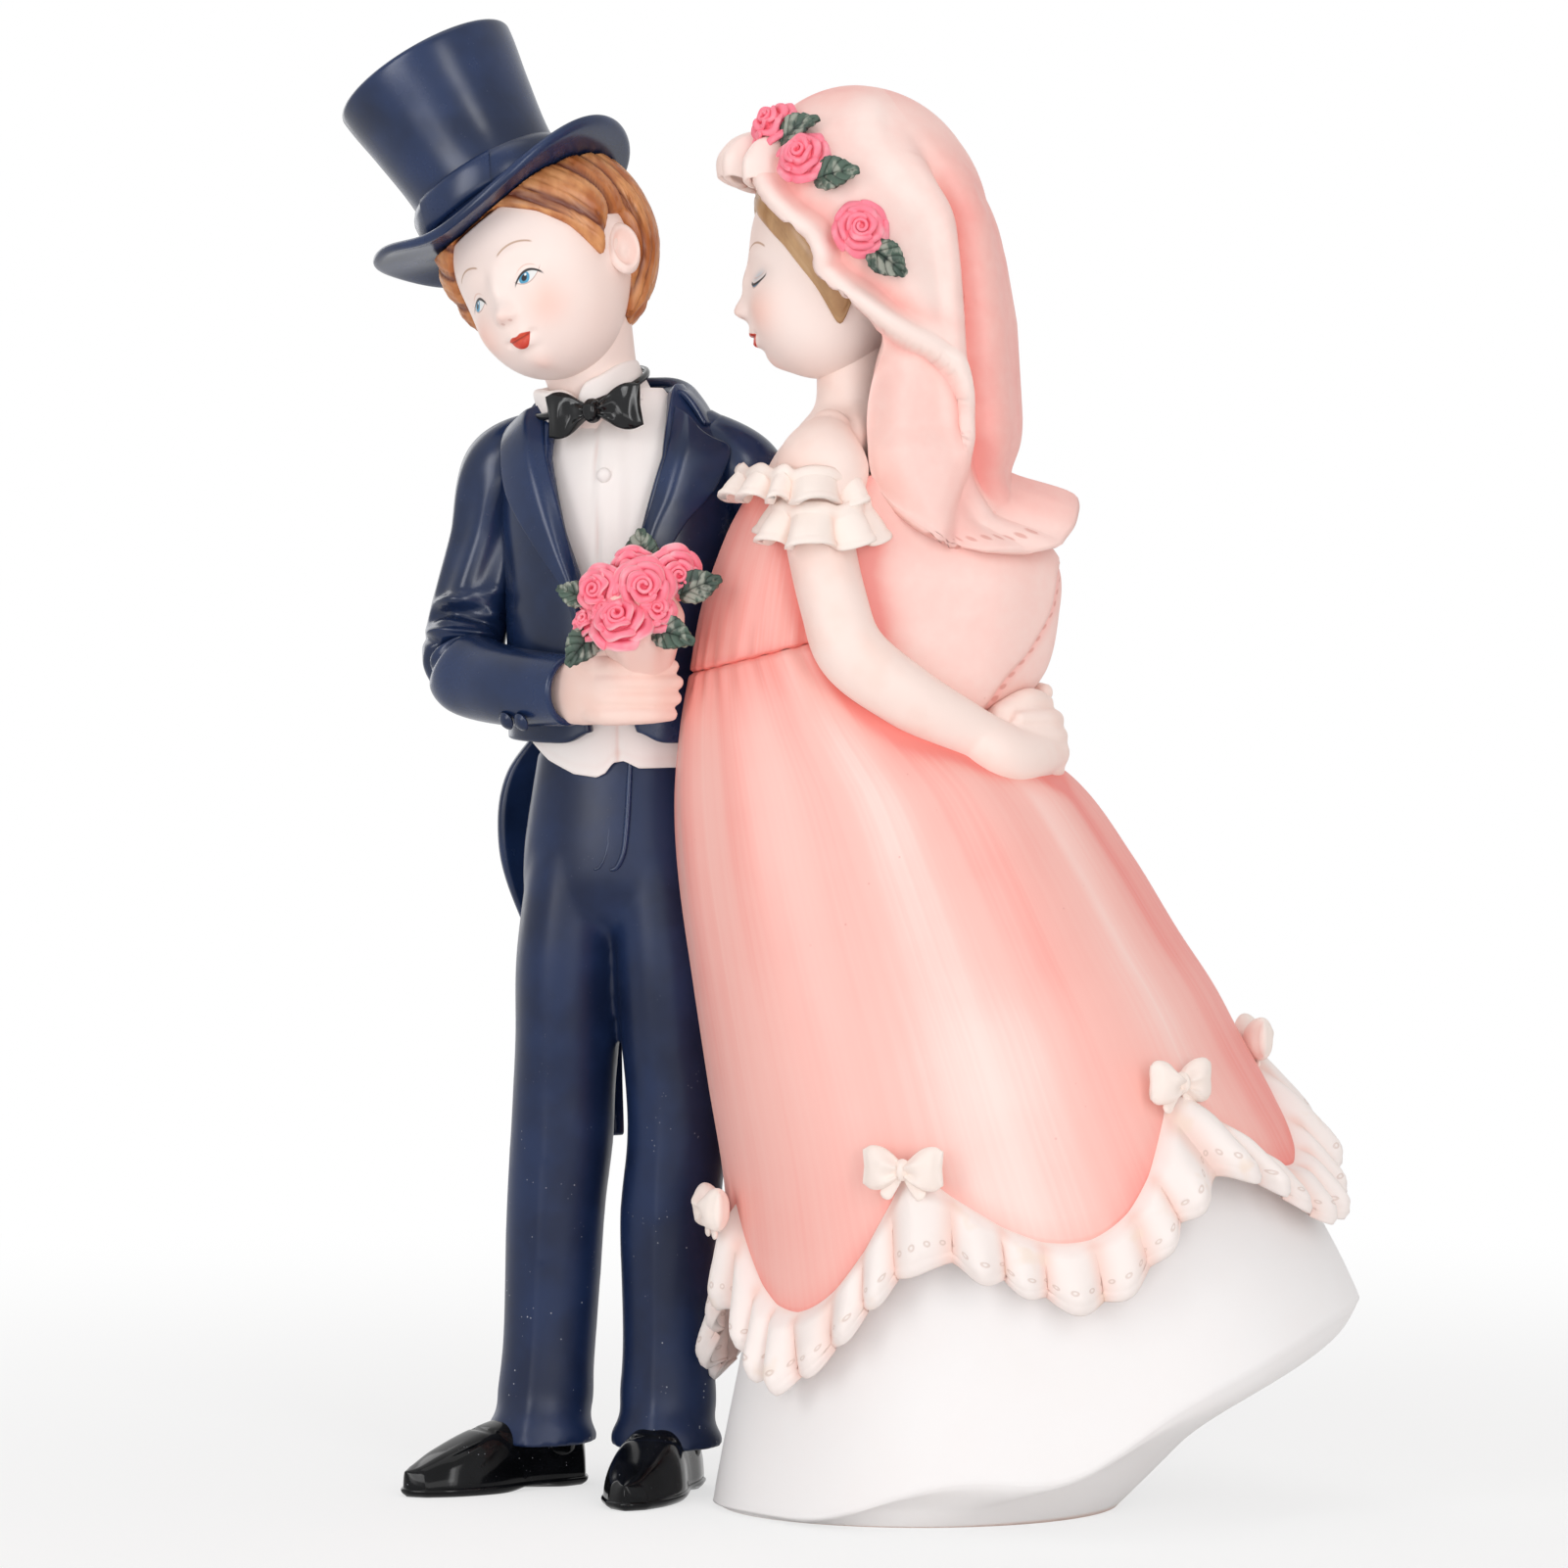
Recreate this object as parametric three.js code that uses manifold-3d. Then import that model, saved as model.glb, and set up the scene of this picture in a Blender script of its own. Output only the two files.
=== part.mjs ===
// A wedding cake topper: a boy in a top hat and tailcoat and a girl in a long gown and veil,
// cast in resin as separate pieces that plug into one another and are glued.
// Millimetres, +Z up. The couple is seen from -Y: the boy stands on the left, the girl leans in from the right.

import * as THREE from "three";
import { mergeVertices } from "three/addons/utils/BufferGeometryUtils.js";
import Module from "manifold-3d";

const wasm = await Module();
wasm.setup();

// Driving dimensions

const GLUE_GAP = 0.3; // glue line left between any two castings
const ROUND = 16; // sides of a body's section
const LIMB_SIDES = 10; // sides of an arm's or sleeve's section
const SEAT = GLUE_GAP + 0.5; // clearance of a layer that lies over another, with room for flat facets

const GROOM_AT = [-25.7, 12]; // floor point between the boy's feet
const GROOM_TURN = -15; // degrees that his body is turned from the viewer
const BRIDE_AT = [5.8, 0]; // floor point under the middle of the girl's skirt

// The boy's heights above the floor
const HEM = 4.8;
const ANKLE = 13;
const KNEE = 30;
const CROTCH = 49;
const HIP = 66;
const WAIST = 81;
const CHEST = 100;
const SHOULDER = 113;
const NECK = 119.5;

const TROUSER_WIDTH = 5.2; // half width of a leg at the knee
const HIP_WIDTH = 11.3;
const STANCE_RIGHT = 8.6; // ankles, from the body's middle
const STANCE_LEFT = 5.4;
const SHOE_TOE = 18.5; // toe and heel, from the ankle
const SHOE_HEEL = 6;
const SHOE_WIDTH = 4.2;
const SHOE_HEIGHT = 6.4;
const SHOE_TURN_RIGHT = -40;
const SHOE_TURN_LEFT = 1;
const ANKLE_POST = 3.4; // radius of the post that plugs each shoe into its trouser leg

const CHEST_WIDTH = 12.9;
const CHEST_DEPTH = 9.3;
const COAT_WALL = 1.6;
const COAT_OPENING = 2.7; // half width of the gap between the coat fronts
const NECK_OPENING = 7.2; // half width of the coat's opening at the neck
const LAPEL_WIDTH = 4.6;
const LAPEL_THICK = 1.1;
const TAIL_LENGTH = 44;
const TAIL_FLARE = 15.2;
const TAIL_THICK = 1.4;
const SLEEVE_RADIUS = 4.2;
const CUFF_RADIUS = 4.1;
const WRIST_RADIUS = 2.7;
const STUD_RADIUS = 0.8;

const NECK_TILT = -22; // degrees, towards the viewer's left
const NECK_RADIUS = 4.3;
const COLLAR_HEIGHT = 4;
const COLLAR_WALL = 0.9;
const BOW_TIE_SPAN = 9.6;
const BOW_TIE_HEIGHT = 4.6;

// A child's head: its egg-shaped skull, and the lower face and nose that stand out from it
const SKULL_WIDTH = 9.8;
const SKULL_DEPTH = 11;
const SKULL_HEIGHT = 10.5;
const JAW_WIDTH = 7.6;
const JAW_DROP = 12; // from the middle of the head to the chin
const NOSE_REACH = 11.7; // from the middle of the head to the tip of the nose
const EAR_LENGTH = 3.3;
const HAIR_THICK = 1.2;

const HEAD_AT = [-7.6, -1, 132.1]; // middle of the boy's head, from GROOM_AT
const HEAD_PITCH = -11;
const HEAD_ROLL = -22;
const HEAD_YAW = -34;

const HAT_SEAT = 7.6; // height of the brim above the middle of the head
const HAT_PITCH = -12;
const HAT_ROLL = -30.5;
const CROWN_BASE = 8.9;
const CROWN_TOP = 10.3;
const CROWN_HEIGHT = 17;
const BRIM_RADIUS = 14.6;
const BRIM_THICK = 1.1;
const BRIM_CURL = 1.4;
const BAND_HEIGHT = 3;
const BAND_THICK = 0.7;

const WRAP_TOP = 6.2; // bouquet wrap: radius at the flowers and in the fist
const WRAP_GRIP = 2.1;
const BOUQUET_ROSE = 3.7;
const BOUQUET_LEAF = 4.4;

// The girl's gown: height and half depth of its waist, and the sizes of its trimmings
const GOWN_WAIST = 90;
const GOWN_TOP = 108;
const OVERSKIRT_WALL = 1.4;
const SCALLOPS = 6;
const FIRST_BOW = 192; // degrees round the skirt from +X
const RUFFLE_THICK = 1.5;
const RUFFLE_WAVE = 0.7;
const RUFFLE_WAVES = 24;
const SKIRT_BOW_SPAN = 8;
const SKIRT_BOW_THICK = 1.8;
const FRILL_WAVES = 6;
const FRILL_THICK = 1.1;
const ARM_RADIUS = 3.7;
const GIRL_WRIST = 2.7;
const HAND_LENGTH = 9;

const GIRL_HEAD_AT = [-7.2, 0, 132.2]; // from BRIDE_AT
const GIRL_HEAD_PITCH = -6;
const GIRL_NECK = 4.2;
const VEIL_THICK = 1.2;
const VEIL_BACK = 16.6; // reach of the veil behind, before and beside the middle of the head
const VEIL_FRONT = 13.4;
const VEIL_SIDE = 12.6;
const VEIL_TOP = 18.6;
const VEIL_HEM = 103;
const TRAIN_TUCK = 17; // how far the train reaches up under the hood, and hangs below it
const TRAIN_DROP = 16.5;
const VEIL_ROSE = 2.7;
const VEIL_LEAF = 3.6;

// Paint

const paint = (color, roughness) => new THREE.MeshStandardMaterial({ color, roughness, metalness: 0 });
const NAVY = paint(0x27324a, 0.35);
const BLACK = paint(0x14151a, 0.2);
const SKIN = paint(0xf6dccd, 0.6);
const WHITE = paint(0xf3efee, 0.65);
const AUBURN = paint(0x8f4f24, 0.4);
const BROWN = paint(0xa8835a, 0.5);
const PINK = paint(0xf3a6a0, 0.55);
const PALE_PINK = paint(0xf8d8d0, 0.6);
const ROSE = paint(0xef6c8a, 0.5);
const LEAF = paint(0x4c6354, 0.5);

// Solids

const DEGREE = Math.PI / 180;
const V = (x, y, z) => new THREE.Vector3(x, y, z);
const count = (n) => Array.from({ length: n }, (_, i) => i);
const mix = THREE.MathUtils.lerp;
const ease = THREE.MathUtils.smoothstep;

// Height of a smooth curve through evenly spaced knots, t from 0 to 1
function curve(knots, t) {
  const last = knots.length - 1;
  const place = THREE.MathUtils.clamp(t, 0, 1) * last;
  const i = Math.min(Math.floor(place), last - 1);
  const w = place - i;
  const [a, b, c, d] = [i - 1, i, i + 1, i + 2].map((k) => knots[THREE.MathUtils.clamp(k, 0, last)]);
  return b + 0.5 * w * (c - a + w * (2 * a - 5 * b + 4 * c - d + w * (3 * (b - c) + d - a)));
}

// Makes a closed geometry from points and triangles, with its faces pointing out
function closed(points, faces) {
  const volume = faces.reduce((sum, _, i) => {
    if (i % 3) return sum;
    const [a, b, c] = [points[faces[i]], points[faces[i + 1]], points[faces[i + 2]]];
    return sum + a.dot(b.clone().cross(c));
  }, 0);
  const index = volume < 0 ? faces.toReversed() : faces;
  return new THREE.BufferGeometry().setFromPoints(points).setIndex(index);
}

// A skin over a row of closed rings, with both ends closed by a fan
function skin(rings) {
  const sides = rings[0].length;
  const points = rings.flat();
  const faces = [];
  for (const r of count(rings.length - 1)) {
    for (const i of count(sides)) {
      const j = (i + 1) % sides;
      const [a, b, c, d] = [r * sides + i, r * sides + j, (r + 1) * sides + i, (r + 1) * sides + j];
      faces.push(a, b, d, a, d, c);
    }
  }
  for (const r of [0, rings.length - 1]) {
    const hub = points.length;
    points.push(rings[r].reduce((sum, p) => sum.add(p), V(0, 0, 0)).divideScalar(sides));
    for (const i of count(sides)) {
      const ends = [r * sides + i, r * sides + ((i + 1) % sides)];
      faces.push(hub, ...(r ? ends : ends.toReversed()));
    }
  }
  return closed(points, faces);
}

// A sheet with thickness, between two grids of points; a looped sheet joins its last column to its first
function slab(outer, inner, looped = false) {
  const rows = outer.length;
  const columns = outer[0].length;
  const points = [...outer.flat(), ...inner.flat()];
  const at = (side, r, c) => side * rows * columns + r * columns + (c % columns);
  const faces = [];
  const quad = (a, b, c, d) => faces.push(a, b, c, a, c, d);
  const spans = looped ? columns : columns - 1;
  for (const r of count(rows - 1)) {
    for (const c of count(spans)) {
      quad(at(0, r, c), at(0, r, c + 1), at(0, r + 1, c + 1), at(0, r + 1, c));
      quad(at(1, r, c), at(1, r + 1, c), at(1, r + 1, c + 1), at(1, r, c + 1));
    }
  }
  for (const c of count(spans)) {
    quad(at(0, 0, c), at(1, 0, c), at(1, 0, c + 1), at(0, 0, c + 1));
    quad(at(0, rows - 1, c), at(0, rows - 1, c + 1), at(1, rows - 1, c + 1), at(1, rows - 1, c));
  }
  if (!looped) {
    for (const r of count(rows - 1)) {
      quad(at(0, r, 0), at(0, r + 1, 0), at(1, r + 1, 0), at(1, r, 0));
      quad(at(0, r, spans), at(1, r, spans), at(1, r + 1, spans), at(0, r + 1, spans));
    }
  }
  return closed(points, faces);
}

// A ring of points on an ellipse with the given half axes
const ellipse = (centre, across, deep, sides = ROUND) =>
  count(sides).map((i) => {
    const turn = (2 * Math.PI * i) / sides;
    return centre.clone().addScaledVector(across, Math.cos(turn)).addScaledVector(deep, Math.sin(turn));
  });

// A body of level sections: each station gives its height, middle and half sizes
function stack(stations, grow = 0, rows = stations.length, sides = ROUND) {
  const track = (key) => stations.map((s) => s[key] ?? 0);
  const [z, x, y, wide, deep] = ["z", "x", "y", "wide", "deep"].map(track);
  const rings = count(rows + 1).map((i) => {
    const t = i / rows;
    const lift = i === 0 ? -grow : i === rows ? grow : 0;
    const centre = V(curve(x, t), curve(y, t), curve(z, t) + lift);
    return ellipse(centre, V(curve(wide, t) + grow, 0, 0), V(0, curve(deep, t) + grow, 0), sides);
  });
  return skin(rings);
}

// A limb: round sections along a smooth path, its radius following the knots; flat squeezes it across its path
function limb(path, radii, grow = 0, { sides = LIMB_SIDES, steps = 2 * path.length - 2, flat = 1, up = V(0, 0, 1) } = {}) {
  const route = new THREE.CatmullRomCurve3(path.map((p) => V(...p)));
  const rings = count(steps + 1).map((i) => {
    const t = i / steps;
    const forward = route.getTangent(t);
    const side = forward.clone().cross(up).normalize();
    const above = side.clone().cross(forward);
    const radius = curve(radii, t) + grow;
    const reach = i === 0 ? -grow : i === steps ? grow : 0;
    const centre = route.getPoint(t).addScaledVector(forward, reach);
    return ellipse(centre, side.multiplyScalar(radius * flat), above.multiplyScalar(radius), sides);
  });
  return skin(rings);
}

// A lump seen from its middle: reach gives the distance to its surface in each direction
function lump(reach, grow = 0, around = 15, down = 10) {
  const rings = count(down).map((r) => {
    const fall = (Math.PI * (r + 0.4)) / (down - 0.2);
    return count(around).map((i) => {
      const turn = (2 * Math.PI * i) / around;
      const way = V(Math.sin(fall) * Math.cos(turn), Math.sin(fall) * Math.sin(turn), Math.cos(fall));
      return way.clone().multiplyScalar(reach(way) + grow);
    });
  });
  return skin(rings);
}

// A turned piece about +Z from its half profile of [radius, height] points, which closes on itself
function turned(profile, sides = 1.5 * ROUND) {
  const points = profile.map(([r, z]) => new THREE.Vector2(r, z));
  if (THREE.ShapeUtils.area(points) < 0) points.reverse();
  return new THREE.LatheGeometry([...points, points[0]], sides).rotateX(Math.PI / 2);
}

function solidOf(geometry, matrix = new THREE.Matrix4()) {
  const bare = geometry.clone();
  bare.deleteAttribute("normal");
  bare.deleteAttribute("uv");
  const merged = mergeVertices(bare.applyMatrix4(matrix), 1e-4);
  const index = new Uint32Array(merged.index.array);
  const mesh = new wasm.Mesh({ numProp: 3, vertProperties: merged.attributes.position.array, triVerts: index });
  return new wasm.Manifold(mesh);
}

function geometryOf(solid, matrix = new THREE.Matrix4()) {
  const { vertProperties, triVerts } = solid.getMesh();
  return new THREE.BufferGeometry()
    .setAttribute("position", new THREE.BufferAttribute(vertProperties, 3))
    .setIndex(new THREE.BufferAttribute(triVerts, 1))
    .applyMatrix4(matrix);
}

const join = (...shapes) => geometryOf(shapes.map((s) => solidOf(s)).reduce((all, s) => all.add(s)));
const cut = (shape, ...tools) => geometryOf(tools.reduce((left, s) => left.subtract(solidOf(s)), solidOf(shape)));

// The scene: two figures, each with the groups that carry its pieces

const topper = new THREE.Group();
const group = (parent, [x, y, z = 0], pitch = 0, roll = 0, yaw = 0) => {
  const made = new THREE.Group();
  made.position.set(x, y, z);
  made.rotation.set(pitch * DEGREE, roll * DEGREE, yaw * DEGREE, "YXZ");
  parent.add(made);
  return made;
};
const bride = group(topper, BRIDE_AT);
const groom = group(topper, GROOM_AT);
const body = group(groom, [0, 0], 0, 0, GROOM_TURN);

// Pieces stand in seating order. Each shape takes a growth, which gives the seat that later pieces leave for it.
const pieces = [];
function piece(parent, name, material, shape) {
  const mesh = new THREE.Mesh(shape(0), material);
  mesh.name = name;
  parent.add(mesh);
  pieces.push({ mesh, shape });
}

// The girl's head and the boy's are cast from one pattern

// Distance from the middle of the head to an egg that is set off from that middle
function eggReach(way, [x, y, z], [wide, deep, high]) {
  const scaled = V(way.x / wide, way.y / deep, way.z / high);
  const offset = V(x / wide, y / deep, z / high);
  const a = scaled.lengthSq();
  const b = scaled.dot(offset);
  const under = b * b - a * (offset.lengthSq() - 1);
  return under > 0 ? (b + Math.sqrt(under)) / a : 0;
}

const SKULL_RISE = 2.5; // the skull's middle is above and behind the middle of the head
const SKULL_BACK = 1;
const JAW_RADIUS = 7.6;
const NOSE_RADIUS = 1.5;
const NOSE_DROP = 3.6;
const BLEND = 1.4; // how softly the forms run into one another

function headReach(way) {
  const forms = [
    eggReach(way, [0, SKULL_BACK, SKULL_RISE], [SKULL_WIDTH, SKULL_DEPTH, SKULL_HEIGHT]),
    eggReach(way, [0, -JAW_RADIUS / 3, JAW_RADIUS - JAW_DROP], [JAW_WIDTH, JAW_RADIUS, JAW_RADIUS]),
    eggReach(way, [0, NOSE_RADIUS - NOSE_REACH, -NOSE_DROP], [NOSE_RADIUS, NOSE_RADIUS, NOSE_RADIUS]),
  ];
  return BLEND * Math.log(forms.reduce((sum, r) => sum + Math.exp(r / BLEND), -2));
}

// A cap of hair from the crown of the head down to a hairline, given as degrees above the level at each turn
function hairCap(hairline, grow, columns = 16, rows = 5) {
  const face = (lift) =>
    count(rows + 1).map((r) =>
      count(columns).map((c) => {
        const turn = (2 * Math.PI * c) / columns;
        const edge = 90 - hairline(turn);
        const fall = mix(4, edge + grow * 5, r / rows) * DEGREE;
        const way = V(Math.sin(fall) * Math.sin(turn), -Math.sin(fall) * Math.cos(turn), Math.cos(fall));
        return way.clone().multiplyScalar(headReach(way) + lift);
      }),
    );
  return slab(face(SEAT + HAIR_THICK + grow), face(SEAT - grow), true);
}

const mirrored = (turn) => Math.abs(THREE.MathUtils.euclideanModulo(turn + Math.PI, 2 * Math.PI) - Math.PI) / Math.PI;

const earReach = (way) => eggReach(way, [0, 0, 0], [EAR_LENGTH * 0.45, EAR_LENGTH * 0.72, EAR_LENGTH]);
const earAt = (side, grow) => lump(earReach, grow, 6, 5).translate(side * (SKULL_WIDTH + 0.1), 1.2, -2.2);

// The girl: bare shoulders, arms and head

// A gown section runs between a left and a right point of the side view, with its half depth
const GOWN_BUST = [
  { left: [-17, GOWN_TOP - 2], right: [-4.6, GOWN_TOP - 2], deep: 7.2 },
  { left: [-16.4, GOWN_TOP + 0.5], right: [-4, GOWN_TOP + 0.5], deep: 8 },
  { left: [-14.6, GOWN_TOP + 4.2], right: [-2.6, GOWN_TOP + 4.5], deep: 9 },
  { left: [-12, GOWN_TOP + 7.3], right: [-1.8, GOWN_TOP + 8], deep: 6.4 },
  { left: [-6.2 - GIRL_NECK, GOWN_TOP + 9.5], right: [-6.2 + GIRL_NECK, GOWN_TOP + 10.2], deep: GIRL_NECK },
  { left: [-6 - GIRL_NECK, GOWN_TOP + 13], right: [-6 + GIRL_NECK, GOWN_TOP + 14], deep: GIRL_NECK - 0.2 },
  { left: [-5.8 - GIRL_NECK, GOWN_TOP + 17], right: [-5.8 + GIRL_NECK, GOWN_TOP + 18], deep: GIRL_NECK - 0.3 },
];

// A section of a gown at t of the way through its stations, seen as its centre and half axes
function gownSection(stations, t, grow = 0) {
  const [lx, lz, rx, rz] = [
    (s) => s.left[0],
    (s) => s.left[1],
    (s) => s.right[0],
    (s) => s.right[1],
  ].map((pick) => curve(stations.map(pick), t));
  const half = V((rx - lx) / 2, 0, (rz - lz) / 2);
  return {
    centre: V((lx + rx) / 2, 0, (lz + rz) / 2),
    across: half.clone().addScaledVector(half.clone().normalize(), grow),
    deep: V(0, curve(stations.map((s) => s.deep), t) + grow, 0),
  };
}

function gownBody(stations, grow = 0, rows = stations.length) {
  const rings = count(rows + 1).map((i) => {
    const { centre, across, deep } = gownSection(stations, i / rows, grow);
    centre.z += i === 0 ? -grow * Math.sign(stations.at(-1).left[1] - stations[0].left[1]) : 0;
    return ellipse(centre, across, deep);
  });
  return skin(rings);
}

piece(bride, "girl_shoulders", SKIN, (grow) => gownBody(GOWN_BUST, grow));

const girlHead = group(bride, GIRL_HEAD_AT, GIRL_HEAD_PITCH, 0, -90);
piece(girlHead, "girl_head", SKIN, (grow) => join(lump(headReach, grow), earAt(1, grow), earAt(-1, grow)));
const girlHairline = (turn) => curve([48, 30, 6, -22, -34, -38], mirrored(turn));
piece(girlHead, "girl_hair", BROWN, (grow) => hairCap(girlHairline, grow));

// The gown

const BODICE = [
  { left: [-23.9, GOWN_WAIST], right: [-1.5, GOWN_WAIST + 1.5], deep: 9.8 },
  { left: [-22.5, GOWN_WAIST + 6], right: [-2, GOWN_WAIST + 7.5], deep: 9.2 },
  { left: [-19.9, GOWN_TOP - 4.5], right: [-3.4, GOWN_TOP - 5], deep: 8.4 },
  { left: [-17.5, GOWN_TOP], right: [-4.4, GOWN_TOP - 0.5], deep: 8 },
];

// The skirt from waist to hem: it swings back, so its hem touches the floor on the left and lifts on the right
const SKIRT = [
  { left: [-23.9, GOWN_WAIST], right: [-1.5, GOWN_WAIST + 1.5], deep: 9.8 },
  { left: [-24.9, 83], right: [7.5, 84.5], deep: 13 },
  { left: [-25.5, 75], right: [17, 77.5], deep: 16 },
  { left: [-25, 66], right: [23, 69.5], deep: 18.5 },
  { left: [-23.5, 55], right: [28, 61.5], deep: 20.8 },
  { left: [-22, 45], right: [32, 55.5], deep: 22.6 },
  { left: [-20.1, 32.5], right: [35.5, 49], deep: 24 },
  { left: [-19.8, 18], right: [43, 35.5], deep: 25.2 },
  { left: [-21.3, 1.6], right: [47.9, 22.2], deep: 25.8 },
];
const SKIRT_SPANS = SKIRT.length - 1;
const BOW_LINE = 6.05; // stations from the waist to the scallops' peaks and dips, and to the ruffle's edge
const SCALLOP_DIP = 0.82;
const RUFFLE_EDGE = 6.9;
const RUFFLE_DIP = 0.46;

// A point of the skirt at a turn round it and a station from the waist, set out from the surface
function skirtPoint(turn, station, out = 0) {
  const { centre, across, deep } = gownSection(SKIRT, station / SKIRT_SPANS);
  const wide = across.length();
  const normal = across.clone().multiplyScalar(Math.cos(turn) / wide / wide).add(V(0, Math.sin(turn) / deep.y, 0));
  return centre
    .addScaledVector(across, Math.cos(turn))
    .addScaledVector(deep, Math.sin(turn))
    .addScaledVector(normal.normalize(), out);
}
const scallop = (turn) => Math.abs(Math.sin((SCALLOPS / 2) * (turn - FIRST_BOW * DEGREE)));
const hemStation = (turn) => BOW_LINE + SCALLOP_DIP * scallop(turn);
const ruffleStation = (turn) => RUFFLE_EDGE + RUFFLE_DIP * scallop(turn) ** 2;

// The white underskirt: a core that fills the overskirt, the flared hem below it, and the foot that it stands on
const FOOT = { left: -20.6, right: 22, deep: 18.5 };
function underskirt(grow) {
  const turns = count(4 * SCALLOPS).map((i) => FIRST_BOW * DEGREE + (Math.PI * i) / (2 * SCALLOPS));
  const shown = (station) => mix(-OVERSKIRT_WALL - SEAT, -0.3, ease(station, RUFFLE_EDGE, SKIRT_SPANS));
  const stations = [4.6, 5.3, 6, RUFFLE_EDGE, 7.4, SKIRT_SPANS];
  const rings = stations.map((s, i) => {
    const lift = i === 0 ? grow : 0;
    return turns.map((turn) => skirtPoint(turn, s, shown(s) + grow).add(V(0, 0, lift)));
  });
  const foot = (inset, height) =>
    turns.map((turn) => {
      const middle = (FOOT.left + FOOT.right) / 2;
      const wide = (FOOT.right - FOOT.left) / 2 - inset;
      return V(middle + wide * Math.cos(turn), (FOOT.deep - inset) * Math.sin(turn), height);
    });
  const hem = rings.at(-1);
  const footTop = foot(-0.6 - grow, 1);
  const under = hem.map((p, i) => p.clone().lerp(footTop[i], 0.45).add(V(0, 0, 0.6 * (p.z / 22))));
  return skin([...rings, under, footTop, foot(-grow, 0)]);
}
piece(bride, "girl_underskirt", WHITE, underskirt);

function overskirt(grow) {
  const rows = 7;
  const turns = count(4 * SCALLOPS).map((i) => FIRST_BOW * DEGREE + (Math.PI * i) / (2 * SCALLOPS));
  const face = (out) =>
    count(rows + 1).map((r) => turns.map((turn) => skirtPoint(turn, (hemStation(turn) * r) / rows, out)));
  return slab(face(grow), face(-OVERSKIRT_WALL - grow), true);
}
piece(bride, "girl_overskirt", PINK, overskirt);
piece(bride, "girl_bodice", PINK, (grow) => gownBody(BODICE, grow));

// Each arm runs down from the shoulder and back to the hands, which are clasped behind her
const SHOULDER_BALL = ARM_RADIUS + 1.1;
const ELBOW = [-6.4, -12.8, GOWN_WAIST + 1];
const WRIST = [5.4, -9.4, GOWN_WAIST - 6.8];
const HANDS = [13, 0, GOWN_WAIST - 8.2]; // the point where the hands meet
const sided = (side, [x, y, z]) => [x, side * y, z];
const armPath = (side) => [
  sided(side, [-8.8, -6.6, GOWN_TOP + 7]),
  sided(side, [-9.6, -8.6, GOWN_TOP + 3]),
  sided(side, [-10, -9.6, GOWN_TOP - 4]),
  sided(side, [-8.4, -11.8, GOWN_WAIST + 6]),
  sided(side, ELBOW),
  sided(side, [-0.8, -12, GOWN_WAIST - 3.4]),
  sided(side, WRIST),
  sided(side, [WRIST[0] + 2.6, WRIST[1] + 1.6, WRIST[2] - 0.8]),
];
const ARM_RADII = [SHOULDER_BALL - 2.6, SHOULDER_BALL, ARM_RADIUS, ARM_RADIUS - 0.1, ARM_RADIUS, 3.2, GIRL_WRIST, GIRL_WRIST - 0.2];
for (const [name, side] of [["girl_arm_left", 1], ["girl_arm_right", -1]]) {
  piece(bride, name, SKIN, (grow) => limb(armPath(side), ARM_RADII, grow, { up: V(0, 1, 0) }));
}

// The clasped hands: two cupped palms, and the fingers of each lying over the other
function claspedHands(grow) {
  const palm = (side) => {
    const start = sided(side, [WRIST[0] + 2, WRIST[1] + 1.4, WRIST[2] - 0.6]);
    const heel = sided(side, [WRIST[0] + 5.4, -6, HANDS[2] - 0.6]);
    const tip = [HANDS[0] + 2.4, side * 1.6, HANDS[2] - 0.4 * side];
    return limb([start, heel, tip], [GIRL_WRIST, 4.2, 3.4, 2.8], grow, { sides: 8, up: V(0, 1, 0), flat: 0.8 });
  };
  const fingers = count(3).map((i) => {
    const lift = HANDS[2] + 2.6 - 2.4 * i;
    const reach = HANDS[0] + HAND_LENGTH / 3;
    const path = [[reach - 3, 4, lift], [reach, 0, lift + 0.4], [reach - 0.8, -4.4, lift + 0.9]];
    return limb(path, [1.3, 1.3, 1], grow, { sides: 5, up: V(0, 0, 1), steps: 3 });
  });
  return join(palm(1), palm(-1), ...fingers);
}
piece(bride, "girl_clasped_hands", SKIN, claspedHands);

// The gathered ruffle that hides the overskirt's scalloped hem
function ruffle(grow) {
  const columns = 3 * RUFFLE_WAVES;
  const rows = 2;
  const face = (out) =>
    count(rows + 1).map((r) =>
      count(columns).map((c) => {
        const turn = (2 * Math.PI * c) / columns;
        const down = r / rows;
        const station = mix(hemStation(turn) - 0.12 - 0.1 * grow, ruffleStation(turn) + 0.1 * grow, down);
        const ripple = RUFFLE_WAVE * down * (1 + Math.cos(RUFFLE_WAVES * turn));
        return skirtPoint(turn, station, SEAT + out + ripple);
      }),
    );
  return slab(face(RUFFLE_THICK + grow), face(-grow), true);
}
piece(bride, "girl_ruffle", WHITE, ruffle);

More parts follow.
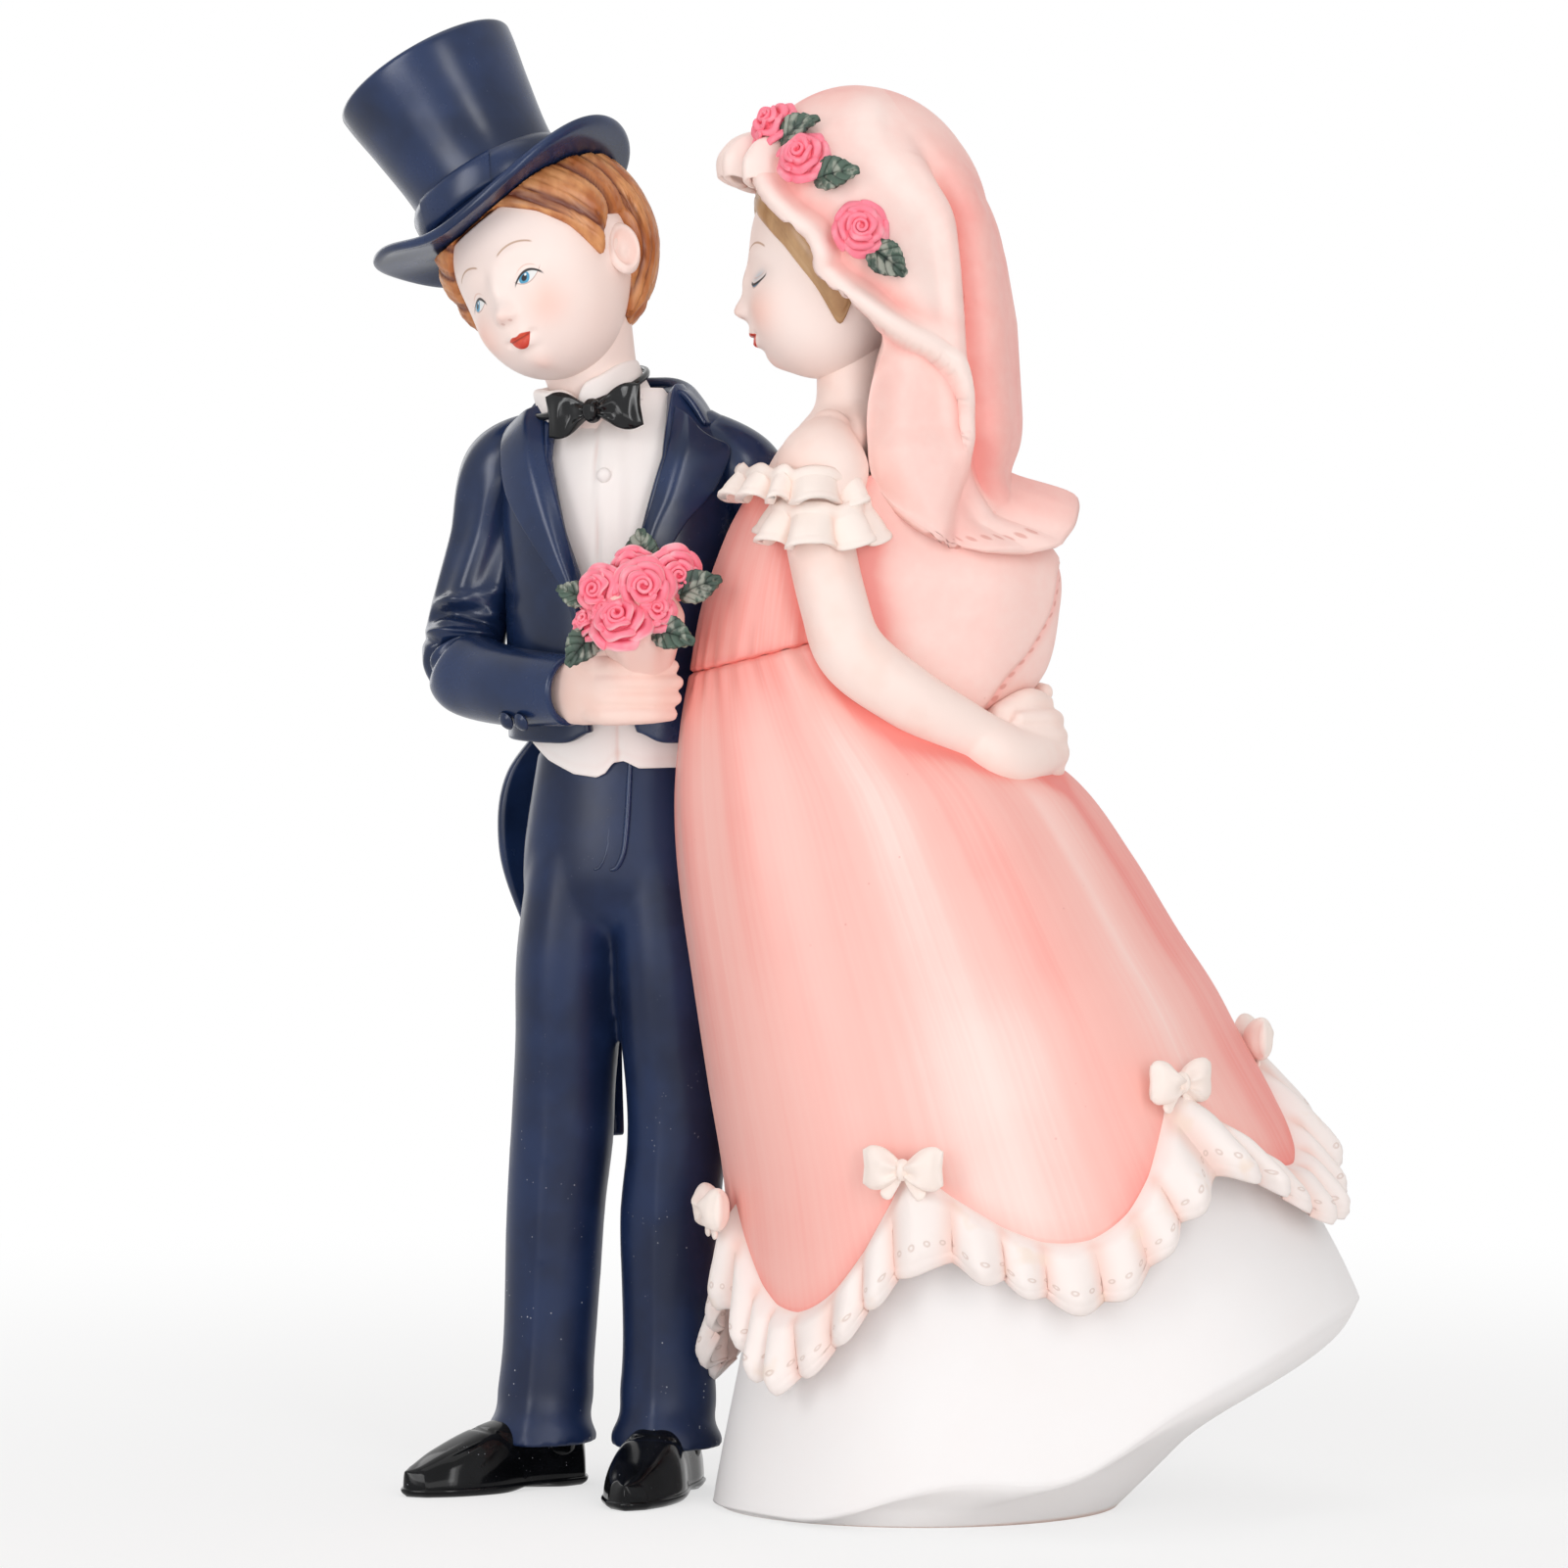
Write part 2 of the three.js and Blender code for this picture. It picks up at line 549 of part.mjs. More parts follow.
// A ribbon bow facing -Y: the outline of two loops and two tails
function ribbonBow(span, thick, grow) {
  const half = [
    [0.06, 0.1],
    [0.3, 0.22],
    [0.5, 0.18],
    [0.5, -0.12],
    [0.3, -0.18],
    [0.14, -0.1],
    [0.32, -0.42],
    [0.16, -0.46],
    [0, -0.14],
  ];
  const outline = [...half, ...half.slice(0, -1).toReversed().map(([x, z]) => [-x, z])];
  const shape = new THREE.Shape(outline.map(([x, z]) => new THREE.Vector2(x * span, z * span)));
  const size = { depth: thick + 2 * grow, bevelEnabled: false };
  return new THREE.ExtrudeGeometry(shape, size).rotateX(Math.PI / 2).translate(0, thick / 2 + grow, 0);
}
for (const k of count(SCALLOPS)) {
  const turn = FIRST_BOW * DEGREE + (2 * Math.PI * k) / SCALLOPS;
  const seat = skirtPoint(turn, BOW_LINE, SEAT + RUFFLE_THICK + SKIRT_BOW_THICK / 2);
  const stand = group(bride, seat.toArray(), 0, 0, turn / DEGREE + 90);
  piece(stand, `girl_skirt_bow_${k + 1}`, WHITE, (grow) => ribbonBow(SKIRT_BOW_SPAN, SKIRT_BOW_THICK, grow));
}

// A gathered frill round an upright axis: its upper edge hugs what it is sewn to, its lower edge stands out and waves
function frill({ wide, deep, flare, drop, waves, depth }, grow) {
  const columns = 3 * waves;
  const rows = 2;
  const face = (out) =>
    count(rows + 1).map((r) =>
      count(columns).map((c) => {
        const turn = (2 * Math.PI * c) / columns;
        const down = r / rows;
        const swell = out + flare * down ** 1.5 + depth * down * Math.cos(waves * turn);
        const height = grow - (drop + 2 * grow) * down + 0.6 * depth * down * Math.sin(waves * turn);
        return V((wide + swell) * Math.cos(turn), (deep + swell) * Math.sin(turn), height);
      }),
    );
  return slab(face(FRILL_THICK + grow), face(-grow), true);
}
const NECKLINE = { wide: 6.9, deep: 12.6, flare: 1.4, drop: 3.4, waves: 2 * FRILL_WAVES, depth: 0.8 };
const neckline = group(bride, [-11, 0, GOWN_TOP + 1.4], 0, 3);
piece(neckline, "girl_neckline_frill", WHITE, (grow) => frill(NECKLINE, grow));
const SLEEVE_FRILL = {
  wide: ARM_RADIUS + 0.2,
  deep: ARM_RADIUS + 0.2,
  flare: 2.6,
  drop: 4,
  waves: FRILL_WAVES,
  depth: 0.8,
};
for (const [name, side] of [["girl_sleeve_frill_left", 1], ["girl_sleeve_frill_right", -1]]) {
  const arm = group(bride, [-9.9, -side * 9.4, GOWN_TOP - 1.4], side * 8);
  piece(arm, name, WHITE, (grow) => frill(SLEEVE_FRILL, grow));
}

// The veil: a hood over the hair that opens round the face and falls behind the shoulders, and a longer train under it

// Height of the hood's edge at a turn from the back of the head, 0 to 1: the hem, then the opening round the face
const hoodEdge = (t) => {
  const face = [-12.7, -9.2, -3.2, 1.8, 5.8, 9.3, 10.8].map((rise) => GIRL_HEAD_AT[2] + rise);
  return curve([VEIL_HEM, VEIL_HEM, VEIL_HEM + 1, ...face], t);
};
function hood(grow) {
  const columns = 24;
  const rows = 7;
  const middle = GIRL_HEAD_AT[2];
  const face = (out) =>
    count(rows + 1).map((r) =>
      count(columns).map((c) => {
        const turn = (2 * Math.PI * c) / columns;
        const back = mirrored(turn);
        const edge = hoodEdge(back) - 2 * grow;
        const reach = (Math.cos(turn) > 0 ? VEIL_BACK : VEIL_FRONT) + out;
        const total = VEIL_TOP + out;
        const low = Math.max(edge, middle) - middle;
        const dome = Math.acos(Math.min(low / total, 1));
        const hang = Math.max(middle - edge, 0);
        const walked = (r / rows) * (dome * total + hang) + 0.6 * (1 - r / rows);
        const bend = Math.min(walked / total, dome);
        const fallen = Math.max(walked - dome * total, 0);
        const drop = fallen / (middle - VEIL_HEM);
        const flare = 6.2 * ease(drop, 0.7, 0.88) * (1 - ease(back, 0, 0.4));
        const frill = 2.6 * ease(r / rows, 0.8, 1) * ease(back, 0.75, 0.95);
        const fold = 0.9 * ease(walked, 14, 34) * Math.cos(7 * turn) + flare + frill;
        const spread = turn + 0.25 * drop * Math.sin(turn);
        return V(
          (reach * Math.sin(bend) + fold) * Math.cos(spread),
          (VEIL_SIDE + out) * Math.sin(bend) * Math.sin(spread) * (1 + 0.15 * drop) + fold * Math.sin(spread),
          middle + total * Math.cos(bend) - fallen,
        );
      }),
    );
  return slab(face(VEIL_THICK + grow), face(-grow), true).translate(GIRL_HEAD_AT[0] + 1.2, 0, 0);
}
piece(bride, "girl_veil_hood", PALE_PINK, hood);

function train(grow) {
  const columns = 12;
  const rows = 7;
  const face = (out) =>
    count(rows + 1).map((r) =>
      count(columns + 1).map((c) => {
        const turn = mix(-84, 84, c / columns) * DEGREE;
        const down = r / rows;
        const reach = curve([10.5, 12, 12.6, 17.2, 19.2, 19.2, 18.2, 14.4], down) + 0.7 * down * Math.cos(6 * turn) + out;
        const side = curve([7.6, 9.2, 10.2, 10.6, 10.4, 9.6], down) + out;
        const hem = VEIL_HEM - TRAIN_DROP + 5 * Math.sin(turn) ** 2;
        return V(-4 + reach * Math.cos(turn), side * Math.sin(turn), mix(VEIL_HEM + TRAIN_TUCK, hem, down));
      }),
    );
  return slab(face(VEIL_THICK + grow), face(-grow));
}
piece(bride, "girl_veil_train", PALE_PINK, train);

// Flowers and leaves

// A rose: a bud whose petals wind out from its middle, facing -Y
function rose(radius, grow) {
  const reach = (way) => {
    const open = Math.acos(THREE.MathUtils.clamp(-way.y, -1, 1));
    const wind = Math.atan2(way.z, way.x);
    return radius * (0.86 + 0.14 * Math.cos(3 * wind + 5 * open) * Math.sin(open) ** 2 - 0.12 * ease(open, 2, 3));
  };
  return lump((way) => reach(V(way.x, -way.z, way.y)), grow, 9, 6).rotateX(Math.PI / 2);
}

// A leaf: a pointed blade folded along its rib, lying in XZ with its stalk at the middle and its tip along +Z
function leaf(length, grow) {
  const rows = 4;
  const face = (out) =>
    count(rows + 1).map((r) => {
      const t = r / rows;
      const half = length * 0.36 * Math.sin(Math.PI * mix(0.12, 0.94, t) ** 0.8) + grow;
      const arch = 0.12 * length * Math.sin(Math.PI * t);
      return [-1, 0, 1].map((s) => V(s * half, -arch + Math.abs(s) * half * -0.25 + out, length * t - grow * (r ? -1 : 1)));
    });
  return slab(face(-0.5 - grow), face(0.5 + grow));
}

const flower = (parent, name, at, pitch, yaw, radius) =>
  piece(group(parent, at, pitch, 0, yaw), name, ROSE, (grow) => rose(radius, grow));
const foliage = (parent, name, at, pitch, roll, yaw, length) =>
  piece(group(parent, at, pitch, roll, yaw), name, LEAF, (grow) => leaf(length, grow));

// Three roses sit on the veil's near side, from the forehead to the ear, each with its leaf
const VEIL_FLOWERS = [
  { rise: 44, turn: -41 },
  { rise: 30, turn: -67 },
  { rise: 8, turn: -92 },
];
VEIL_FLOWERS.forEach(({ rise, turn }, i) => {
  const way = V(-Math.cos(turn * DEGREE) * Math.cos(rise * DEGREE), Math.sin(turn * DEGREE) * Math.cos(rise * DEGREE), 0);
  const seat = (rise2, out) => [
    GIRL_HEAD_AT[0] + 1.2 + way.x * (VEIL_FRONT + out),
    way.y * (VEIL_SIDE + out),
    GIRL_HEAD_AT[2] + Math.sin(rise2 * DEGREE) * (VEIL_TOP + out),
  ];
  const out = VEIL_THICK + VEIL_ROSE * 0.5;
  const facing = Math.atan2(way.x, -way.y) / DEGREE;
  flower(bride, `girl_veil_rose_${i + 1}`, seat(rise, out), -rise * 0.7, -facing, VEIL_ROSE);
  const beside = seat(rise - 4, VEIL_THICK + GLUE_GAP + 0.6);
  foliage(bride, `girl_veil_leaf_${i + 1}`, beside, -rise * 0.6, 118, -facing, VEIL_LEAF + VEIL_ROSE);
});

// The boy: hat, head and hair. The hat is glued to the flat top of the head.

const boyHead = group(groom, HEAD_AT, HEAD_PITCH, HEAD_ROLL, HEAD_YAW);
const toHead = new THREE.Matrix4()
  .compose(boyHead.position, new THREE.Quaternion().setFromEuler(boyHead.rotation), V(1, 1, 1))
  .invert();
const NECK_BASE = [-1.4, 0.4, NECK - 5];
const neckLine = V(Math.sin(NECK_TILT * DEGREE), 0, Math.cos(NECK_TILT * DEGREE));
const neckPoint = (rise) => V(...NECK_BASE).addScaledVector(neckLine, rise);

const hatSeat = V(0, 0, HAT_SEAT).applyEuler(boyHead.rotation).add(boyHead.position);
const hat = group(groom, hatSeat.toArray(), HAT_PITCH, HAT_ROLL, HEAD_YAW);

// The brim is a disc that dips before and behind and curls up at the sides
function brim(grow) {
  const ring = (out, lift) =>
    count(1.5 * ROUND).map((i) => {
      const turn = (2 * Math.PI * i) / (1.5 * ROUND);
      const radius = (BRIM_RADIUS + grow) * out;
      const curl = BRIM_CURL * out ** 2 * Math.cos(2 * turn);
      return V(radius * Math.cos(turn), 0.94 * radius * Math.sin(turn), curl + lift);
    });
  const lift = BRIM_THICK / 2 + grow;
  return skin([ring(0.45, lift), ring(0.75, lift), ring(1, lift), ring(1, -lift), ring(0.75, -lift), ring(0.45, -lift)]);
}
piece(hat, "hat_brim", NAVY, brim);
const CROWN_FOOT = BRIM_THICK / 2 + GLUE_GAP;
const crownRadius = (t) => curve([CROWN_BASE, CROWN_BASE + 0.1, mix(CROWN_BASE, CROWN_TOP, 0.55), CROWN_TOP], t);
piece(hat, "hat_band", NAVY, (grow) =>
  turned([
    [CROWN_BASE + SEAT - grow, CROWN_FOOT - grow],
    [CROWN_BASE + SEAT + BAND_THICK + grow, CROWN_FOOT - grow],
    [CROWN_BASE + SEAT + BAND_THICK + grow, CROWN_FOOT + BAND_HEIGHT + grow],
    [CROWN_BASE + SEAT - grow, CROWN_FOOT + BAND_HEIGHT + grow],
  ]),
);
piece(hat, "hat_crown", NAVY, (grow) => {
  const side = count(5).map((i) => [crownRadius(i / 4) + grow, CROWN_FOOT - grow + (CROWN_HEIGHT - 1 + grow) * (i / 4)]);
  const top = CROWN_FOOT + CROWN_HEIGHT + grow;
  return turned([[0, top], [CROWN_TOP - 0.8 + grow, top], ...side.toReversed(), [0, CROWN_FOOT - grow]]);
});

piece(boyHead, "boy_head", SKIN, (grow) => {
  const path = [neckPoint(0), neckPoint(4), neckPoint(8), neckPoint(12.5)];
  const throat = path.map((p) => p.applyMatrix4(toHead).toArray());
  const neck = limb(throat, [NECK_RADIUS - 0.4, NECK_RADIUS, NECK_RADIUS, NECK_RADIUS + 0.4], grow, { up: V(0, 1, 0) });
  return join(lump(headReach, grow), earAt(1, grow), earAt(-1, grow), neck);
});
const boyHairline = (turn) => curve([44, 34, 20, -8, -34, -46, -48], mirrored(turn));
piece(boyHead, "boy_hair", AUBURN, (grow) => hairCap(boyHairline, grow));

// Collar and bow tie, on the tilted neck

const COLLAR_RISE = 4.4;
const collarGroup = group(groom, neckPoint(COLLAR_RISE).toArray(), 0, NECK_TILT, GROOM_TURN);
piece(collarGroup, "boy_collar", WHITE, (grow) => {
  const inner = NECK_RADIUS + SEAT - grow;
  const outer = NECK_RADIUS + SEAT + COLLAR_WALL + grow;
  const rise = COLLAR_HEIGHT / 2 + grow;
  const ring = turned([
    [inner, -rise],
    [outer + 0.5, -rise],
    [outer, rise],
    [inner, rise],
  ]);
  const notch = new THREE.CylinderGeometry(1.6, 0.1, COLLAR_HEIGHT, 3).rotateX(Math.PI / 2).rotateY(Math.PI / 2);
  notch.rotateY(-Math.PI / 2).scale(1, 3, 1);
  return grow ? ring : cut(ring, notch.translate(0, -outer, COLLAR_HEIGHT / 2));
});
const tieReach = NECK_RADIUS + COLLAR_WALL + 1.9;
const tie = group(collarGroup, [0, -tieReach, -COLLAR_HEIGHT / 2], 0, 10);
piece(tie, "boy_bow_tie", BLACK, (grow) => {
  const wing = (side) => {
    const reach = BOW_TIE_SPAN / 2;
    const path = [[side * 0.4, 0, 0], [side * reach * 0.55, -0.5, 0], [side * reach, 0.2, 0]];
    const radii = [BOW_TIE_HEIGHT * 0.22, BOW_TIE_HEIGHT * 0.4, BOW_TIE_HEIGHT * 0.5];
    return limb(path, radii, grow, { sides: 8, flat: 0.45, up: V(0, 0, 1) });
  };
  return join(wing(1), wing(-1), lump(() => BOW_TIE_HEIGHT * 0.26, grow, 8, 6));
});

// The boy's feet and legs

// A shoe: a sole flat on the floor, an upper that tapers to the toe, and a post that plugs into the trouser leg
function shoe(grow) {
  const length = SHOE_TOE + SHOE_HEEL;
  const rows = 7;
  const rings = count(rows + 1).map((i) => {
    const t = i / rows;
    const half = SHOE_WIDTH * curve([0.62, 0.86, 0.86, 1, 0.86, 0.3], t) + grow;
    const high = SHOE_HEIGHT * curve([0.86, 1, 1, 0.72, 0.52, 0.26], t) + grow;
    const y = SHOE_HEEL - length * t + grow * (t < 0.5 ? 1 : -1);
    return count(14).map((k) => {
      const turn = (2 * Math.PI * k) / 14;
      const rise = Math.sin(turn) > 0 ? high * Math.sin(turn) ** 0.8 : 0;
      return V(half * Math.sign(Math.cos(turn)) * Math.abs(Math.cos(turn)) ** 0.6, y, Math.max(rise, -grow));
    });
  });
  const upper = skin(rings.map((ring) => ring.filter((_, k) => k <= 7)));
  const post = limb([[0, 0, SHOE_HEIGHT - 2], [0, 0, ANKLE - 2]], [ANKLE_POST, ANKLE_POST - 0.4], grow, { up: V(0, 1, 0), steps: 2 });
  return join(upper, post);
}
const FEET = [
  { name: "boy_shoe_right", x: -STANCE_RIGHT, turn: SHOE_TURN_RIGHT },
  { name: "boy_shoe_left", x: STANCE_LEFT, turn: SHOE_TURN_LEFT },
];
for (const { name, x, turn } of FEET) {
  piece(group(body, [x, 0], 0, 0, turn), name, BLACK, shoe);
}

piece(body, "boy_trousers", NAVY, (grow) => {
  const leg = (ankle) => {
    const side = Math.sign(ankle);
    return stack(
      [
        { z: HEM, x: ankle + side * 0.2, y: -1.2, wide: TROUSER_WIDTH + 0.2, deep: 5.9 },
        { z: HEM + 4, x: ankle, y: -0.4, wide: TROUSER_WIDTH - 0.3, deep: 5.2 },
        { z: ANKLE + 3, x: mix(ankle, side * 6, 0.2), wide: TROUSER_WIDTH - 0.4, deep: 5 },
        { z: KNEE, x: mix(ankle, side * 6, 0.5), wide: TROUSER_WIDTH, deep: 5.3 },
        { z: mix(KNEE, CROTCH, 0.6), x: side * 6.2, wide: TROUSER_WIDTH + 0.3, deep: 5.8 },
        { z: CROTCH, x: side * 5.8, wide: TROUSER_WIDTH + 0.7, deep: 6.6 },
        { z: CROTCH + 9, x: side * 4.6, wide: TROUSER_WIDTH - 0.4, deep: 6 },
      ],
      grow,
      6,
      10,
    );
  };
  const seat = stack(
    [
      { z: CROTCH - 0.6, wide: 3, deep: 3 },
      { z: mix(CROTCH, HIP, 0.45), wide: HIP_WIDTH, deep: 7.5 },
      { z: HIP, wide: HIP_WIDTH - 0.4, deep: 7.6 },
      { z: WAIST - 2, wide: HIP_WIDTH - 2.8, deep: 5.8 },
    ],
    grow,
    4,
    14,
  );
  return join(leg(-STANCE_RIGHT), leg(STANCE_LEFT), seat);
});

// His right hand and the bouquet in it

const CUFF = [-3.4, -12.4, WAIST + 6];
const GRIP = [7, -13.4, WAIST + 6.2]; // where the wrap passes through the fist
const FLOWERS = [7.6, -19, WAIST + 16]; // middle of the bunch

piece(body, "bouquet_wrap", PALE_PINK, (grow) => {
  const along = (t) => GRIP.map((g, i) => mix(g, FLOWERS[i], t));
  const path = [along(-0.55), along(0), along(0.45), along(0.8), along(1.05)];
  return limb(path, [WRAP_GRIP - 0.3, WRAP_GRIP, WRAP_GRIP + 1.4, WRAP_TOP - 1, WRAP_TOP - 2.4], grow, { up: V(1, 0, 0) });
});

// A closed hand: a palm and four fingers that curl round the wrap
function fist(from, knuckles, tips, grow) {
  const middle = from.map((f, i) => mix(f, knuckles[i], 0.55));
  const palm = limb([from, middle, knuckles], [WRIST_RADIUS, 3.9, 3.5], grow, { sides: 8, flat: 0.62 });
  const fingers = count(4).map((i) => {
    const lift = 2.7 - 1.8 * i;
    const bent = knuckles.map((k, axis) => mix(k, tips[axis], 0.6));
    const path = [knuckles, [bent[0], bent[1] - 1.4, bent[2]], tips].map(([x, y, z]) => [x, y, z + lift]);
    return limb(path, [1.5, 1.3, 1], grow, { sides: 5, steps: 3 });
  });
  return join(palm, ...fingers);
}
const HAND_START = [CUFF[0] - 2.6, CUFF[1] + 1.8, CUFF[2] + 0.1];
const KNUCKLES = [GRIP[0] - 3.4, GRIP[1] - 2.4, GRIP[2] - 0.2];
const FINGERTIPS = [GRIP[0] + 3.6, GRIP[1] - 0.4, GRIP[2] - 0.2];
piece(body, "boy_hand_right", SKIN, (grow) => fist(HAND_START, KNUCKLES, FINGERTIPS, grow));

const bunch = group(body, FLOWERS, -18, 0, -GROOM_TURN - 6);
const BUNCH_ROSES = [
  [1, -3.2, 1.8],
  [-1.4, -3.6, -3.4],
  [-4.4, -1.6, 1.6],
  [4.4, -1, 5],
];
BUNCH_ROSES.forEach((at, i) => flower(bunch, `bouquet_rose_${i + 1}`, at, 0, at[0] * 7, BOUQUET_ROSE - 0.15 * i));
const BUNCH_LEAVES = [
  { at: [0.4, 0.2, 5], roll: -8 },
  { at: [5.6, -1, 1.6], roll: 68 },
  { at: [2.4, -1.8, -3.2], roll: 105 },
  { at: [-5, -0.4, -3.4], roll: 215 },
];
BUNCH_LEAVES.forEach(({ at, roll }, i) => foliage(bunch, `bouquet_leaf_${i + 1}`, at, 0, roll, 0, BOUQUET_LEAF));

// Shirt, waistcoat and tailcoat

const TORSO = [
  { z: WAIST + 0.6, wide: CHEST_WIDTH - 0.5, deep: CHEST_DEPTH - 0.4 },
  { z: WAIST + 8, wide: CHEST_WIDTH - 0.4, deep: CHEST_DEPTH - 0.2 },
  { z: CHEST, wide: CHEST_WIDTH, deep: CHEST_DEPTH },
  { z: SHOULDER - 5, wide: CHEST_WIDTH + 0.5, deep: CHEST_DEPTH - 0.4 },
  { z: SHOULDER, wide: CHEST_WIDTH, deep: CHEST_DEPTH - 1.6 },
  { z: SHOULDER + 4, wide: CHEST_WIDTH - 3.4, deep: CHEST_DEPTH - 3.4 },
  { z: NECK, wide: NECK_OPENING, deep: CHEST_DEPTH - 4.2 },
];
const TORSO_LAST = TORSO.length - 1;
const torsoSize = (key, t) => curve(TORSO.map((s) => s[key]), t);
const inset = (by) => TORSO.map((s) => ({ ...s, wide: s.wide - by, deep: s.deep - by }));

piece(body, "boy_shirt", WHITE, (grow) => stack(inset(COAT_WALL + SEAT).slice(1), grow, 7, 14));
piece(group(body, [0, 0.4 - CHEST_DEPTH + COAT_WALL, SHOULDER - 4]), "boy_shirt_stud", WHITE, (grow) =>
  lump(() => STUD_RADIUS, grow, 8, 5).scale(1, 0.6, 1),
);

// The waistcoat shows below the coat: it dips to two points in front and rises to the sides
piece(body, "boy_waistcoat", WHITE, (grow) => {
  const rows = 2;
  const top = WAIST + 6.5;
  const rings = count(rows + 1).map((r) => {
    const level = mix(WAIST, top, r / rows);
    return count(2 * ROUND).map((i) => {
      const turn = (Math.PI * i) / ROUND;
      const front = Math.max(-Math.sin(turn), 0);
      const dip = 4.2 * front ** 2 - 2 * Math.max(1 - Math.abs(Math.cos(turn)) * 5, 0) * front;
      const low = r ? 0 : dip + grow;
      const wide = CHEST_WIDTH - 0.7 - COAT_WALL - SEAT + grow;
      return V(wide * Math.cos(turn), (CHEST_DEPTH - 0.6 - COAT_WALL - SEAT + grow) * Math.sin(turn), level - low);
    });
  });
  return skin(rings);
});

// The coat's body wraps the shirt from one front edge round the back to the other
const coatOpening = (t) => curve([COAT_OPENING, COAT_OPENING, COAT_OPENING + 0.8, NECK_OPENING - 0.8, NECK_OPENING - 0.2], t);
function coat(grow) {
  const rows = 7;
  const columns = 16;
  const face = (out) =>
    count(rows + 1).map((r) => {
      const t = r / rows;
      const wide = torsoSize("wide", t) + out;
      const gap = Math.asin(Math.min((coatOpening(t) - grow) / wide, 0.96));
      const lift = grow * (r === rows ? 1 : r ? 0 : -1);
      return count(columns + 1).map((c) => {
        const turn = mix(gap, 2 * Math.PI - gap, c / columns);
        return V(wide * Math.sin(turn), -(torsoSize("deep", t) + out) * Math.cos(turn), torsoSize("z", t) + lift);
      });
    });
  return slab(face(grow), face(-COAT_WALL - grow));
}
piece(body, "boy_coat", NAVY, coat);

// A point on the coat's front at a distance from the middle, at t of its height, set out from the cloth
function coatFront(x, t, out) {
  const wide = torsoSize("wide", t);
  const turn = Math.acos(THREE.MathUtils.clamp(x / wide, -1, 1));
  return V((wide + out) * Math.cos(turn), -(torsoSize("deep", t) + out) * Math.sin(turn), torsoSize("z", t));
}

// A lapel lies on the coat beside its opening, widest at the notch
function lapel(side, grow) {
  const rows = 5;
  const low = 1.9 / TORSO_LAST;
  const high = 5.3 / TORSO_LAST;
  const face = (out) =>
    count(rows + 1).map((r) => {
      const t = r / rows;
      const place = mix(low - 0.05 * grow, high + 0.05 * grow, t);
      const from = coatOpening(place);
      const width = LAPEL_WIDTH * curve([0.15, 0.7, 1, 0.96, 0.4], t) + grow;
      return count(3).map((c) => coatFront(side * (from - grow + (width * c) / 2), place, SEAT + out));
    });
  return slab(face(LAPEL_THICK + grow), face(-grow));
}
for (const [name, side] of [["boy_lapel_left", 1], ["boy_lapel_right", -1]]) {
  piece(body, name, NAVY, (grow) => lapel(side, grow));
}

// A coat tail hangs behind each leg, flaring at the hip and narrowing to its end
function tail(side, grow) {
  const rows = 8;
  const face = (out) =>
    count(rows + 1).map((r) => {
      const t = r / rows;
      const edge = TAIL_FLARE * curve([0.82, 0.98, 1, 0.86, 0.62, 0.44, 0.3], t) + grow;
      return count(6).map((c) => {
        const x = mix(0.3 - grow, edge, c / 5);
        const y = (CHEST_DEPTH + 0.3) * Math.sqrt(Math.max(1 - (x / (TAIL_FLARE + 2)) ** 2, 0)) + out;
        return V(side * x, y, WAIST + 0.2 - TAIL_LENGTH * t - grow * (r === rows ? 1 : 0));
      });
    });
  return slab(face(TAIL_THICK + grow), face(-grow));
}
for (const [name, side] of [["boy_coat_tail_left", 1], ["boy_coat_tail_right", -1]]) {
  piece(body, name, NAVY, (grow) => tail(side, grow));
}

// Sleeves: the right one brings his hand forward, the left one goes behind his back
const RIGHT_SLEEVE = [
  [-CHEST_WIDTH + 3.6, 0, SHOULDER + 1.6],
  [-CHEST_WIDTH - 0.4, 0.1, SHOULDER - 2.4],
  [-CHEST_WIDTH - 2, 0.2, CHEST + 3],
  [-CHEST_WIDTH - 4, -1.2, WAIST + 12.4],
  [-CHEST_WIDTH - 3.4, -3.4, WAIST + 8],
  [-10.2, -8.6, WAIST + 6.4],
  CUFF,
];
const LEFT_CUFF = [3.4, 14.2, WAIST + 4];
const LEFT_SLEEVE = [
  [CHEST_WIDTH - 3.6, 0, SHOULDER + 1.6],
  [CHEST_WIDTH + 0.6, 1.4, SHOULDER - 2.8],
  [CHEST_WIDTH + 1.2, 6, CHEST + 4],
  [CHEST_WIDTH, 11.8, WAIST + 15],
  [CHEST_WIDTH - 1.6, 14.6, WAIST + 9.4],
  [8.6, 14.8, WAIST + 5.6],
  LEFT_CUFF,
];
const LEFT_TIPS = [LEFT_CUFF[0] - 9.4, LEFT_CUFF[1] - 1, LEFT_CUFF[2] - 1.4];
piece(body, "boy_hand_left", SKIN, (grow) => {
  const start = [LEFT_CUFF[0] + 3, LEFT_CUFF[1] + 0.3, LEFT_CUFF[2] + 0.6];
  const knuckles = [LEFT_CUFF[0] - 4, LEFT_CUFF[1], LEFT_CUFF[2] - 0.6];
  return fist(start, knuckles, LEFT_TIPS, grow);
});
const SLEEVE_RADII = [SLEEVE_RADIUS - 1.4, SLEEVE_RADIUS + 0.3, SLEEVE_RADIUS, SLEEVE_RADIUS + 0.1, SLEEVE_RADIUS + 0.3, SLEEVE_RADIUS + 0.2, CUFF_RADIUS];
for (const [name, path] of [["boy_sleeve_right", RIGHT_SLEEVE], ["boy_sleeve_left", LEFT_SLEEVE]]) {
  piece(body, name, NAVY, (grow) => limb(path, SLEEVE_RADII, grow, { up: V(0.3, 1, 0.1) }));
}
const button = group(body, [CUFF[0] - 3.4, CUFF[1] - 1.2, CUFF[2] - CUFF_RADIUS - 0.2]);
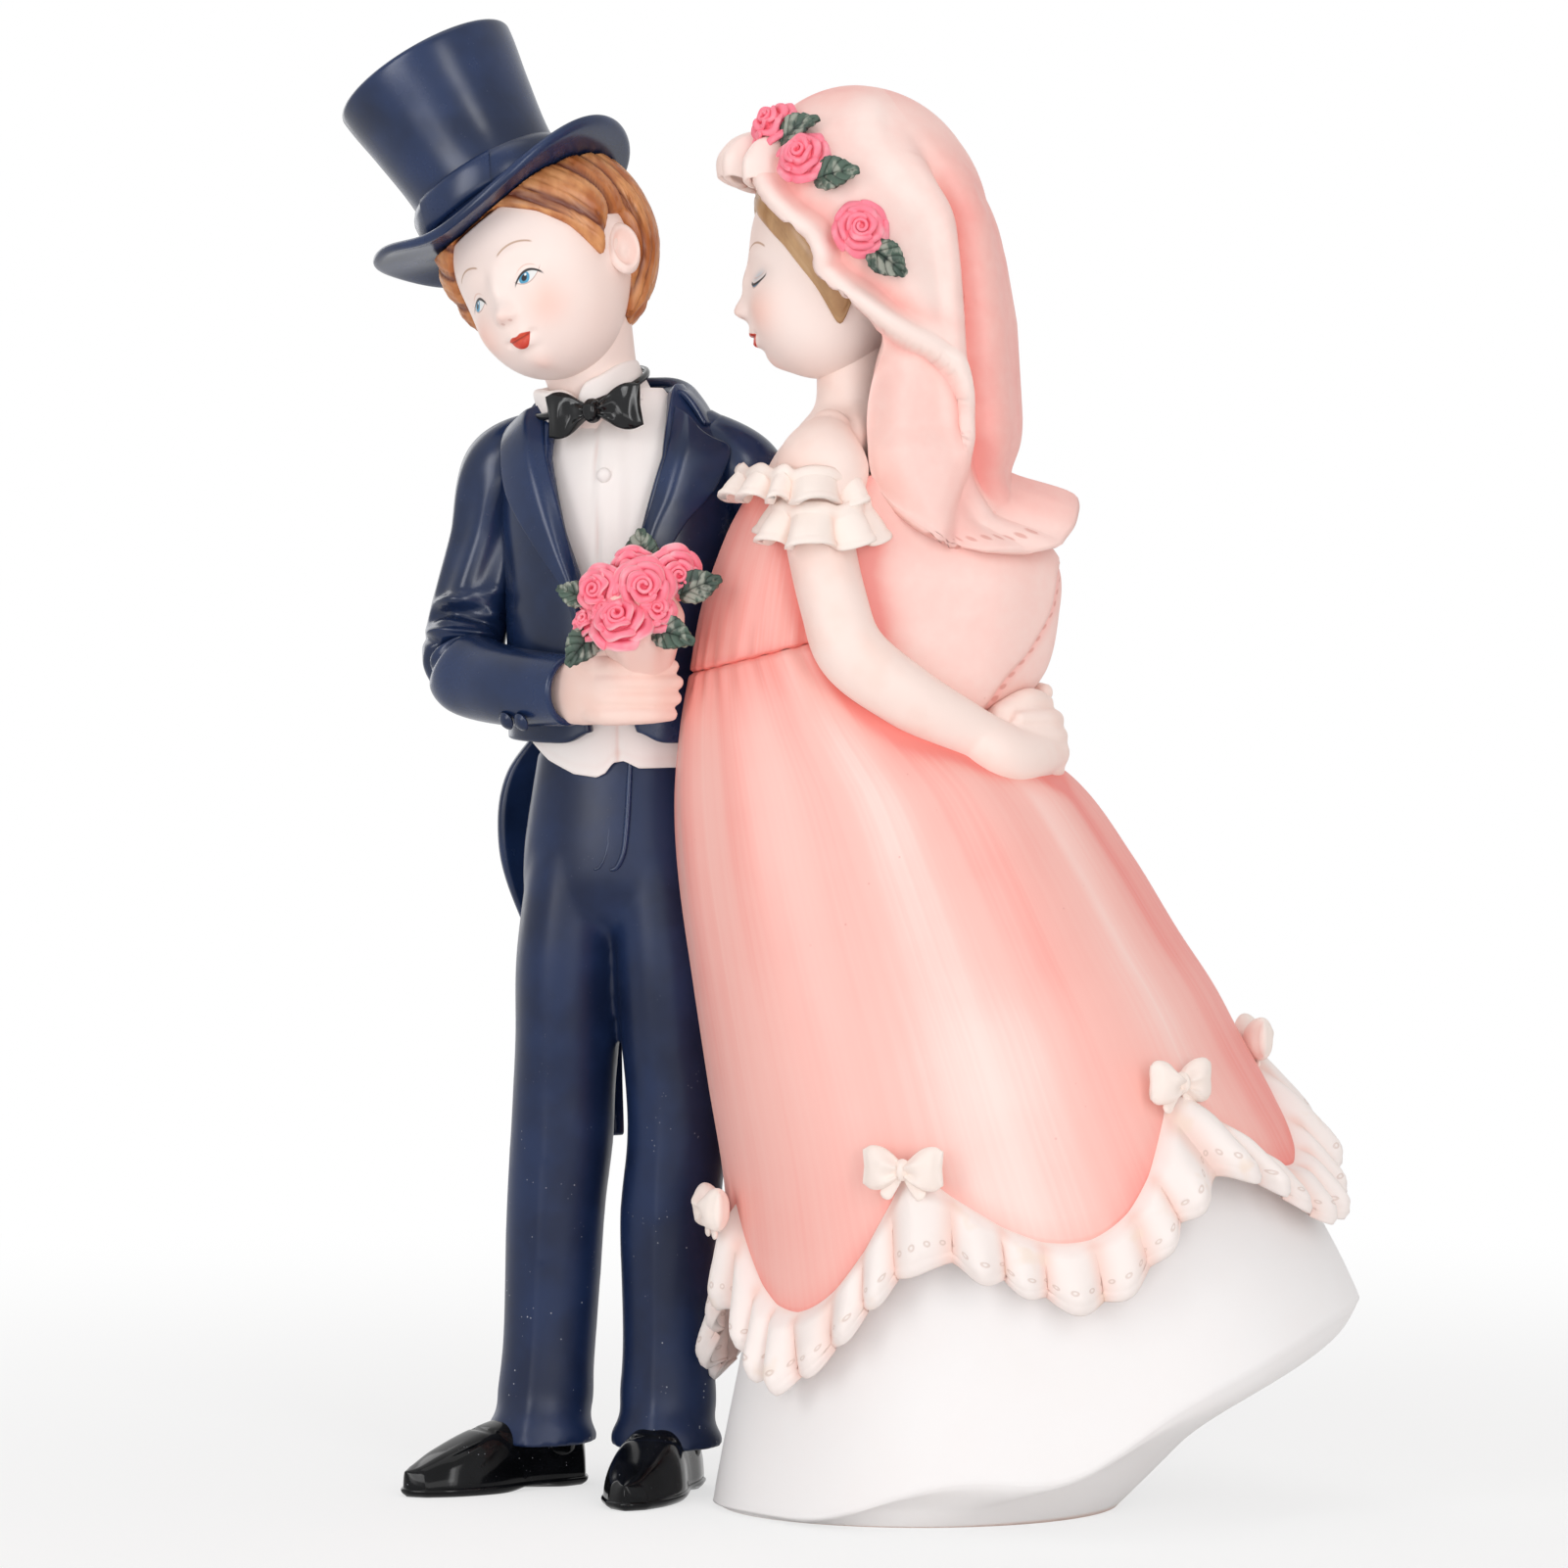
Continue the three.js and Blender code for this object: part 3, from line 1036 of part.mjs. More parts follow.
piece(button, "boy_cuff_button", NAVY, (grow) => lump(() => STUD_RADIUS + 0.1, grow, 8, 5));

// Every piece is cut back by the glue gap from the pieces seated before it

topper.updateMatrixWorld(true);
const seated = [];
for (const { mesh, shape } of pieces) {
  const box = new THREE.Box3().setFromObject(mesh);
  let solid = solidOf(mesh.geometry, mesh.matrixWorld);
  for (const { seat, reach } of seated.filter(({ reach }) => reach.intersectsBox(box))) {
    solid = solid.subtract(seat);
  }
  const largest = solid.decompose().toSorted((a, b) => b.volume() - a.volume())[0];
  mesh.geometry = geometryOf(largest, mesh.matrixWorld.clone().invert());
  seated.push({ seat: solidOf(shape(GLUE_GAP), mesh.matrixWorld), reach: box.clone().expandByScalar(2 * GLUE_GAP) });
}

// The origin is on the floor under the middle of the couple
const middle = new THREE.Box3().setFromObject(topper, true).getCenter(V(0, 0, 0));
for (const figure of [bride, groom]) {
  figure.position.sub(V(middle.x, middle.y, 0));
}

export default topper;
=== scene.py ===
# %% [markdown]
# # A wedding cake topper in painted resin
# The real topper is two small cast figures, a boy in a top hat and a girl in a veil, glued into one
# ornament about 16 cm tall and painted by hand. The solids give every piece its place and size. Here
# each piece is modelled again as a fine surface over the same space, and gets its own paint.

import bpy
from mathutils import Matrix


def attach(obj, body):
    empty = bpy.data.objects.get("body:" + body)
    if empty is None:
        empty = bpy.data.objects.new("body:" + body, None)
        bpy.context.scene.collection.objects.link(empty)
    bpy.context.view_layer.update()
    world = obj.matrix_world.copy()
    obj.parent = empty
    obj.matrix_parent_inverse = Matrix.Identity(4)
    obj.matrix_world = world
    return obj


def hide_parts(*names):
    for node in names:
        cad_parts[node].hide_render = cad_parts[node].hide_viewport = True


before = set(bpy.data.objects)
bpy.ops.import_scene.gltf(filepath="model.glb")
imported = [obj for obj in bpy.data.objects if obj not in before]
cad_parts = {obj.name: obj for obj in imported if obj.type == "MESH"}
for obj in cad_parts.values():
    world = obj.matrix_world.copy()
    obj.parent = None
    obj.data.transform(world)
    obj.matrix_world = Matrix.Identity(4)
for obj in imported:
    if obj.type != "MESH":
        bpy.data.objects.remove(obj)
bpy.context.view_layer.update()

# %% [markdown]
# ## Tools for shapes
# Every surface is a grid of points, worked out as whole numpy arrays in millimetres. One function
# turns grids into faces, and one turns faces into an object that rides on the part. Modifiers could
# do more of the work, but a formula keeps each fold and petal where the next piece expects it.

import bmesh
import bpy
import numpy as np
from mathutils import Vector

MM = 0.001
TURN = 2 * np.pi


def knots(values, t):
    """A smooth curve through evenly spaced values, t from 0 to 1: between two knots it is the cubic
    whose slope at each knot is half the step between that knot's neighbours."""
    v = np.asarray(values, float)
    spot = np.clip(np.asarray(t, float), 0, 1) * (len(v) - 1)
    i = np.minimum(spot.astype(int), len(v) - 2)
    w = spot - i
    w = w[..., None] if v.ndim > 1 else w
    a, b, c, d = (v[np.clip(i + k, 0, len(v) - 1)] for k in (-1, 0, 1, 2))
    return b + 0.5 * w * (c - a + w * (2 * a - 5 * b + 4 * c - d + w * (3 * (b - c) + d - a)))


def ease(x, low, high):
    """0 below low, 1 above high, and 3s^2 - 2s^3 between."""
    s = np.clip((np.asarray(x, float) - low) / (high - low), 0, 1)
    return s * s * (3 - 2 * s)


def bump(x, at, wide):
    """A bell of height 1: e to minus the square of the distance in widths."""
    return np.exp(-(((np.asarray(x, float) - at) / wide) ** 2))


def mix(a, b, t):
    """From a at t = 0 to b at t = 1, in a straight line."""
    return a + (b - a) * t


def vec(*parts):
    """Joins x, y and z arrays into points."""
    return np.stack(np.broadcast_arrays(*parts), -1).astype(float)


def unit(v):
    """The same directions with length 1: each divided by its length."""
    return v / np.linalg.norm(v, axis=-1, keepdims=True)


def grid(rows, cols, loop=True):
    """Row numbers and column numbers from 0 to 1; a loop leaves out the last column, which is the first."""
    v = np.linspace(0, 1, rows)[:, None] + np.zeros((1, cols))
    u = (np.arange(cols) / cols if loop else np.linspace(0, 1, cols))[None, :] + np.zeros((rows, 1))
    return v, u


def turned(pitch=0, roll=0, yaw=0):
    """The turn by yaw about Z, then pitch about X, then roll about Y, in degrees."""
    p, r, y = np.radians([pitch, roll, yaw])
    about_x = np.array([[1, 0, 0], [0, np.cos(p), -np.sin(p)], [0, np.sin(p), np.cos(p)]])
    about_y = np.array([[np.cos(r), 0, np.sin(r)], [0, 1, 0], [-np.sin(r), 0, np.cos(r)]])
    about_z = np.array([[np.cos(y), -np.sin(y), 0], [np.sin(y), np.cos(y), 0], [0, 0, 1]])
    return about_y @ about_x @ about_z


def place(points, at=(0, 0, 0), pitch=0, roll=0, yaw=0):
    """Turns points, then moves them."""
    return points @ turned(pitch, roll, yaw).T + np.asarray(at, float)


print("a curve through 0, 1, 0 is", float(knots([0, 1, 0], 0.5)), "in its middle")

# %% Faces and pieces


def patch(points, loop=True, caps=(), **marks):
    """Four-sided faces over a grid of points. A loop joins the last column to the first, and each row
    in caps, 0 or -1, is closed by a fan to its middle. U runs along the columns and V along the rows,
    from 0 to 1. A mark is a number for each point, which the paint can read."""
    rows, cols = points.shape[:2]
    wide = cols + 1 if loop else cols
    corner = np.arange(rows * cols).reshape(rows, cols)[:, np.arange(wide) % cols]
    u, v = np.meshgrid(np.linspace(0, 1, wide), np.linspace(0, 1, rows))

    def quads(a):
        return np.stack([a[:-1, :-1], a[:-1, 1:], a[1:, 1:], a[1:, :-1]], -1).reshape(-1, 4)

    spots = [points.reshape(-1, 3)]
    faces = [quads(corner)]
    uvs = [np.stack([quads(u), quads(v)], -1).reshape(-1, 2)]
    kept = {name: [np.broadcast_to(m, (rows, cols)).ravel()] for name, m in marks.items()}
    for k, row in enumerate(caps):
        spots.append(points[row].mean(0)[None])
        hub = np.full(wide - 1, rows * cols + k)
        one, two = (slice(1, None), slice(-1)) if row == 0 else (slice(-1), slice(1, None))
        faces.append(np.stack([hub, corner[row][one], corner[row][two]], -1))
        fan = np.stack([(u[row][:-1] + u[row][1:]) / 2, u[row][one], u[row][two]], -1)
        uvs.append(np.stack([fan, np.full_like(fan, v[row][0])], -1).reshape(-1, 2))
        for name, m in marks.items():
            kept[name].append(np.broadcast_to(m, (rows, cols))[row].mean()[None])
    kept = {name: np.concatenate(m) for name, m in kept.items()}
    return {"spots": np.concatenate(spots), "faces": faces, "uvs": np.concatenate(uvs), "marks": kept}


def closed(shapes, stand, **marks):
    """A patch for each grid, carried to where it stands, with both end rows closed by fans."""
    return [patch(place(points, **stand), caps=(0, -1), **marks) for points in shapes]


def build(name, patches, paint, nodes=(), sheet=False):
    """One object from several patches. Points that coincide are welded, and closed shapes get their
    faces turned outwards; a sheet keeps its own direction, because a modifier gives it its thickness."""
    start, faces = 0, []
    for p in patches:
        faces += [f for part in p["faces"] for f in (part + start).tolist()]
        start += len(p["spots"])
    mesh = bpy.data.meshes.new(name)
    mesh.from_pydata((np.concatenate([p["spots"] for p in patches]) * MM).tolist(), [], faces)
    layer = mesh.uv_layers.new(name="map")
    layer.data.foreach_set("uv", np.concatenate([p["uvs"] for p in patches]).ravel().astype(np.float32))
    for mark in sorted({m for p in patches for m in p["marks"]}):
        values = [p["marks"].get(mark, np.zeros(len(p["spots"]))) for p in patches]
        data = mesh.attributes.new(mark, "FLOAT", "POINT").data
        data.foreach_set("value", np.concatenate(values).astype(np.float32))
    work = bmesh.new()
    work.from_mesh(mesh)
    bmesh.ops.remove_doubles(work, verts=work.verts, dist=2e-7)
    if not sheet:
        bmesh.ops.recalc_face_normals(work, faces=work.faces)
    work.to_mesh(mesh)
    work.free()
    mesh.polygons.foreach_set("use_smooth", np.ones(len(mesh.polygons), bool))
    piece = bpy.data.objects.new(name, mesh)
    bpy.context.scene.collection.objects.link(piece)
    mesh.materials.append(paint)
    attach(piece, "root")
    if nodes:
        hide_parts(*nodes)
    print(f"{name}: {len(mesh.polygons)} faces")
    return piece


def thicken(piece, thick, soften=1):
    """Gives a sheet its thickness, half to each side, and rounds its edges."""
    wall = piece.modifiers.new("thickness", "SOLIDIFY")
    wall.thickness, wall.offset = thick * MM, 0
    if soften:
        smooth = piece.modifiers.new("soft edges", "SUBSURF")
        smooth.levels = smooth.render_levels = soften


def fuse(piece, voxel, passes):
    """Runs overlapping limbs into one skin, and smooths where they meet."""
    skin = piece.modifiers.new("one skin", "REMESH")
    skin.mode, skin.voxel_size, skin.use_smooth_shade = "VOXEL", voxel * MM, True
    smooth = piece.modifiers.new("soft joins", "SMOOTH")
    smooth.factor, smooth.iterations = 0.5, passes


print("pieces are made in millimetres and kept in metres")

# %% [markdown]
# ## Turned pieces, limbs and lumps
# A hat is turned on its axis, an arm is a round section carried along a path, and a head is a lump
# seen from its middle. These three cover most of the casting. A button and a knot are balls, one cut
# flat and one pleated, and each comes up more than once.

# %% Ways to carry a profile


def spun(profile, sides=128, deep=1.0):
    """Carries a half profile of radius and height once round the upright axis; deep scales it along Y."""
    radius, height = np.asarray(profile, float).T
    a = np.arange(sides) / sides * TURN
    return vec(radius[:, None] * np.cos(a), deep * radius[:, None] * np.sin(a), height[:, None] + 0 * a)


def limb(path, radii, rows=60, sides=32, up=(0, 0, 1), flat=1.0, swell=None, hollow=0.0):
    """A round section carried along a smooth path, its radius following the knots, with domed ends.
    Its width lies square to up and is scaled by flat. Swell(t, a) adds to the radius at t of the way
    along and angle a round the section. A hollow limb ends in an open rim, sunk by that depth."""
    t = np.linspace(0, 1, rows)
    centre, radius = knots(path, t), knots(radii, t)
    forward = unit(np.gradient(centre, axis=0))
    side = unit(np.cross(forward, np.asarray(up, float)))
    above = np.cross(side, forward)
    dome = np.radians([86, 68, 48, 26])
    first = centre[0] - forward[0] * (radius[0] * 0.8 * np.sin(dome))[:, None]
    last = centre[-1] + forward[-1] * (radius[-1] * 0.8 * np.sin(dome[::-1]))[:, None]
    centre = np.concatenate([first, centre, last])
    shrink = np.concatenate([np.cos(dome), np.ones(rows), np.cos(dome[::-1])])
    if hollow:
        centre[-4:] = centre[-5] + forward[-1] * np.array([0.3, 0.3, -0.4, -hollow])[:, None]
        shrink[-4:] = 1 - np.array([0.2, 0.55, 0.85, 0.95]) / radius[-1]
    pick = np.clip(np.arange(rows + 8) - 4, 0, rows - 1)
    a = np.arange(sides) / sides * TURN
    reach = radius[pick][:, None] + (swell(t[pick][:, None], a[None, :]) if swell else 0 * a)
    reach = reach * shrink[:, None]
    across = flat * np.cos(a)[None, :, None] * side[pick][:, None, :]
    return centre[:, None] + reach[..., None] * (across + np.sin(a)[None, :, None] * above[pick][:, None, :])


def ways(rows, cols):
    """Directions from the middle of a lump, with the angle round from the front and the height angle."""
    v, u = grid(rows, cols)
    rise, round_ = np.pi / 2 - np.pi * mix(0.003, 0.997, v), TURN * (u - 0.5)
    way = vec(np.cos(rise) * np.sin(round_), -np.cos(rise) * np.cos(round_), np.sin(rise))
    return way, round_, rise


def egg(way, centre, radii):
    """Distance from the middle to an egg set off from it: the far root of the quadratic of a ray
    and an ellipsoid."""
    w, c = way / np.asarray(radii, float), np.asarray(centre, float) / np.asarray(radii, float)
    a, b = (w * w).sum(-1), (w * c).sum(-1)
    under = b * b - a * ((c * c).sum() - 1)
    return np.where(under > 0, (b + np.sqrt(np.maximum(under, 0))) / a, 0)


def domed(rows, cols, low, wide, thick, rim=0.0):
    """A button that faces -Y: a ball cut at a low angle and flattened, its rim raised by a bell."""
    v, u = grid(rows, cols)
    rise = np.radians(mix(low, 88, v))
    out = wide * (1 + rim * bump(v, 0.25, 0.1)) * np.cos(rise)
    return vec(out * np.cos(TURN * u), -thick * np.sin(rise), out * np.sin(TURN * u))


def pleated_knot(radii, push, pleats, depth, pole, rows, cols):
    """A ball of three radii, pushed towards -Y, whose section swells by a cosine once for each pleat."""
    v, u = grid(rows, cols)
    a, rise = TURN * u, np.radians(mix(-pole, pole, v))
    swell = np.cos(rise) * (1 + depth * np.cos(pleats * a))
    wide, deep, high = radii
    return vec(wide * swell * np.cos(a), deep * swell * np.sin(a) - push, high * np.sin(rise))


print("a limb has domed ends, so every end is closed")

# %% [markdown]
# ## Paint as expressions
# Most of the colour on the topper is brushed on: a base coat, a thin darker wash that stays in creases,
# streaks of the brush and a few specks of dust. A few marks on the gown, the veil and the roses add
# painted shade and painted highlights. A small class turns sums of masks into shader nodes, so a finish
# reads as it would be described at the painting bench.

# %% One socket as a number


class Tone:
    """One socket of a finish. Arithmetic on it adds Math nodes, and node() adds any other node."""

    def __init__(self, tree, socket=None):
        self.tree, self.socket = tree, socket

    def node(self, kind, settings=None, sockets=None, out=0):
        made = self.tree.nodes.new("ShaderNode" + kind)
        for key, value in (settings or {}).items():
            setattr(made, key, value)
        for key, value in (sockets or {}).items():
            if isinstance(value, Tone):
                self.tree.links.new(value.socket, made.inputs[key])
            else:
                made.inputs[key].default_value = value
        return Tone(self.tree, made.outputs[out])

    def math(self, operation, first, *rest):
        return self.node("Math", {"operation": operation}, dict(enumerate((first, *rest))))

    def __add__(self, other):
        return self.math("ADD", self, other)

    __radd__ = __add__

    def __mul__(self, other):
        return self.math("MULTIPLY", self, other)

    __rmul__ = __mul__

    def __sub__(self, other):
        return self.math("SUBTRACT", self, other)

    def __rsub__(self, other):
        return self.math("SUBTRACT", other, self)

    def __truediv__(self, other):
        return self.math("DIVIDE", self, other)

    def __pow__(self, other):
        return self.math("POWER", self, other)

    def __abs__(self):
        return self.math("ABSOLUTE", self)

    def over(self, low, high):
        """0 below low, 1 above high, smooth between; low may be the larger."""
        spans = dict(enumerate((self, low, high, 0.0, 1.0)))
        return self.node("MapRange", {"interpolation_type": "SMOOTHSTEP"}, spans)

    def bell(self, at, wide):
        """A bell of height 1 round a value."""
        return self.math("EXPONENT", ((self - at) / wide) ** 2 * -1)

    def blend(self, low, high):
        """One colour where this is 0, the other where it is 1."""
        return self.node("Mix", {"data_type": "RGBA"}, {0: self, 6: low, 7: high}, out=2)


def hue(code):
    """A colour written as six hexadecimal digits, made linear."""
    s = np.array([int(code[i : i + 2], 16) for i in (0, 2, 4)]) / 255
    return (*np.where(s <= 0.04045, s / 12.92, ((s + 0.055) / 1.055) ** 2.4), 1.0)


print("pink in linear light:", [round(float(v), 3) for v in hue("f3a6a0")])

# %% A finish and its common marks


class Bench(Tone):
    """Where a finish is mixed: it gives the coordinates and the brush marks that every recipe shares."""

    def where(self, axis=None):
        """The place on the part in metres, or one axis of it."""
        spot = self.node("TexCoord", out="Object")
        return self.node("SeparateXYZ", {}, {0: spot}, out=axis) if axis else spot

    def map(self, axis):
        """The piece's own map: X for U and Y for V."""
        return self.node("SeparateXYZ", {}, {0: self.node("UVMap", {"uv_map": "map"})}, out=axis)

    def mark(self, name):
        """A number that patch was given for each point."""
        return self.node("Attribute", {"attribute_name": name}, out="Fac")

    def cloud(self, scale, detail=2.0, stretch=(1, 1, 1)):
        """Soft noise, scale in blobs to a metre; stretch squeezes it along each axis."""
        spot = self.node("VectorMath", {"operation": "MULTIPLY"}, {0: self.where(), 1: stretch})
        return self.node("TexNoise", {}, {"Vector": spot, "Scale": scale, "Detail": detail})

    def streaks(self, across, along):
        """Brush streaks on the piece's own map: fine across U, long along V."""
        flat = self.node("CombineXYZ", {}, {0: self.map("X") * across, 1: self.map("Y") * along})
        return self.node("TexNoise", {}, {"Vector": flat, "Scale": 1.0, "Detail": 3.0})

    def specks(self, scale, size):
        """Dots of dust: where the nearest of many scattered points is closer than size."""
        near = self.node("TexVoronoi", {}, {"Vector": self.where(), "Scale": scale})
        rare = self.cloud(scale * 0.23, 1.0).over(0.56, 0.66)
        return near.over(size, size * 0.4) * rare


def finish(name, recipe, bumpy=0.15, depth=0.05, **fixed):
    """A painted finish. The recipe returns colour, roughness and relief; what is fixed is the same
    all over."""
    made = bpy.data.materials.new(name)
    made.use_nodes = True
    tree = made.node_tree
    shader = tree.nodes["Principled BSDF"]
    for key, value in fixed.items():
        shader.inputs[key.replace("_", " ")].default_value = value
    colour, rough, relief = recipe(Bench(tree))
    tree.links.new(colour.socket, shader.inputs["Base Color"])
    tree.links.new(rough.socket, shader.inputs["Roughness"])
    made_bump = relief.node("Bump", {}, {"Strength": bumpy, "Distance": depth * MM, "Height": relief})
    tree.links.new(made_bump.socket, shader.inputs["Normal"])
    return made


def navy_recipe(b, dark="152340", light="1e3157", dusty=0.0):
    """Dark blue satin paint, a little uneven, with dust low down where the topper is handled."""
    patchy = b.cloud(120, 3.0)
    fine = b.cloud(900, 2.0)
    colour = patchy.over(0.3, 0.7).blend(hue(dark), hue(light))
    low = b.where("Z").over(0.052, 0.008) * dusty
    dust = b.specks(1500, 0.16) * (low + 0.04)
    colour = dust.blend(colour, hue("c9ccd6"))
    return colour, 0.14 + 0.14 * dusty + 0.16 * patchy + 0.06 * fine + 0.3 * dust, fine + 0.6 * patchy


navy = finish("navy_satin", navy_recipe, 0.12, Specular_IOR_Level=0.36)
navy_dusty = finish("navy_satin_dusty", lambda b: navy_recipe(b, "131f3c", "1b2c50", 1.0), 0.12,
                    Specular_IOR_Level=0.28)
print("mixed", navy.name, "and", navy_dusty.name)

# %% [markdown]
# ## Plain paints
# The black of shoes and tie is gloss, the white of linen and lace is dead matt with a faint warm wash
# in its creases. Both keep a trace of brush and dust, or they would look like plastic.

# %% Black, white, skin


def black_recipe(b):
    """Black gloss, a little uneven, with dust only where it stands on the table."""
    patchy = b.cloud(260, 3.0)
    dust = b.specks(1700, 0.13) * b.where("Z").over(0.012, 0.001) * 0.8
    colour = dust.blend(patchy.over(0.35, 0.7).blend(hue("08090b"), hue("121316")), hue("b9bcc2"))
    return colour, 0.06 + 0.1 * patchy + 0.3 * dust, patchy


def white_recipe(b, wash="f0d3c6", base="f8f6f6"):
    """Matt white: the wash is thin on the open cloth and pools where the mark says there is a crease."""
    grain = b.cloud(1400, 2.0)
    patchy = b.cloud(160, 3.0)
    crease = b.mark("wash").over(0.05, 1.0)
    colour = (0.85 * crease + 0.10 * patchy).blend(hue(base), hue(wash))
    return colour, 0.62 + 0.1 * grain, grain + 0.4 * patchy


def skin_recipe(b, flush):
    """Pale flesh, warmer in cloudy patches and all over by its flush."""
    patchy = b.cloud(190, 2.0)
    grain = b.cloud(1600, 2.0)
    warm = 0.22 * patchy.over(0.4, 0.75) + flush
    colour = warm.blend(hue("fce9e1"), hue("f6c2b0"))
    return colour, 0.5 + 0.1 * grain, grain


black = finish("black_gloss", black_recipe, 0.1, Specular_IOR_Level=0.34)
shoe_black = finish("shoe_black", black_recipe, 0.2, Specular_IOR_Level=0.17)
white = finish("white_matt", white_recipe, 0.1)
linen = finish("linen_matt", lambda b: white_recipe(b, "efd3cb", "fcf5f2"), 0.1)
flushed = finish("flesh_hands", lambda b: skin_recipe(b, 0.36), 0.05)
blushed = finish("flesh_arms", lambda b: skin_recipe(b, 0.12), 0.05)
print("mixed", black.name, white.name, linen.name, flushed.name)

# %% [markdown]
# ## Where the figures stand
# The girl's pieces are measured from a floor point under the skirt, the boy's from a point between
# the feet. The boy's body is turned a little, the head more, and the hat sits tilted on the head.

# %% Frames of the two figures
BRIDE = np.array([5.807, 0, 0])
GROOM = np.array([-25.693, 12, 0])
BODY = {"at": GROOM, "yaw": -15}
BOY_HEAD = {"at": GROOM + [-7.6, -1, 132.1], "pitch": -11, "roll": -22, "yaw": -34}
HAT_SEAT = place(np.array([0, 0, 7.6]), **BOY_HEAD) + [-0.75, 0, 0]
HAT = {"at": HAT_SEAT, "pitch": -12, "roll": -30.5, "yaw": -34}
GIRL_HEAD = {"at": BRIDE + [-7.2, 0, 132.2], "pitch": -6, "yaw": -90}
print("hat seat at", HAT_SEAT.round(1))

# %% [markdown]
# ## The top hat
# A silk hat in miniature: a crown that widens to its flat top, a ribbon band whose end is lapped over
# on one side, and a brim that dips before and behind and rolls up at the sides. Crown and band are
# turned profiles; the brim is one closed profile carried round, lifted twice a turn.

# %% Crown and band
CROWN = {**HAT, "at": HAT_SEAT + [-1.4, 0, 0]}
FOOT, SHOULDER, LIP_ROUND = -0.3, 17.25, 0.6  # heights of the crown's wall, and the radius of its upper edge
t = np.linspace(0, 1, 40)
wall = np.stack([knots([8.4, 8.55, 9.4, 10.35], t), mix(FOOT, SHOULDER, t)], -1)
bend = np.linspace(0, np.pi / 2, 9)[1:]
lip = np.stack([9.75 + LIP_ROUND * np.cos(bend), SHOULDER + LIP_ROUND * np.sin(bend)], -1)
top = np.array([[9.0, 17.86], [7.0, 17.8], [4.0, 17.72], [1.0, 17.7]])
foot = np.array([[1.0, FOOT], [6.0, FOOT]])
crown = spun(np.concatenate([foot, wall, lip, top]), 160)
build("hat_crown_silk", closed([crown], CROWN), navy, ["hat_crown"])

a = np.linspace(0, TURN, 25)
ring = np.stack([8.85 + 0.62 * np.cos(a) ** 3, 1.9 + 2.0 * np.sign(np.sin(a)) * np.abs(np.sin(a)) ** 0.5], -1)
band = spun(ring, 160)
v, u = grid(9, 24, loop=False)
lap_turn = np.radians(mix(-112, -50, u) + 10 * (v - 0.5))
lap_out = 9.43 + 0.26 * np.sin(np.pi * v) ** 0.5
lap_rise = mix(0.3, 3.8, v)
lap = vec(lap_out * np.cos(lap_turn), lap_out * np.sin(lap_turn), lap_rise)
lap_in = lap * [0.95, 0.95, 1]
lap_shell = np.concatenate([lap, lap_in[::-1], lap[:1]])
ribbon = [patch(place(band, **CROWN)), patch(place(lap_shell, **CROWN), loop=False)]
build("hat_band_ribbon", ribbon, navy, ["hat_band"])

# %% Brim
BRIM, THICK = 14.6, 1.1  # radius and thickness
BRIM_DEEP, BRIM_LIFT = 0.94, 1.4  # depth as a share of width, and how far the sides roll up
s = np.linspace(5.0, BRIM - THICK / 2, 26)
edge = np.linspace(np.pi / 2, -np.pi / 2, 11)
upper = np.stack([s, 0 * s + THICK / 2], -1)
round_edge = np.stack([BRIM - THICK / 2 + THICK / 2 * np.cos(edge), THICK / 2 * np.sin(edge)], -1)
under = np.stack([s[::-1], 0 * s - THICK / 2], -1)
brim = spun(np.concatenate([upper, round_edge, under, upper[:1]]), 192, deep=BRIM_DEEP)
reach = np.linalg.norm(brim[..., :2] / [1, BRIM_DEEP], axis=-1) / BRIM
turn = np.arctan2(brim[..., 1] / BRIM_DEEP, brim[..., 0])
brim[..., 2] += BRIM_LIFT * reach**2 * np.cos(2 * turn) + 0.5 * reach**8 * (0.4 + np.cos(turn) ** 4)
turn, outer = np.mod(turn, TURN), ease(reach, 0.6, 1.0)
wing_side = bump(turn, np.radians(205), 0.68) * outer
brim[..., :2] *= (1 + 0.16 * wing_side)[..., None]
dip = bump(turn, np.radians(165), 0.5) * outer
curl = bump(turn, np.radians(234), 0.35) * outer
brim[..., 2] += 1.7 * wing_side - 3.1 * dip + 1.2 * curl
build("hat_brim_rolled", [patch(place(brim, **HAT))], navy, ["hat_brim"])


def under_hat(points, gap):
    """Presses what would come through the brim down to its underside, less a gap."""
    inside = (points - HAT_SEAT) @ turned(HAT["pitch"], HAT["roll"], HAT["yaw"])
    out = np.linalg.norm(inside[..., :2], axis=-1) / BRIM
    roof = BRIM_LIFT * out**2 * np.cos(2 * np.arctan2(inside[..., 1], inside[..., 0])) - THICK / 2 - gap
    inside[..., 2] = np.minimum(inside[..., 2], roof)
    return place(inside, **HAT)


# %% [markdown]
# ## Two painted heads
# Both heads come from one calm doll's pattern on a child's plain proportions: a tall skull, a round
# jaw, low eyes, a button nose and a small mouth. Sculpting by hand would be possible, but a sum of
# eggs and bells gives the same head twice, and the paint can use the same two angles as the relief.

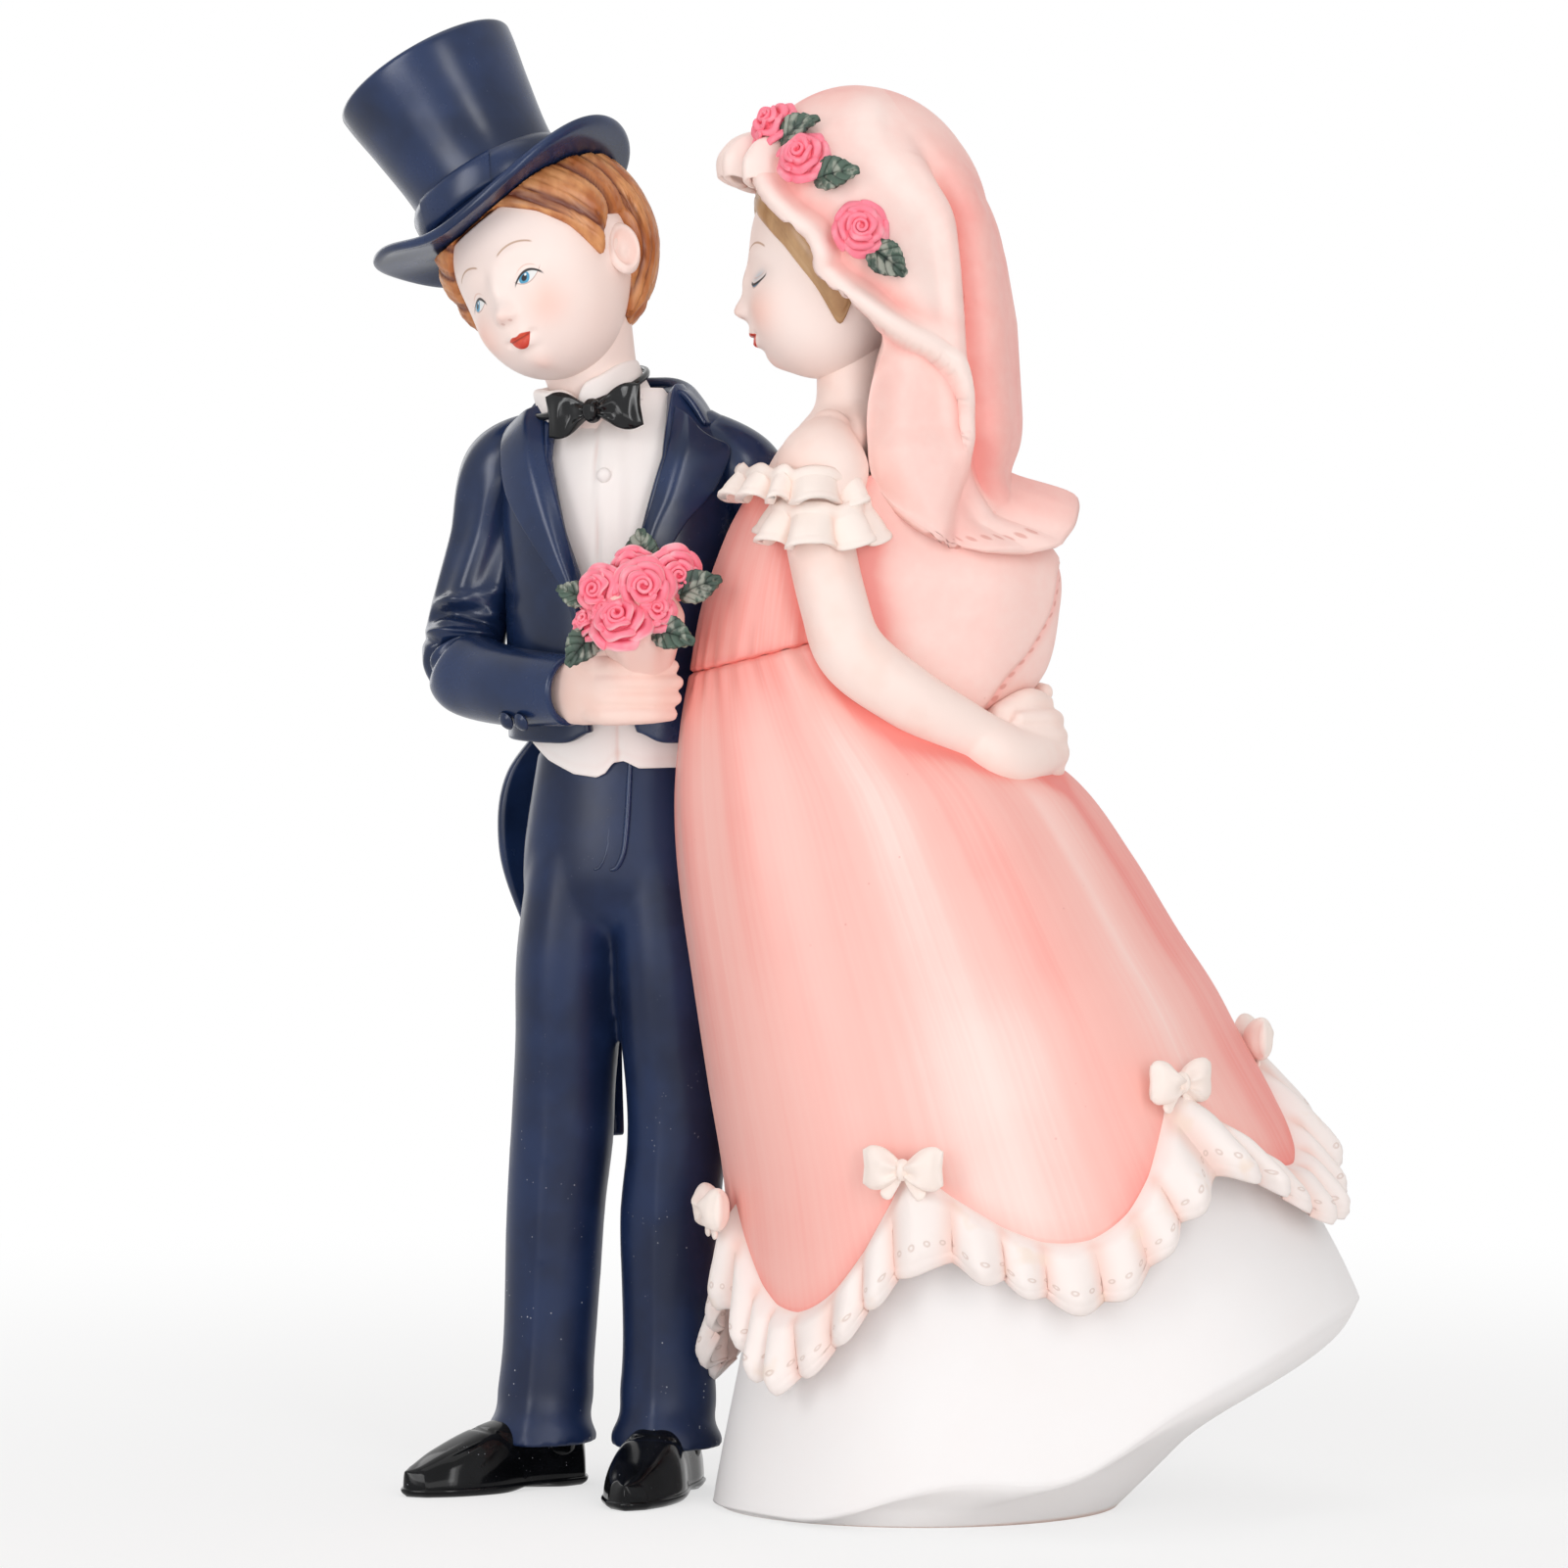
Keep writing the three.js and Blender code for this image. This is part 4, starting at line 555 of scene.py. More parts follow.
# %% The head pattern
BLEND = 1.4  # how softly skull and jaw run together, in mm
RELIEF = [  # place across and up, width and height of the bell, and how far it stands out, in mm
    (3.7, -1.5, 2.0, 1.3, -0.55), (3.7, -2.1, 1.2, 0.8, 0.34), (3.3, 1.0, 2.4, 0.8, 0.18),
    (0.95, -4.45, 0.55, 0.5, 0.42), (4.7, -5.0, 2.4, 2.1, 0.45), (0.55, -6.25, 0.8, 0.34, 0.26),
    (1.8, -6.75, 0.4, 0.32, -0.28),
]
RELIEF_MIDDLE = [  # the same, for what lies on the middle line
    (0.0, -1.7, 0.8, 1.7, 0.6), (0.0, -4.0, 1.0, 0.9, 1.45), (0.0, -5.5, 0.35, 0.5, -0.12),
    (0.0, -6.6, 2.3, 1.4, 0.35), (0.0, -6.72, 1.5, 0.17, -0.26), (0.0, -7.25, 1.0, 0.42, 0.34),
    (0.0, -8.1, 1.4, 0.45, -0.22), (0.0, -9.5, 1.7, 1.2, 0.42),
]


def head_reach(way):
    """Soft maximum of two eggs, skull and jaw: the logarithm of the sum of their exponentials, less
    the 1 that an egg gives where a ray misses it."""
    skull = egg(way, (0, 1, 2.5), (9.8, 11, 10.5))
    jaw = egg(way, (0, -2.53, -4.4), (7.6, 7.6, 7.6))
    return BLEND * np.log(np.exp(skull / BLEND) + np.exp(jaw / BLEND) - 1)


def face_relief(round_, rise):
    """A sum of bells in the two angles, times 10 so that a unit is about a millimetre."""
    across, up = 10 * round_, 10 * rise
    both = sum(h * bump(np.abs(across), x, w) * bump(up, y, s) for x, y, w, s, h in RELIEF)
    return both + sum(h * bump(across, x, w) * bump(up, y, s) for x, y, w, s, h in RELIEF_MIDDLE)


def head():
    """The two eggs with the face's relief added along each direction from the middle."""
    way, round_, rise = ways(141, 200)
    reach = head_reach(way) + face_relief(round_, rise)
    return way * reach[..., None]


def ear(side):
    """A shell: a disc whose height follows hollow, fold and rim from the middle out, then round the back.
    With the points comes a mark for the warm paint in its hollow."""
    v, u = grid(27, 56)
    rim, a = 1 - np.abs(2 * v - 1), TURN * u
    up = 3.0 * rim * np.sin(a) * (1 + 0.1 * np.sin(a))
    back = 2.0 * rim * np.cos(a) * (1 + 0.14 * np.sin(a))
    front = knots([0.1, 0.15, 0.35, 0.3, 0.55, 1.15, 1.1, 0.45], rim)
    front = front + 0.35 * bump(rim, 0.5, 0.16) * bump(np.cos(a), 0.6, 0.6)
    out = np.where(v < 0.5, front, mix(-1.3, 0.45, rim**3))
    lean = np.radians(26)
    outward = np.array([side * np.cos(lean), -np.sin(lean), 0])
    rearward = np.array([side * np.sin(lean), np.cos(lean), 0.08])
    upward = np.array([0, 0.12, 1])
    middle = np.array([side * 9.2, 0.9, -2.2])
    points = middle + out[..., None] * outward + back[..., None] * rearward + up[..., None] * upward
    return points, np.where(v < 0.5, bump(rim, 0.55, 0.3), 0.1)


doll = head()
print("head from", doll.min((0, 1)).round(1), "to", doll.max((0, 1)).round(1))

# %% Painted faces
MAP_ROUND, MAP_RISE = 62.83, 31.42  # the whole map in the head's two angles, times 10 as in the relief


def face_recipe(b, closed_eyes):
    """Flesh with blush, brows, eyes and lips, each a mask in the two angles of the head."""
    here = b.mark("face")
    across, up = (b.map("X") - 0.5) * MAP_ROUND, MAP_RISE / 2 - b.map("Y") * MAP_RISE
    patchy, grain = b.cloud(170, 2.0), b.cloud(1600, 2.0)
    sides = abs(across)
    blush = 0.36 * sides.bell(4.7, 2.3) * up.bell(-4.9, 2.0)
    blush = blush + 0.2 * across.bell(0.0, 0.9) * up.bell(-4.3, 0.6)
    blush = (blush + 0.2 * across.bell(0.0, 1.6) * up.bell(-9.6, 1.0)) * here
    ears = (1 - here) * b.mark("wash")
    colour = (blush + 0.1 * patchy + 0.22 * ears).blend(hue("fdece5"), hue("f5a288"))
    du = sides - 3.7
    dv = up + 2.05 - 0.1 * du
    arch = 1 - (du / 1.35) ** 2
    near = du.over(-1.7, -1.3) * du.over(1.9, 1.5) * here
    if closed_eyes:
        lid = arch * -0.34
        shadow = du.bell(0.1, 1.25) * dv.bell(0.35, 0.6) * here
        colour = (0.62 * shadow).blend(colour, hue("a5bfce"))
        sliver = (lid - dv).over(0.0, 0.08) * (dv - arch * -0.66).over(0.0, 0.08) * near
        colour = sliver.blend(colour, hue("4d7f9d"))
        lash = abs(dv - lid).over(0.19, 0.08) * near
        under = abs(dv - arch * -0.68).over(0.1, 0.03) * near * 0.45
    else:
        lid = arch * 0.66
        low = arch * -0.6
        white_eye = (lid - dv).over(0.0, 0.1) * (dv - low).over(0.0, 0.1) * near
        colour = white_eye.blend(colour, hue("f4f3f2"))
        look = (across.over(-0.5, 0.5) * 2 - 1) * du + 0.32
        ring = (look**2 + (dv - 0.05) ** 2) ** 0.5
        colour = (ring.over(0.68, 0.58) * white_eye).blend(colour, hue("4f9fc4"))
        colour = (ring.over(0.38, 0.28) * white_eye).blend(colour, hue("14151b"))
        glint = ((look - 0.22) ** 2 + (dv - 0.3) ** 2) ** 0.5
        colour = (glint.over(0.17, 0.1) * white_eye).blend(colour, hue("fdfdfd"))
        lash = abs(dv - lid).over(0.2, 0.09) * near
        under = abs(dv - low).over(0.1, 0.03) * near * 0.5
    colour = under.blend(colour, hue("9b6b58"))
    colour = lash.blend(colour, hue("2b2220"))
    fold = abs(dv - lid - 0.62).over(0.14, 0.03) * du.over(-1.3, -0.6) * du.over(1.5, 0.9) * here
    colour = (0.4 * fold).blend(colour, hue("d99f86"))
    bow = 1 - ((du + 0.2) / 2.3) ** 2
    brow = abs(up - 1.15 - 0.75 * bow).over(0.17, 0.05) * bow.over(0.08, 0.4) * here
    colour = (0.75 * brow).blend(colour, hue("b98a66"))
    mouth = up + 6.72
    top = (1 - (across / 1.75) ** 2) * 0.62 - 0.2 * across.bell(0.0, 0.42)
    bottom = (1 - (across / 1.5) ** 2) * -0.98
    lips = (top - mouth).over(0.0, 0.1) * (mouth - bottom).over(0.0, 0.1) * here
    colour = lips.blend(colour, b.cloud(900, 2.0).over(0.3, 0.7).blend(hue("cf3a26"), hue("e2583c")))
    line = abs(mouth).over(0.12, 0.03) * sides.over(1.7, 1.2) * here
    colour = (0.55 * line).blend(colour, hue("7d2418"))
    nostril = ((sides - 0.5) ** 2 + (up + 4.85) ** 2) ** 0.5
    colour = (0.35 * nostril.over(0.26, 0.1) * here).blend(colour, hue("b8705a"))
    return colour, 0.48 + 0.12 * grain - 0.18 * lips, grain


boy_face = finish("boy_face_paint", lambda b: face_recipe(b, False), 0.05)
girl_face = finish("girl_face_paint", lambda b: face_recipe(b, True), 0.05)
print("mixed", boy_face.name, girl_face.name)

# %% Heads, ears and the boy's neck
TILT = np.radians(-22)  # lean of the boy's neck
NECK_LINE = np.array([np.sin(TILT), 0, np.cos(TILT)])


def neck_point(rise):
    """A point of the boy's neck, so many millimetres up its slanting axis."""
    return GROOM + [-1.4, 0.4, 114.5] + rise * NECK_LINE


def ear_patch(side, stand):
    """One ear of a head, outside the face's paint."""
    points, hollow = ear(side)
    return closed([points], stand, wash=hollow, face=0.0)


throat_path = [neck_point(r) + [0.14 * r, 0, 0] for r in (0, 4, 8, 12.5)]
throat = limb(throat_path, [4.2, 4.6, 5.1, 5.7], 40, 40, up=(0, 1, 0))
boy_skull = patch(under_hat(place(doll, **BOY_HEAD), 0.5), caps=(0, -1), face=1.0)
boy_parts = [boy_skull, *ear_patch(1, BOY_HEAD), *ear_patch(-1, BOY_HEAD)]
boy_parts.append(patch(throat, caps=(0, -1), face=0.0))
build("boy_head_doll", boy_parts, boy_face, ["boy_head"])
girl_parts = closed([doll], GIRL_HEAD, face=1.0) + ear_patch(1, GIRL_HEAD) + ear_patch(-1, GIRL_HEAD)
build("girl_head_doll", girl_parts, girl_face, ["girl_head"])

# %% [markdown]
# ## Hair
# The hair is a thick cap on the skull that ends in a hairline. The boy's is swept over the forehead,
# comes to a point before the ear and curls in the nape; the girl's shows as a smooth strip inside the
# veil. The strands are creases pressed into the cap, and the dark wash sits in them.

# %% Hair caps and their paint


def hair_recipe(b, deep, base, light):
    """Strands: a dark wash in the creases, a streaky base coat and pale strokes on the crests."""
    strand = b.mark("wash")
    streak = b.cloud(420, 3.0, (1, 1, 0.4))
    colour = streak.over(0.35, 0.68).blend(hue(base), hue(light))
    colour = strand.over(0.25, 0.95).blend(colour, hue(deep))
    return colour, 0.3 + 0.16 * streak, streak - 0.5 * strand


auburn = finish("auburn_hair", lambda b: hair_recipe(b, "70331a", "b26531", "dc9a62"), 0.2)
brown = finish("brown_hair", lambda b: hair_recipe(b, "84603a", "ae845a", "c79f73"), 0.2)


def hair_cap(line, strands, thick, depth, rows, cols):
    """From the crown down to a hairline of (degrees round, degrees up). The cap stands off the head by
    thick, thinner at its edge, less creases of depth given by the strands, then returns under itself."""
    v, u = grid(rows, cols)
    round_ = TURN * (u - 0.5)
    degrees = np.degrees(round_)
    at, up = np.array(line, float).T
    edge = np.interp(np.abs(degrees) if at[0] >= 0 else degrees, at, up)
    soft = np.array([1, 2, 3, 2, 1]) / 9
    edge = np.convolve(np.pad(edge[0], 2, "wrap"), soft, "valid") + 0 * edge
    fall = np.radians(mix(3, 90 - edge, v))
    way = vec(np.sin(fall) * np.sin(round_), -np.sin(fall) * np.cos(round_), np.cos(fall))
    crease = strands(round_, v, fall)
    lift = thick * (1 - 0.7 * v**7) - depth * crease * ease(v, 0.05, 0.25)
    skull = head_reach(way)
    outer = way * (skull + lift)[..., None]
    inner = way * (skull - 0.5)[..., None]
    points = np.concatenate([outer, inner[::-1]])
    return points, np.concatenate([crease, 0.8 + 0 * crease])


def swept(round_, v, fall):
    """Creases that slant over the forehead to the ear and run down behind: powers of one minus
    the sine's size."""
    back = ease(np.abs(round_), 1.75, 2.3)
    lift, side = np.pi / 2 - fall, round_
    along = 7 * (lift + 0.3 * side + 0.36 * side * np.abs(side)) + 0.7 * np.sin(2.6 * side + 1.5 * lift)
    down = 9 * round_ + 0.8 * np.sin(5 * fall + 2 * round_) + 0.2 * np.sin(13 * fall)
    flow = mix(along, down, back)
    locks = 0.5 + 0.5 * np.sin(2 * flow + 0.8 * np.sin(3 * side))
    fine = (1 - np.abs(np.sin(4.3 * flow + 0.9 * np.sin(6 * side + 4 * lift)))) ** 2.5
    finest = (1 - np.abs(np.sin(11 * flow + 1.3 * np.sin(5 * side)))) ** 2
    curls = bump(v, 0.9, 0.08) * back * np.sin(19 * round_ + 5 * v) * (side > 0)
    return (0.7 * locks**3 + 0.5 * fine * mix(0.5, 1, locks)) * mix(1, 0.7, back) + 0.2 * finest - 0.6 * curls


def combed(round_, v, fall):
    """Fine creases that run with the edge of the veil."""
    return 0.45 * (1 - np.abs(np.sin(24 * v + 1.2 * np.sin(3 * round_)))) ** 2


BOY_LINE = [(-180, -48), (-135, -44), (-112, -30), (-104, 8), (-94, 8), (-84, -14), (-75, -22), (-60, 2),
            (-38, 22), (-20, 36), (0, 40), (22, 34), (42, 24), (58, 10), (70, -8), (75, -15), (80, 0),
            (88, 12), (104, 12), (112, -28), (120, -50), (140, -56), (180, -55)]
GIRL_LINE = [(0, 34), (12, 31), (32, 20), (50, 6), (70, -20), (85, -47), (91, -40), (101, -14), (120, -10),
             (180, -10)]
points, crease = hair_cap(BOY_LINE, swept, 2.2, 0.6, 62, 320)
boy_cap = under_hat(place(points, **BOY_HEAD), 0.2)
build("boy_hair_swept", [patch(boy_cap, caps=(0, -1), wash=crease)], auburn, ["boy_hair"])
points, crease = hair_cap(GIRL_LINE, combed, 1.3, 0.4, 60, 160)
build("girl_hair_smooth", closed([points], GIRL_HEAD, wash=crease), brown, ["girl_hair"])

# %% [markdown]
# ## Shirt, collar and bow tie
# The shirt front is a smooth bosom with a placket that opens a little to one side and one stud. The
# stand collar is folded and meets in a V over the knot. The tie is two pinched wings, a pleated knot
# and a thin band round the collar. All of it is cast in the round, so each is a closed surface.

# %% The torso's section
TORSO = [(81.6, 12.4, 8.9), (89, 12.5, 9.1), (100, 12.9, 9.3), (108, 13.4, 8.9), (113, 12.9, 7.7),
         (117, 9.5, 5.9), (119.5, 7.2, 5.1)]  # height, half width and half depth over the coat
TORSO_LINE = knots(TORSO, np.linspace(0, 1, 400))
SHIRT_IN = 2.4  # how far the shirt lies inside the coat's section


def torso(z):
    """Half width and half depth over the coat at a height, read from its smooth side curve."""
    return np.interp(z, TORSO_LINE[:, 0], TORSO_LINE[:, 1]), np.interp(z, TORSO_LINE[:, 0], TORSO_LINE[:, 2])


def front_line(z):
    """How far the middle of the clothes lies off the body's, because the body twists: straight between
    the given heights."""
    return np.interp(z, [79, 83, 99, 104, 119], [2.2, 1.6, 1.0, 0.4, 0.25])


def on_coat(x, z, out):
    """The point of the coat's front at a distance from the middle, set out along the section's normal."""
    wide, deep = torso(z)
    s = np.clip(x / wide, -0.995, 0.995)
    c = np.sqrt(1 - s * s)
    normal = unit(vec(s / wide, -c / deep, 0 * c))
    return vec(wide * s, -deep * c, z) + (out + 0 * c)[..., None] * normal


def shirt_front(x, z, out):
    """The point of the shirt's front oval at a distance from the middle, moved out towards -Y."""
    wide, deep = torso(z)
    c = np.sqrt(np.maximum(1 - (x / (wide - SHIRT_IN)) ** 2, 0.02))
    return vec(x, -(deep - SHIRT_IN) * c - out, z)


print("the coat is", round(2 * float(torso(108)[0]), 1), "mm wide at the chest")

# %% Shirt and stud
v, u = grid(90, 128)
z = knots([row[0] for row in TORSO[1:]], v)
wide, deep = torso(z)
a = TURN * u
x, y = (wide - SHIRT_IN) * np.sin(a), -(deep - SHIRT_IN) * np.cos(a)
line = np.interp(z, [95, 102, 115], [0.3, -0.35, -1.1])
placket = ease(x, line - 0.12, line + 0.12) * ease(x, line + 3.1, line + 2.9) * (y < 0)
groove = bump(x, line - 0.1, 0.22) * (y < 0)
y = y - 0.28 * placket + 0.12 * groove
wash = 0.55 * groove + 0.25 * bump(z, 119, 4)
build("boy_shirt_bosom", closed([vec(x, y, z)], BODY, wash=wash), linen, ["boy_shirt"])

stud = domed(12, 24, -30, 0.82, 0.5) + shirt_front(0.15, 110.0, 0.35)
build("boy_shirt_stud_pearl", closed([stud], BODY, wash=0.0), linen, ["boy_shirt_stud"])

# %% Stand collar
COLLAR = {"at": neck_point(4.6), "roll": -17, "yaw": -15}
v, u = grid(30, 160)
a = TURN * (u - 0.5)
inner, outer, low, high = 4.75, 5.95, -2.2, 2.1
notch = 2.6 * np.exp(-np.abs(a) / 0.2) + 0.5 * bump(np.abs(a), 0.55, 0.35)
top = high - notch
side = knots([0, 0, 0.05, 0.5, 0.95, 1, 1, 1], v)
radius = mix(inner, outer, side) + 0.55 * ease(v, 0.55, 1) + 0.12 * bump(v, 0.5, 0.12)
height = mix(low, top, knots([0, 0.55, 0.95, 1.05, 0.95, 0.6, 0.3, 0], v))
ring = vec(radius * np.sin(a), -radius * np.cos(a), height)
lap = bump(a, 0.05, 0.05) * ease(v, 0.5, 0.7)
ring = ring * (1 + 0.03 * lap[..., None])
ring = np.concatenate([ring, ring[:1]])
wash = 0.6 * np.concatenate([lap, lap[:1]])
build("boy_collar_stand", [patch(place(ring, **COLLAR), wash=wash)], linen, ["boy_collar"])

# %% Bow tie
TIE = {"at": place(np.array([1.8, -7.2, -1.9]), **COLLAR), "roll": -5, "yaw": -15}


def wing(side):
    """One wing: a closed ring carried from the knot outwards, pinched to pleats at the knot and flaring to a
    blunt end; its front is a shallow cup."""
    p, u = grid(40, 56)
    a = TURN * u
    half = knots([0.75, 1.35, 2.05, 2.45, 2.5, 2.2], p)
    thick = knots([0.75, 0.95, 0.85, 0.7, 0.7, 0.35], p)
    skew = side * 0.22 * p
    up = half * np.sign(np.sin(a)) * np.abs(np.sin(a)) ** 0.8
    out = thick * np.cos(a)
    pleat = 0.26 * np.sin(7.5 * np.sin(a)) * (1 - ease(p, 0.05, 0.6))
    dip = 0.3 * bump(p, 0.42, 0.2) * bump(np.sin(a), 0.1, 0.5)
    dip = dip + 0.2 * np.sin(7 * p + 3 * np.sin(a) + side) * bump(p, 0.55, 0.3)
    out = out + np.where(np.cos(a) > 0, pleat - dip, 0) * np.maximum(np.cos(a), 0)
    reach = 0.5 + 4.5 * p + 0.35 * np.abs(np.sin(a)) ** 2 * p
    return vec(side * reach, -out + 0.5 * p**2, up + skew)


v, u = grid(9, 120)
a, c = TURN * u, TURN * v
band_radius = 6.62 + 0.3 * np.cos(c) + 0.15 * np.cos(a)
neck_band = vec(band_radius * np.sin(a), -band_radius * np.cos(a), 0.3 + 0.4 * np.sin(c) - 1.5 * np.cos(a))
tie_knot = pleated_knot((1.05, 1.1, 1.35), 0.25, 5, 0.09, 86, 24, 40)
tie = closed([wing(1), wing(-1), tie_knot], TIE) + [patch(place(neck_band, **COLLAR))]
build("boy_bow_tie_silk", tie, black, ["boy_bow_tie"])

# %% [markdown]
# ## The tailcoat
# The coat's body is one sheet from front edge to front edge round the back, with a back seam. The
# lapels lie on it, rolled at the edge of the opening and notched where the collar starts; the collar
# goes round the neck. The tails hang behind. Sheets are drawn at their middle and thickened.

# %% Coat body and waistcoat


def half_opening(z):
    """Half the gap between the coat's front edges: straight between the given heights."""
    return np.interp(z, [81, 83, 99, 104, 112, 119.5], [2.6, 2.45, 3.0, 4.5, 6.6, 6.7])


v, u = grid(68, 140, loop=False)
z = knots([row[0] for row in TORSO], v)
wide, deep = torso(z)
left = np.arcsin(np.clip((front_line(z) + half_opening(z)) / wide, -0.97, 0.97))
right = TURN + np.arcsin(np.clip((front_line(z) - half_opening(z)) / wide, -0.97, 0.97))
a = mix(left, right, u)
to_edge = np.minimum(u, 1 - u) * 60
z = z + 1.3 * bump(to_edge, 0, 1.6) * (1 - v) ** 12 - 0.5 * (1 - v) ** 6 * np.maximum(np.cos(a), 0)
seam = bump(wide * np.sin(a), 0, 0.22) * (np.cos(a) < 0)
x, y = (wide - 0.8) * np.sin(a), -(deep - 0.8) * np.cos(a) - 0.3 * seam
coat = patch(place(vec(x, y, z), **BODY), loop=False)
thicken(build("boy_coat_body", [coat], navy, ["boy_coat"], sheet=True), 1.5)

HEM_LINE = [(-12.5, 83.4), (-9.9, 82.0), (-6.5, 79.3), (-3.3, 77.85), (-0.6, 77.5), (0.4, 78.0), (1.2, 79.1),
            (2.4, 79.3), (4.0, 78.5), (8.2, 78.6), (12.5, 82.5)]
v, u = grid(40, 192)
a = TURN * u
x = 10.3 * np.sin(a)
at, level = np.array(HEM_LINE).T
hem = np.where(np.cos(a) > 0, np.interp(x, at, level), 81.2)
z = mix(hem, 88.6, v)
tuck = knots([0.0, 0.75, 1.0, 1.0, 1.0, 0.9], v)
split = bump(x, 1.75, 0.25) * (np.cos(a) > 0)
rim = bump(v, 0.1, 0.05) * (np.cos(a) > 0)
deep = 6.85 + 0.35 * tuck - 0.3 * split
waistcoat = closed([vec(x, -deep * np.cos(a), z)], BODY, wash=0.7 * split + 0.25 * rim)
build("boy_waistcoat_points", waistcoat, linen, ["boy_waistcoat"])

# %% Lapels and collar
LAPELS = {  # roll line and outer edge, each as distances from the middle and heights
    "right": ([(-7.5, 117.8), (-6.3, 112.4), (-4.7, 107.8), (-3.1, 102.2), (-1.9, 97.5), (-1.3, 92.5)],
              [(-11.2, 114.9), (-11.3, 112.9), (-10.1, 107.8), (-6.4, 102.2), (-3.1, 97.6), (-1.6, 92.6)]),
    "left": ([(7.3, 117.4), (7.3, 113.5), (6.3, 108), (5.1, 103.8), (4.2, 98.5), (4.0, 92.5)],
             [(10.4, 113.7), (12.4, 112.7), (11.4, 108.4), (8.9, 104.6), (6.2, 99), (4.4, 92.7)]),
}


def lapel(inner, outer):
    """A strip between its roll line and its outer edge, laid on the coat: it leaves the
    coat's edge in a roll."""
    v, u = grid(64, 17, loop=False)
    spot = mix(knots(inner, v), knots(outer, v), u[..., None])
    out = -0.2 + 1.5 * ease(u, -0.05, 0.3) - 0.35 * u - 0.5 * v**6
    return on_coat(spot[..., 0], spot[..., 1], out)


def coat_collar(side):
    """Half of the collar: from the notch to the middle of the back, folded at the top and lying on the
    shoulder."""
    v, u = grid(15, 50, loop=False)
    a = side * np.radians(mix(70, 180, u))
    back = ease(u, 0.05, 0.75)
    wide, deep = mix(6.5, 11.0, v), mix(5.5, 8.4, v)
    fold = knots([-1.2, 0.7, 0.75, 0.2, -0.7], v)
    height = mix(mix(119.0, 115.3, v), mix(121.2, 115.6, v), back) + fold
    height = height + (0.8 if side > 0 else 0.2) * ease(u, 0.2, 0.0) * v
    lift = 0.5 * (1 - u) ** 3 * v
    return vec(wide * np.sin(a), -deep * np.cos(a) - lift * 0.6, height)


for name, (inner, outer) in LAPELS.items():
    side = 1 if name == "left" else -1
    sheets = [patch(place(points, **BODY), loop=False) for points in (lapel(inner, outer), coat_collar(side))]
    piece = build(f"boy_lapel_{name}_notched", sheets, navy, [f"boy_lapel_{name}"], sheet=True)
    thicken(piece, 0.75)

# %% Tails
for name, side in (("left", 1), ("right", -1)):
    v, u = grid(70, 30, loop=False)
    edge = 15.2 * knots([0.62, 0.95, 1, 0.87, 0.63, 0.45, 0.3], v)
    x = mix(0.15 + 2.7 * ease(v, 0.3, 0.8), edge, u)
    hang = mix(7.9, 10.2, ease(v, 0.04, 0.3))
    y = hang * np.sqrt(1 - (x / 17.2) ** 2) + 0.35 * np.sin(5 * u + 3 * v) * ease(v, 0.15, 0.6)
    tail = vec(side * x, y, 85.5 - 48.1 * v - 0.8 * u**4 * v)
    sheets = [patch(place(tail, **BODY), loop=False)]
    nodes = [f"boy_coat_tail_{name}"]
    thicken(build(f"boy_coat_tail_{name}_cloth", sheets, navy, nodes, sheet=True), 1.3)

# %% [markdown]
# ## Sleeves
# A sleeve is a tube along the arm that ends in an open cuff. Cloth that bends bunches up on the inside
# of the elbow and pulls into long soft folds above it, and both are pressed into the tube's radius.

# %% Sleeves and cuff buttons
SLEEVES = {
    "right": [(-9.3, 0, 114.6), (-13.3, 0.1, 110.6), (-14.9, 0.2, 103), (-16.9, -1.2, 93.4),
              (-16.3, -3.4, 89), (-10.2, -8.6, 87.4), (-1.6, -13.2, 87)],
    "left": [(9.3, 0, 114.6), (13.5, 1.4, 110.2), (14.1, 6, 104), (12.9, 11.8, 96), (11.3, 14.6, 90.4),
             (8.6, 14.8, 86.6), (3.4, 14.2, 85)],
}
SLEEVE_RADII = [2.8, 4.5, 4.2, 4.3, 4.5, 4.3, 3.8]
CREASES = [(0.585, -0.6, 1), (0.625, -0.85, -0.6), (0.665, -0.6, 0.5)]  # place along, height, slant
BUNCHES = [(0.43, 0.4, 0.7), (0.456, -0.6, 0.5), (0.48, 0.55, -0.5), (0.502, -0.75, -0.3), (0.527, 0.5, 0.4)]


def sleeve_folds(t, a):
    """Long shallow ridges down the upper arm, which are a sine round it, and bells along it for the creases
    across the inside of the elbow and the bunched cloth above them."""
    front = np.cos(a - np.radians(285))
    upper = ease(t, 0.12, 0.3) * ease(t, 0.62, 0.45)
    ridges = 0.24 * np.sin(6 * a + 9 * t) * upper * ease(front, -0.2, 0.6)
    slant = 0.035 * np.sin(2 * a + 0.4)
    elbow = sum(d * bump(t + slant * k, at, 0.016) for at, d, k in CREASES)
    puff = 0.4 * bump(t, 0.55, 0.04) + 0.45 * bump(t, 0.72, 0.05)
    bunch = sum(d * bump(t + 0.05 * k * np.sin(a + 1.2 * k), at, 0.011) for at, d, k in BUNCHES)
    inside = ease(np.cos(a - np.radians(288)), 0.3, 0.85)
    return ridges + (elbow + puff) * ease(front, -0.1, 0.75) + bunch * inside


for name, path in SLEEVES.items():
    tube = limb(path, SLEEVE_RADII, 150, 72, up=(0.3, 1, 0.1), swell=sleeve_folds, hollow=3.0)
    build(f"boy_sleeve_{name}_cloth", closed([tube], BODY), navy, [f"boy_sleeve_{name}"])

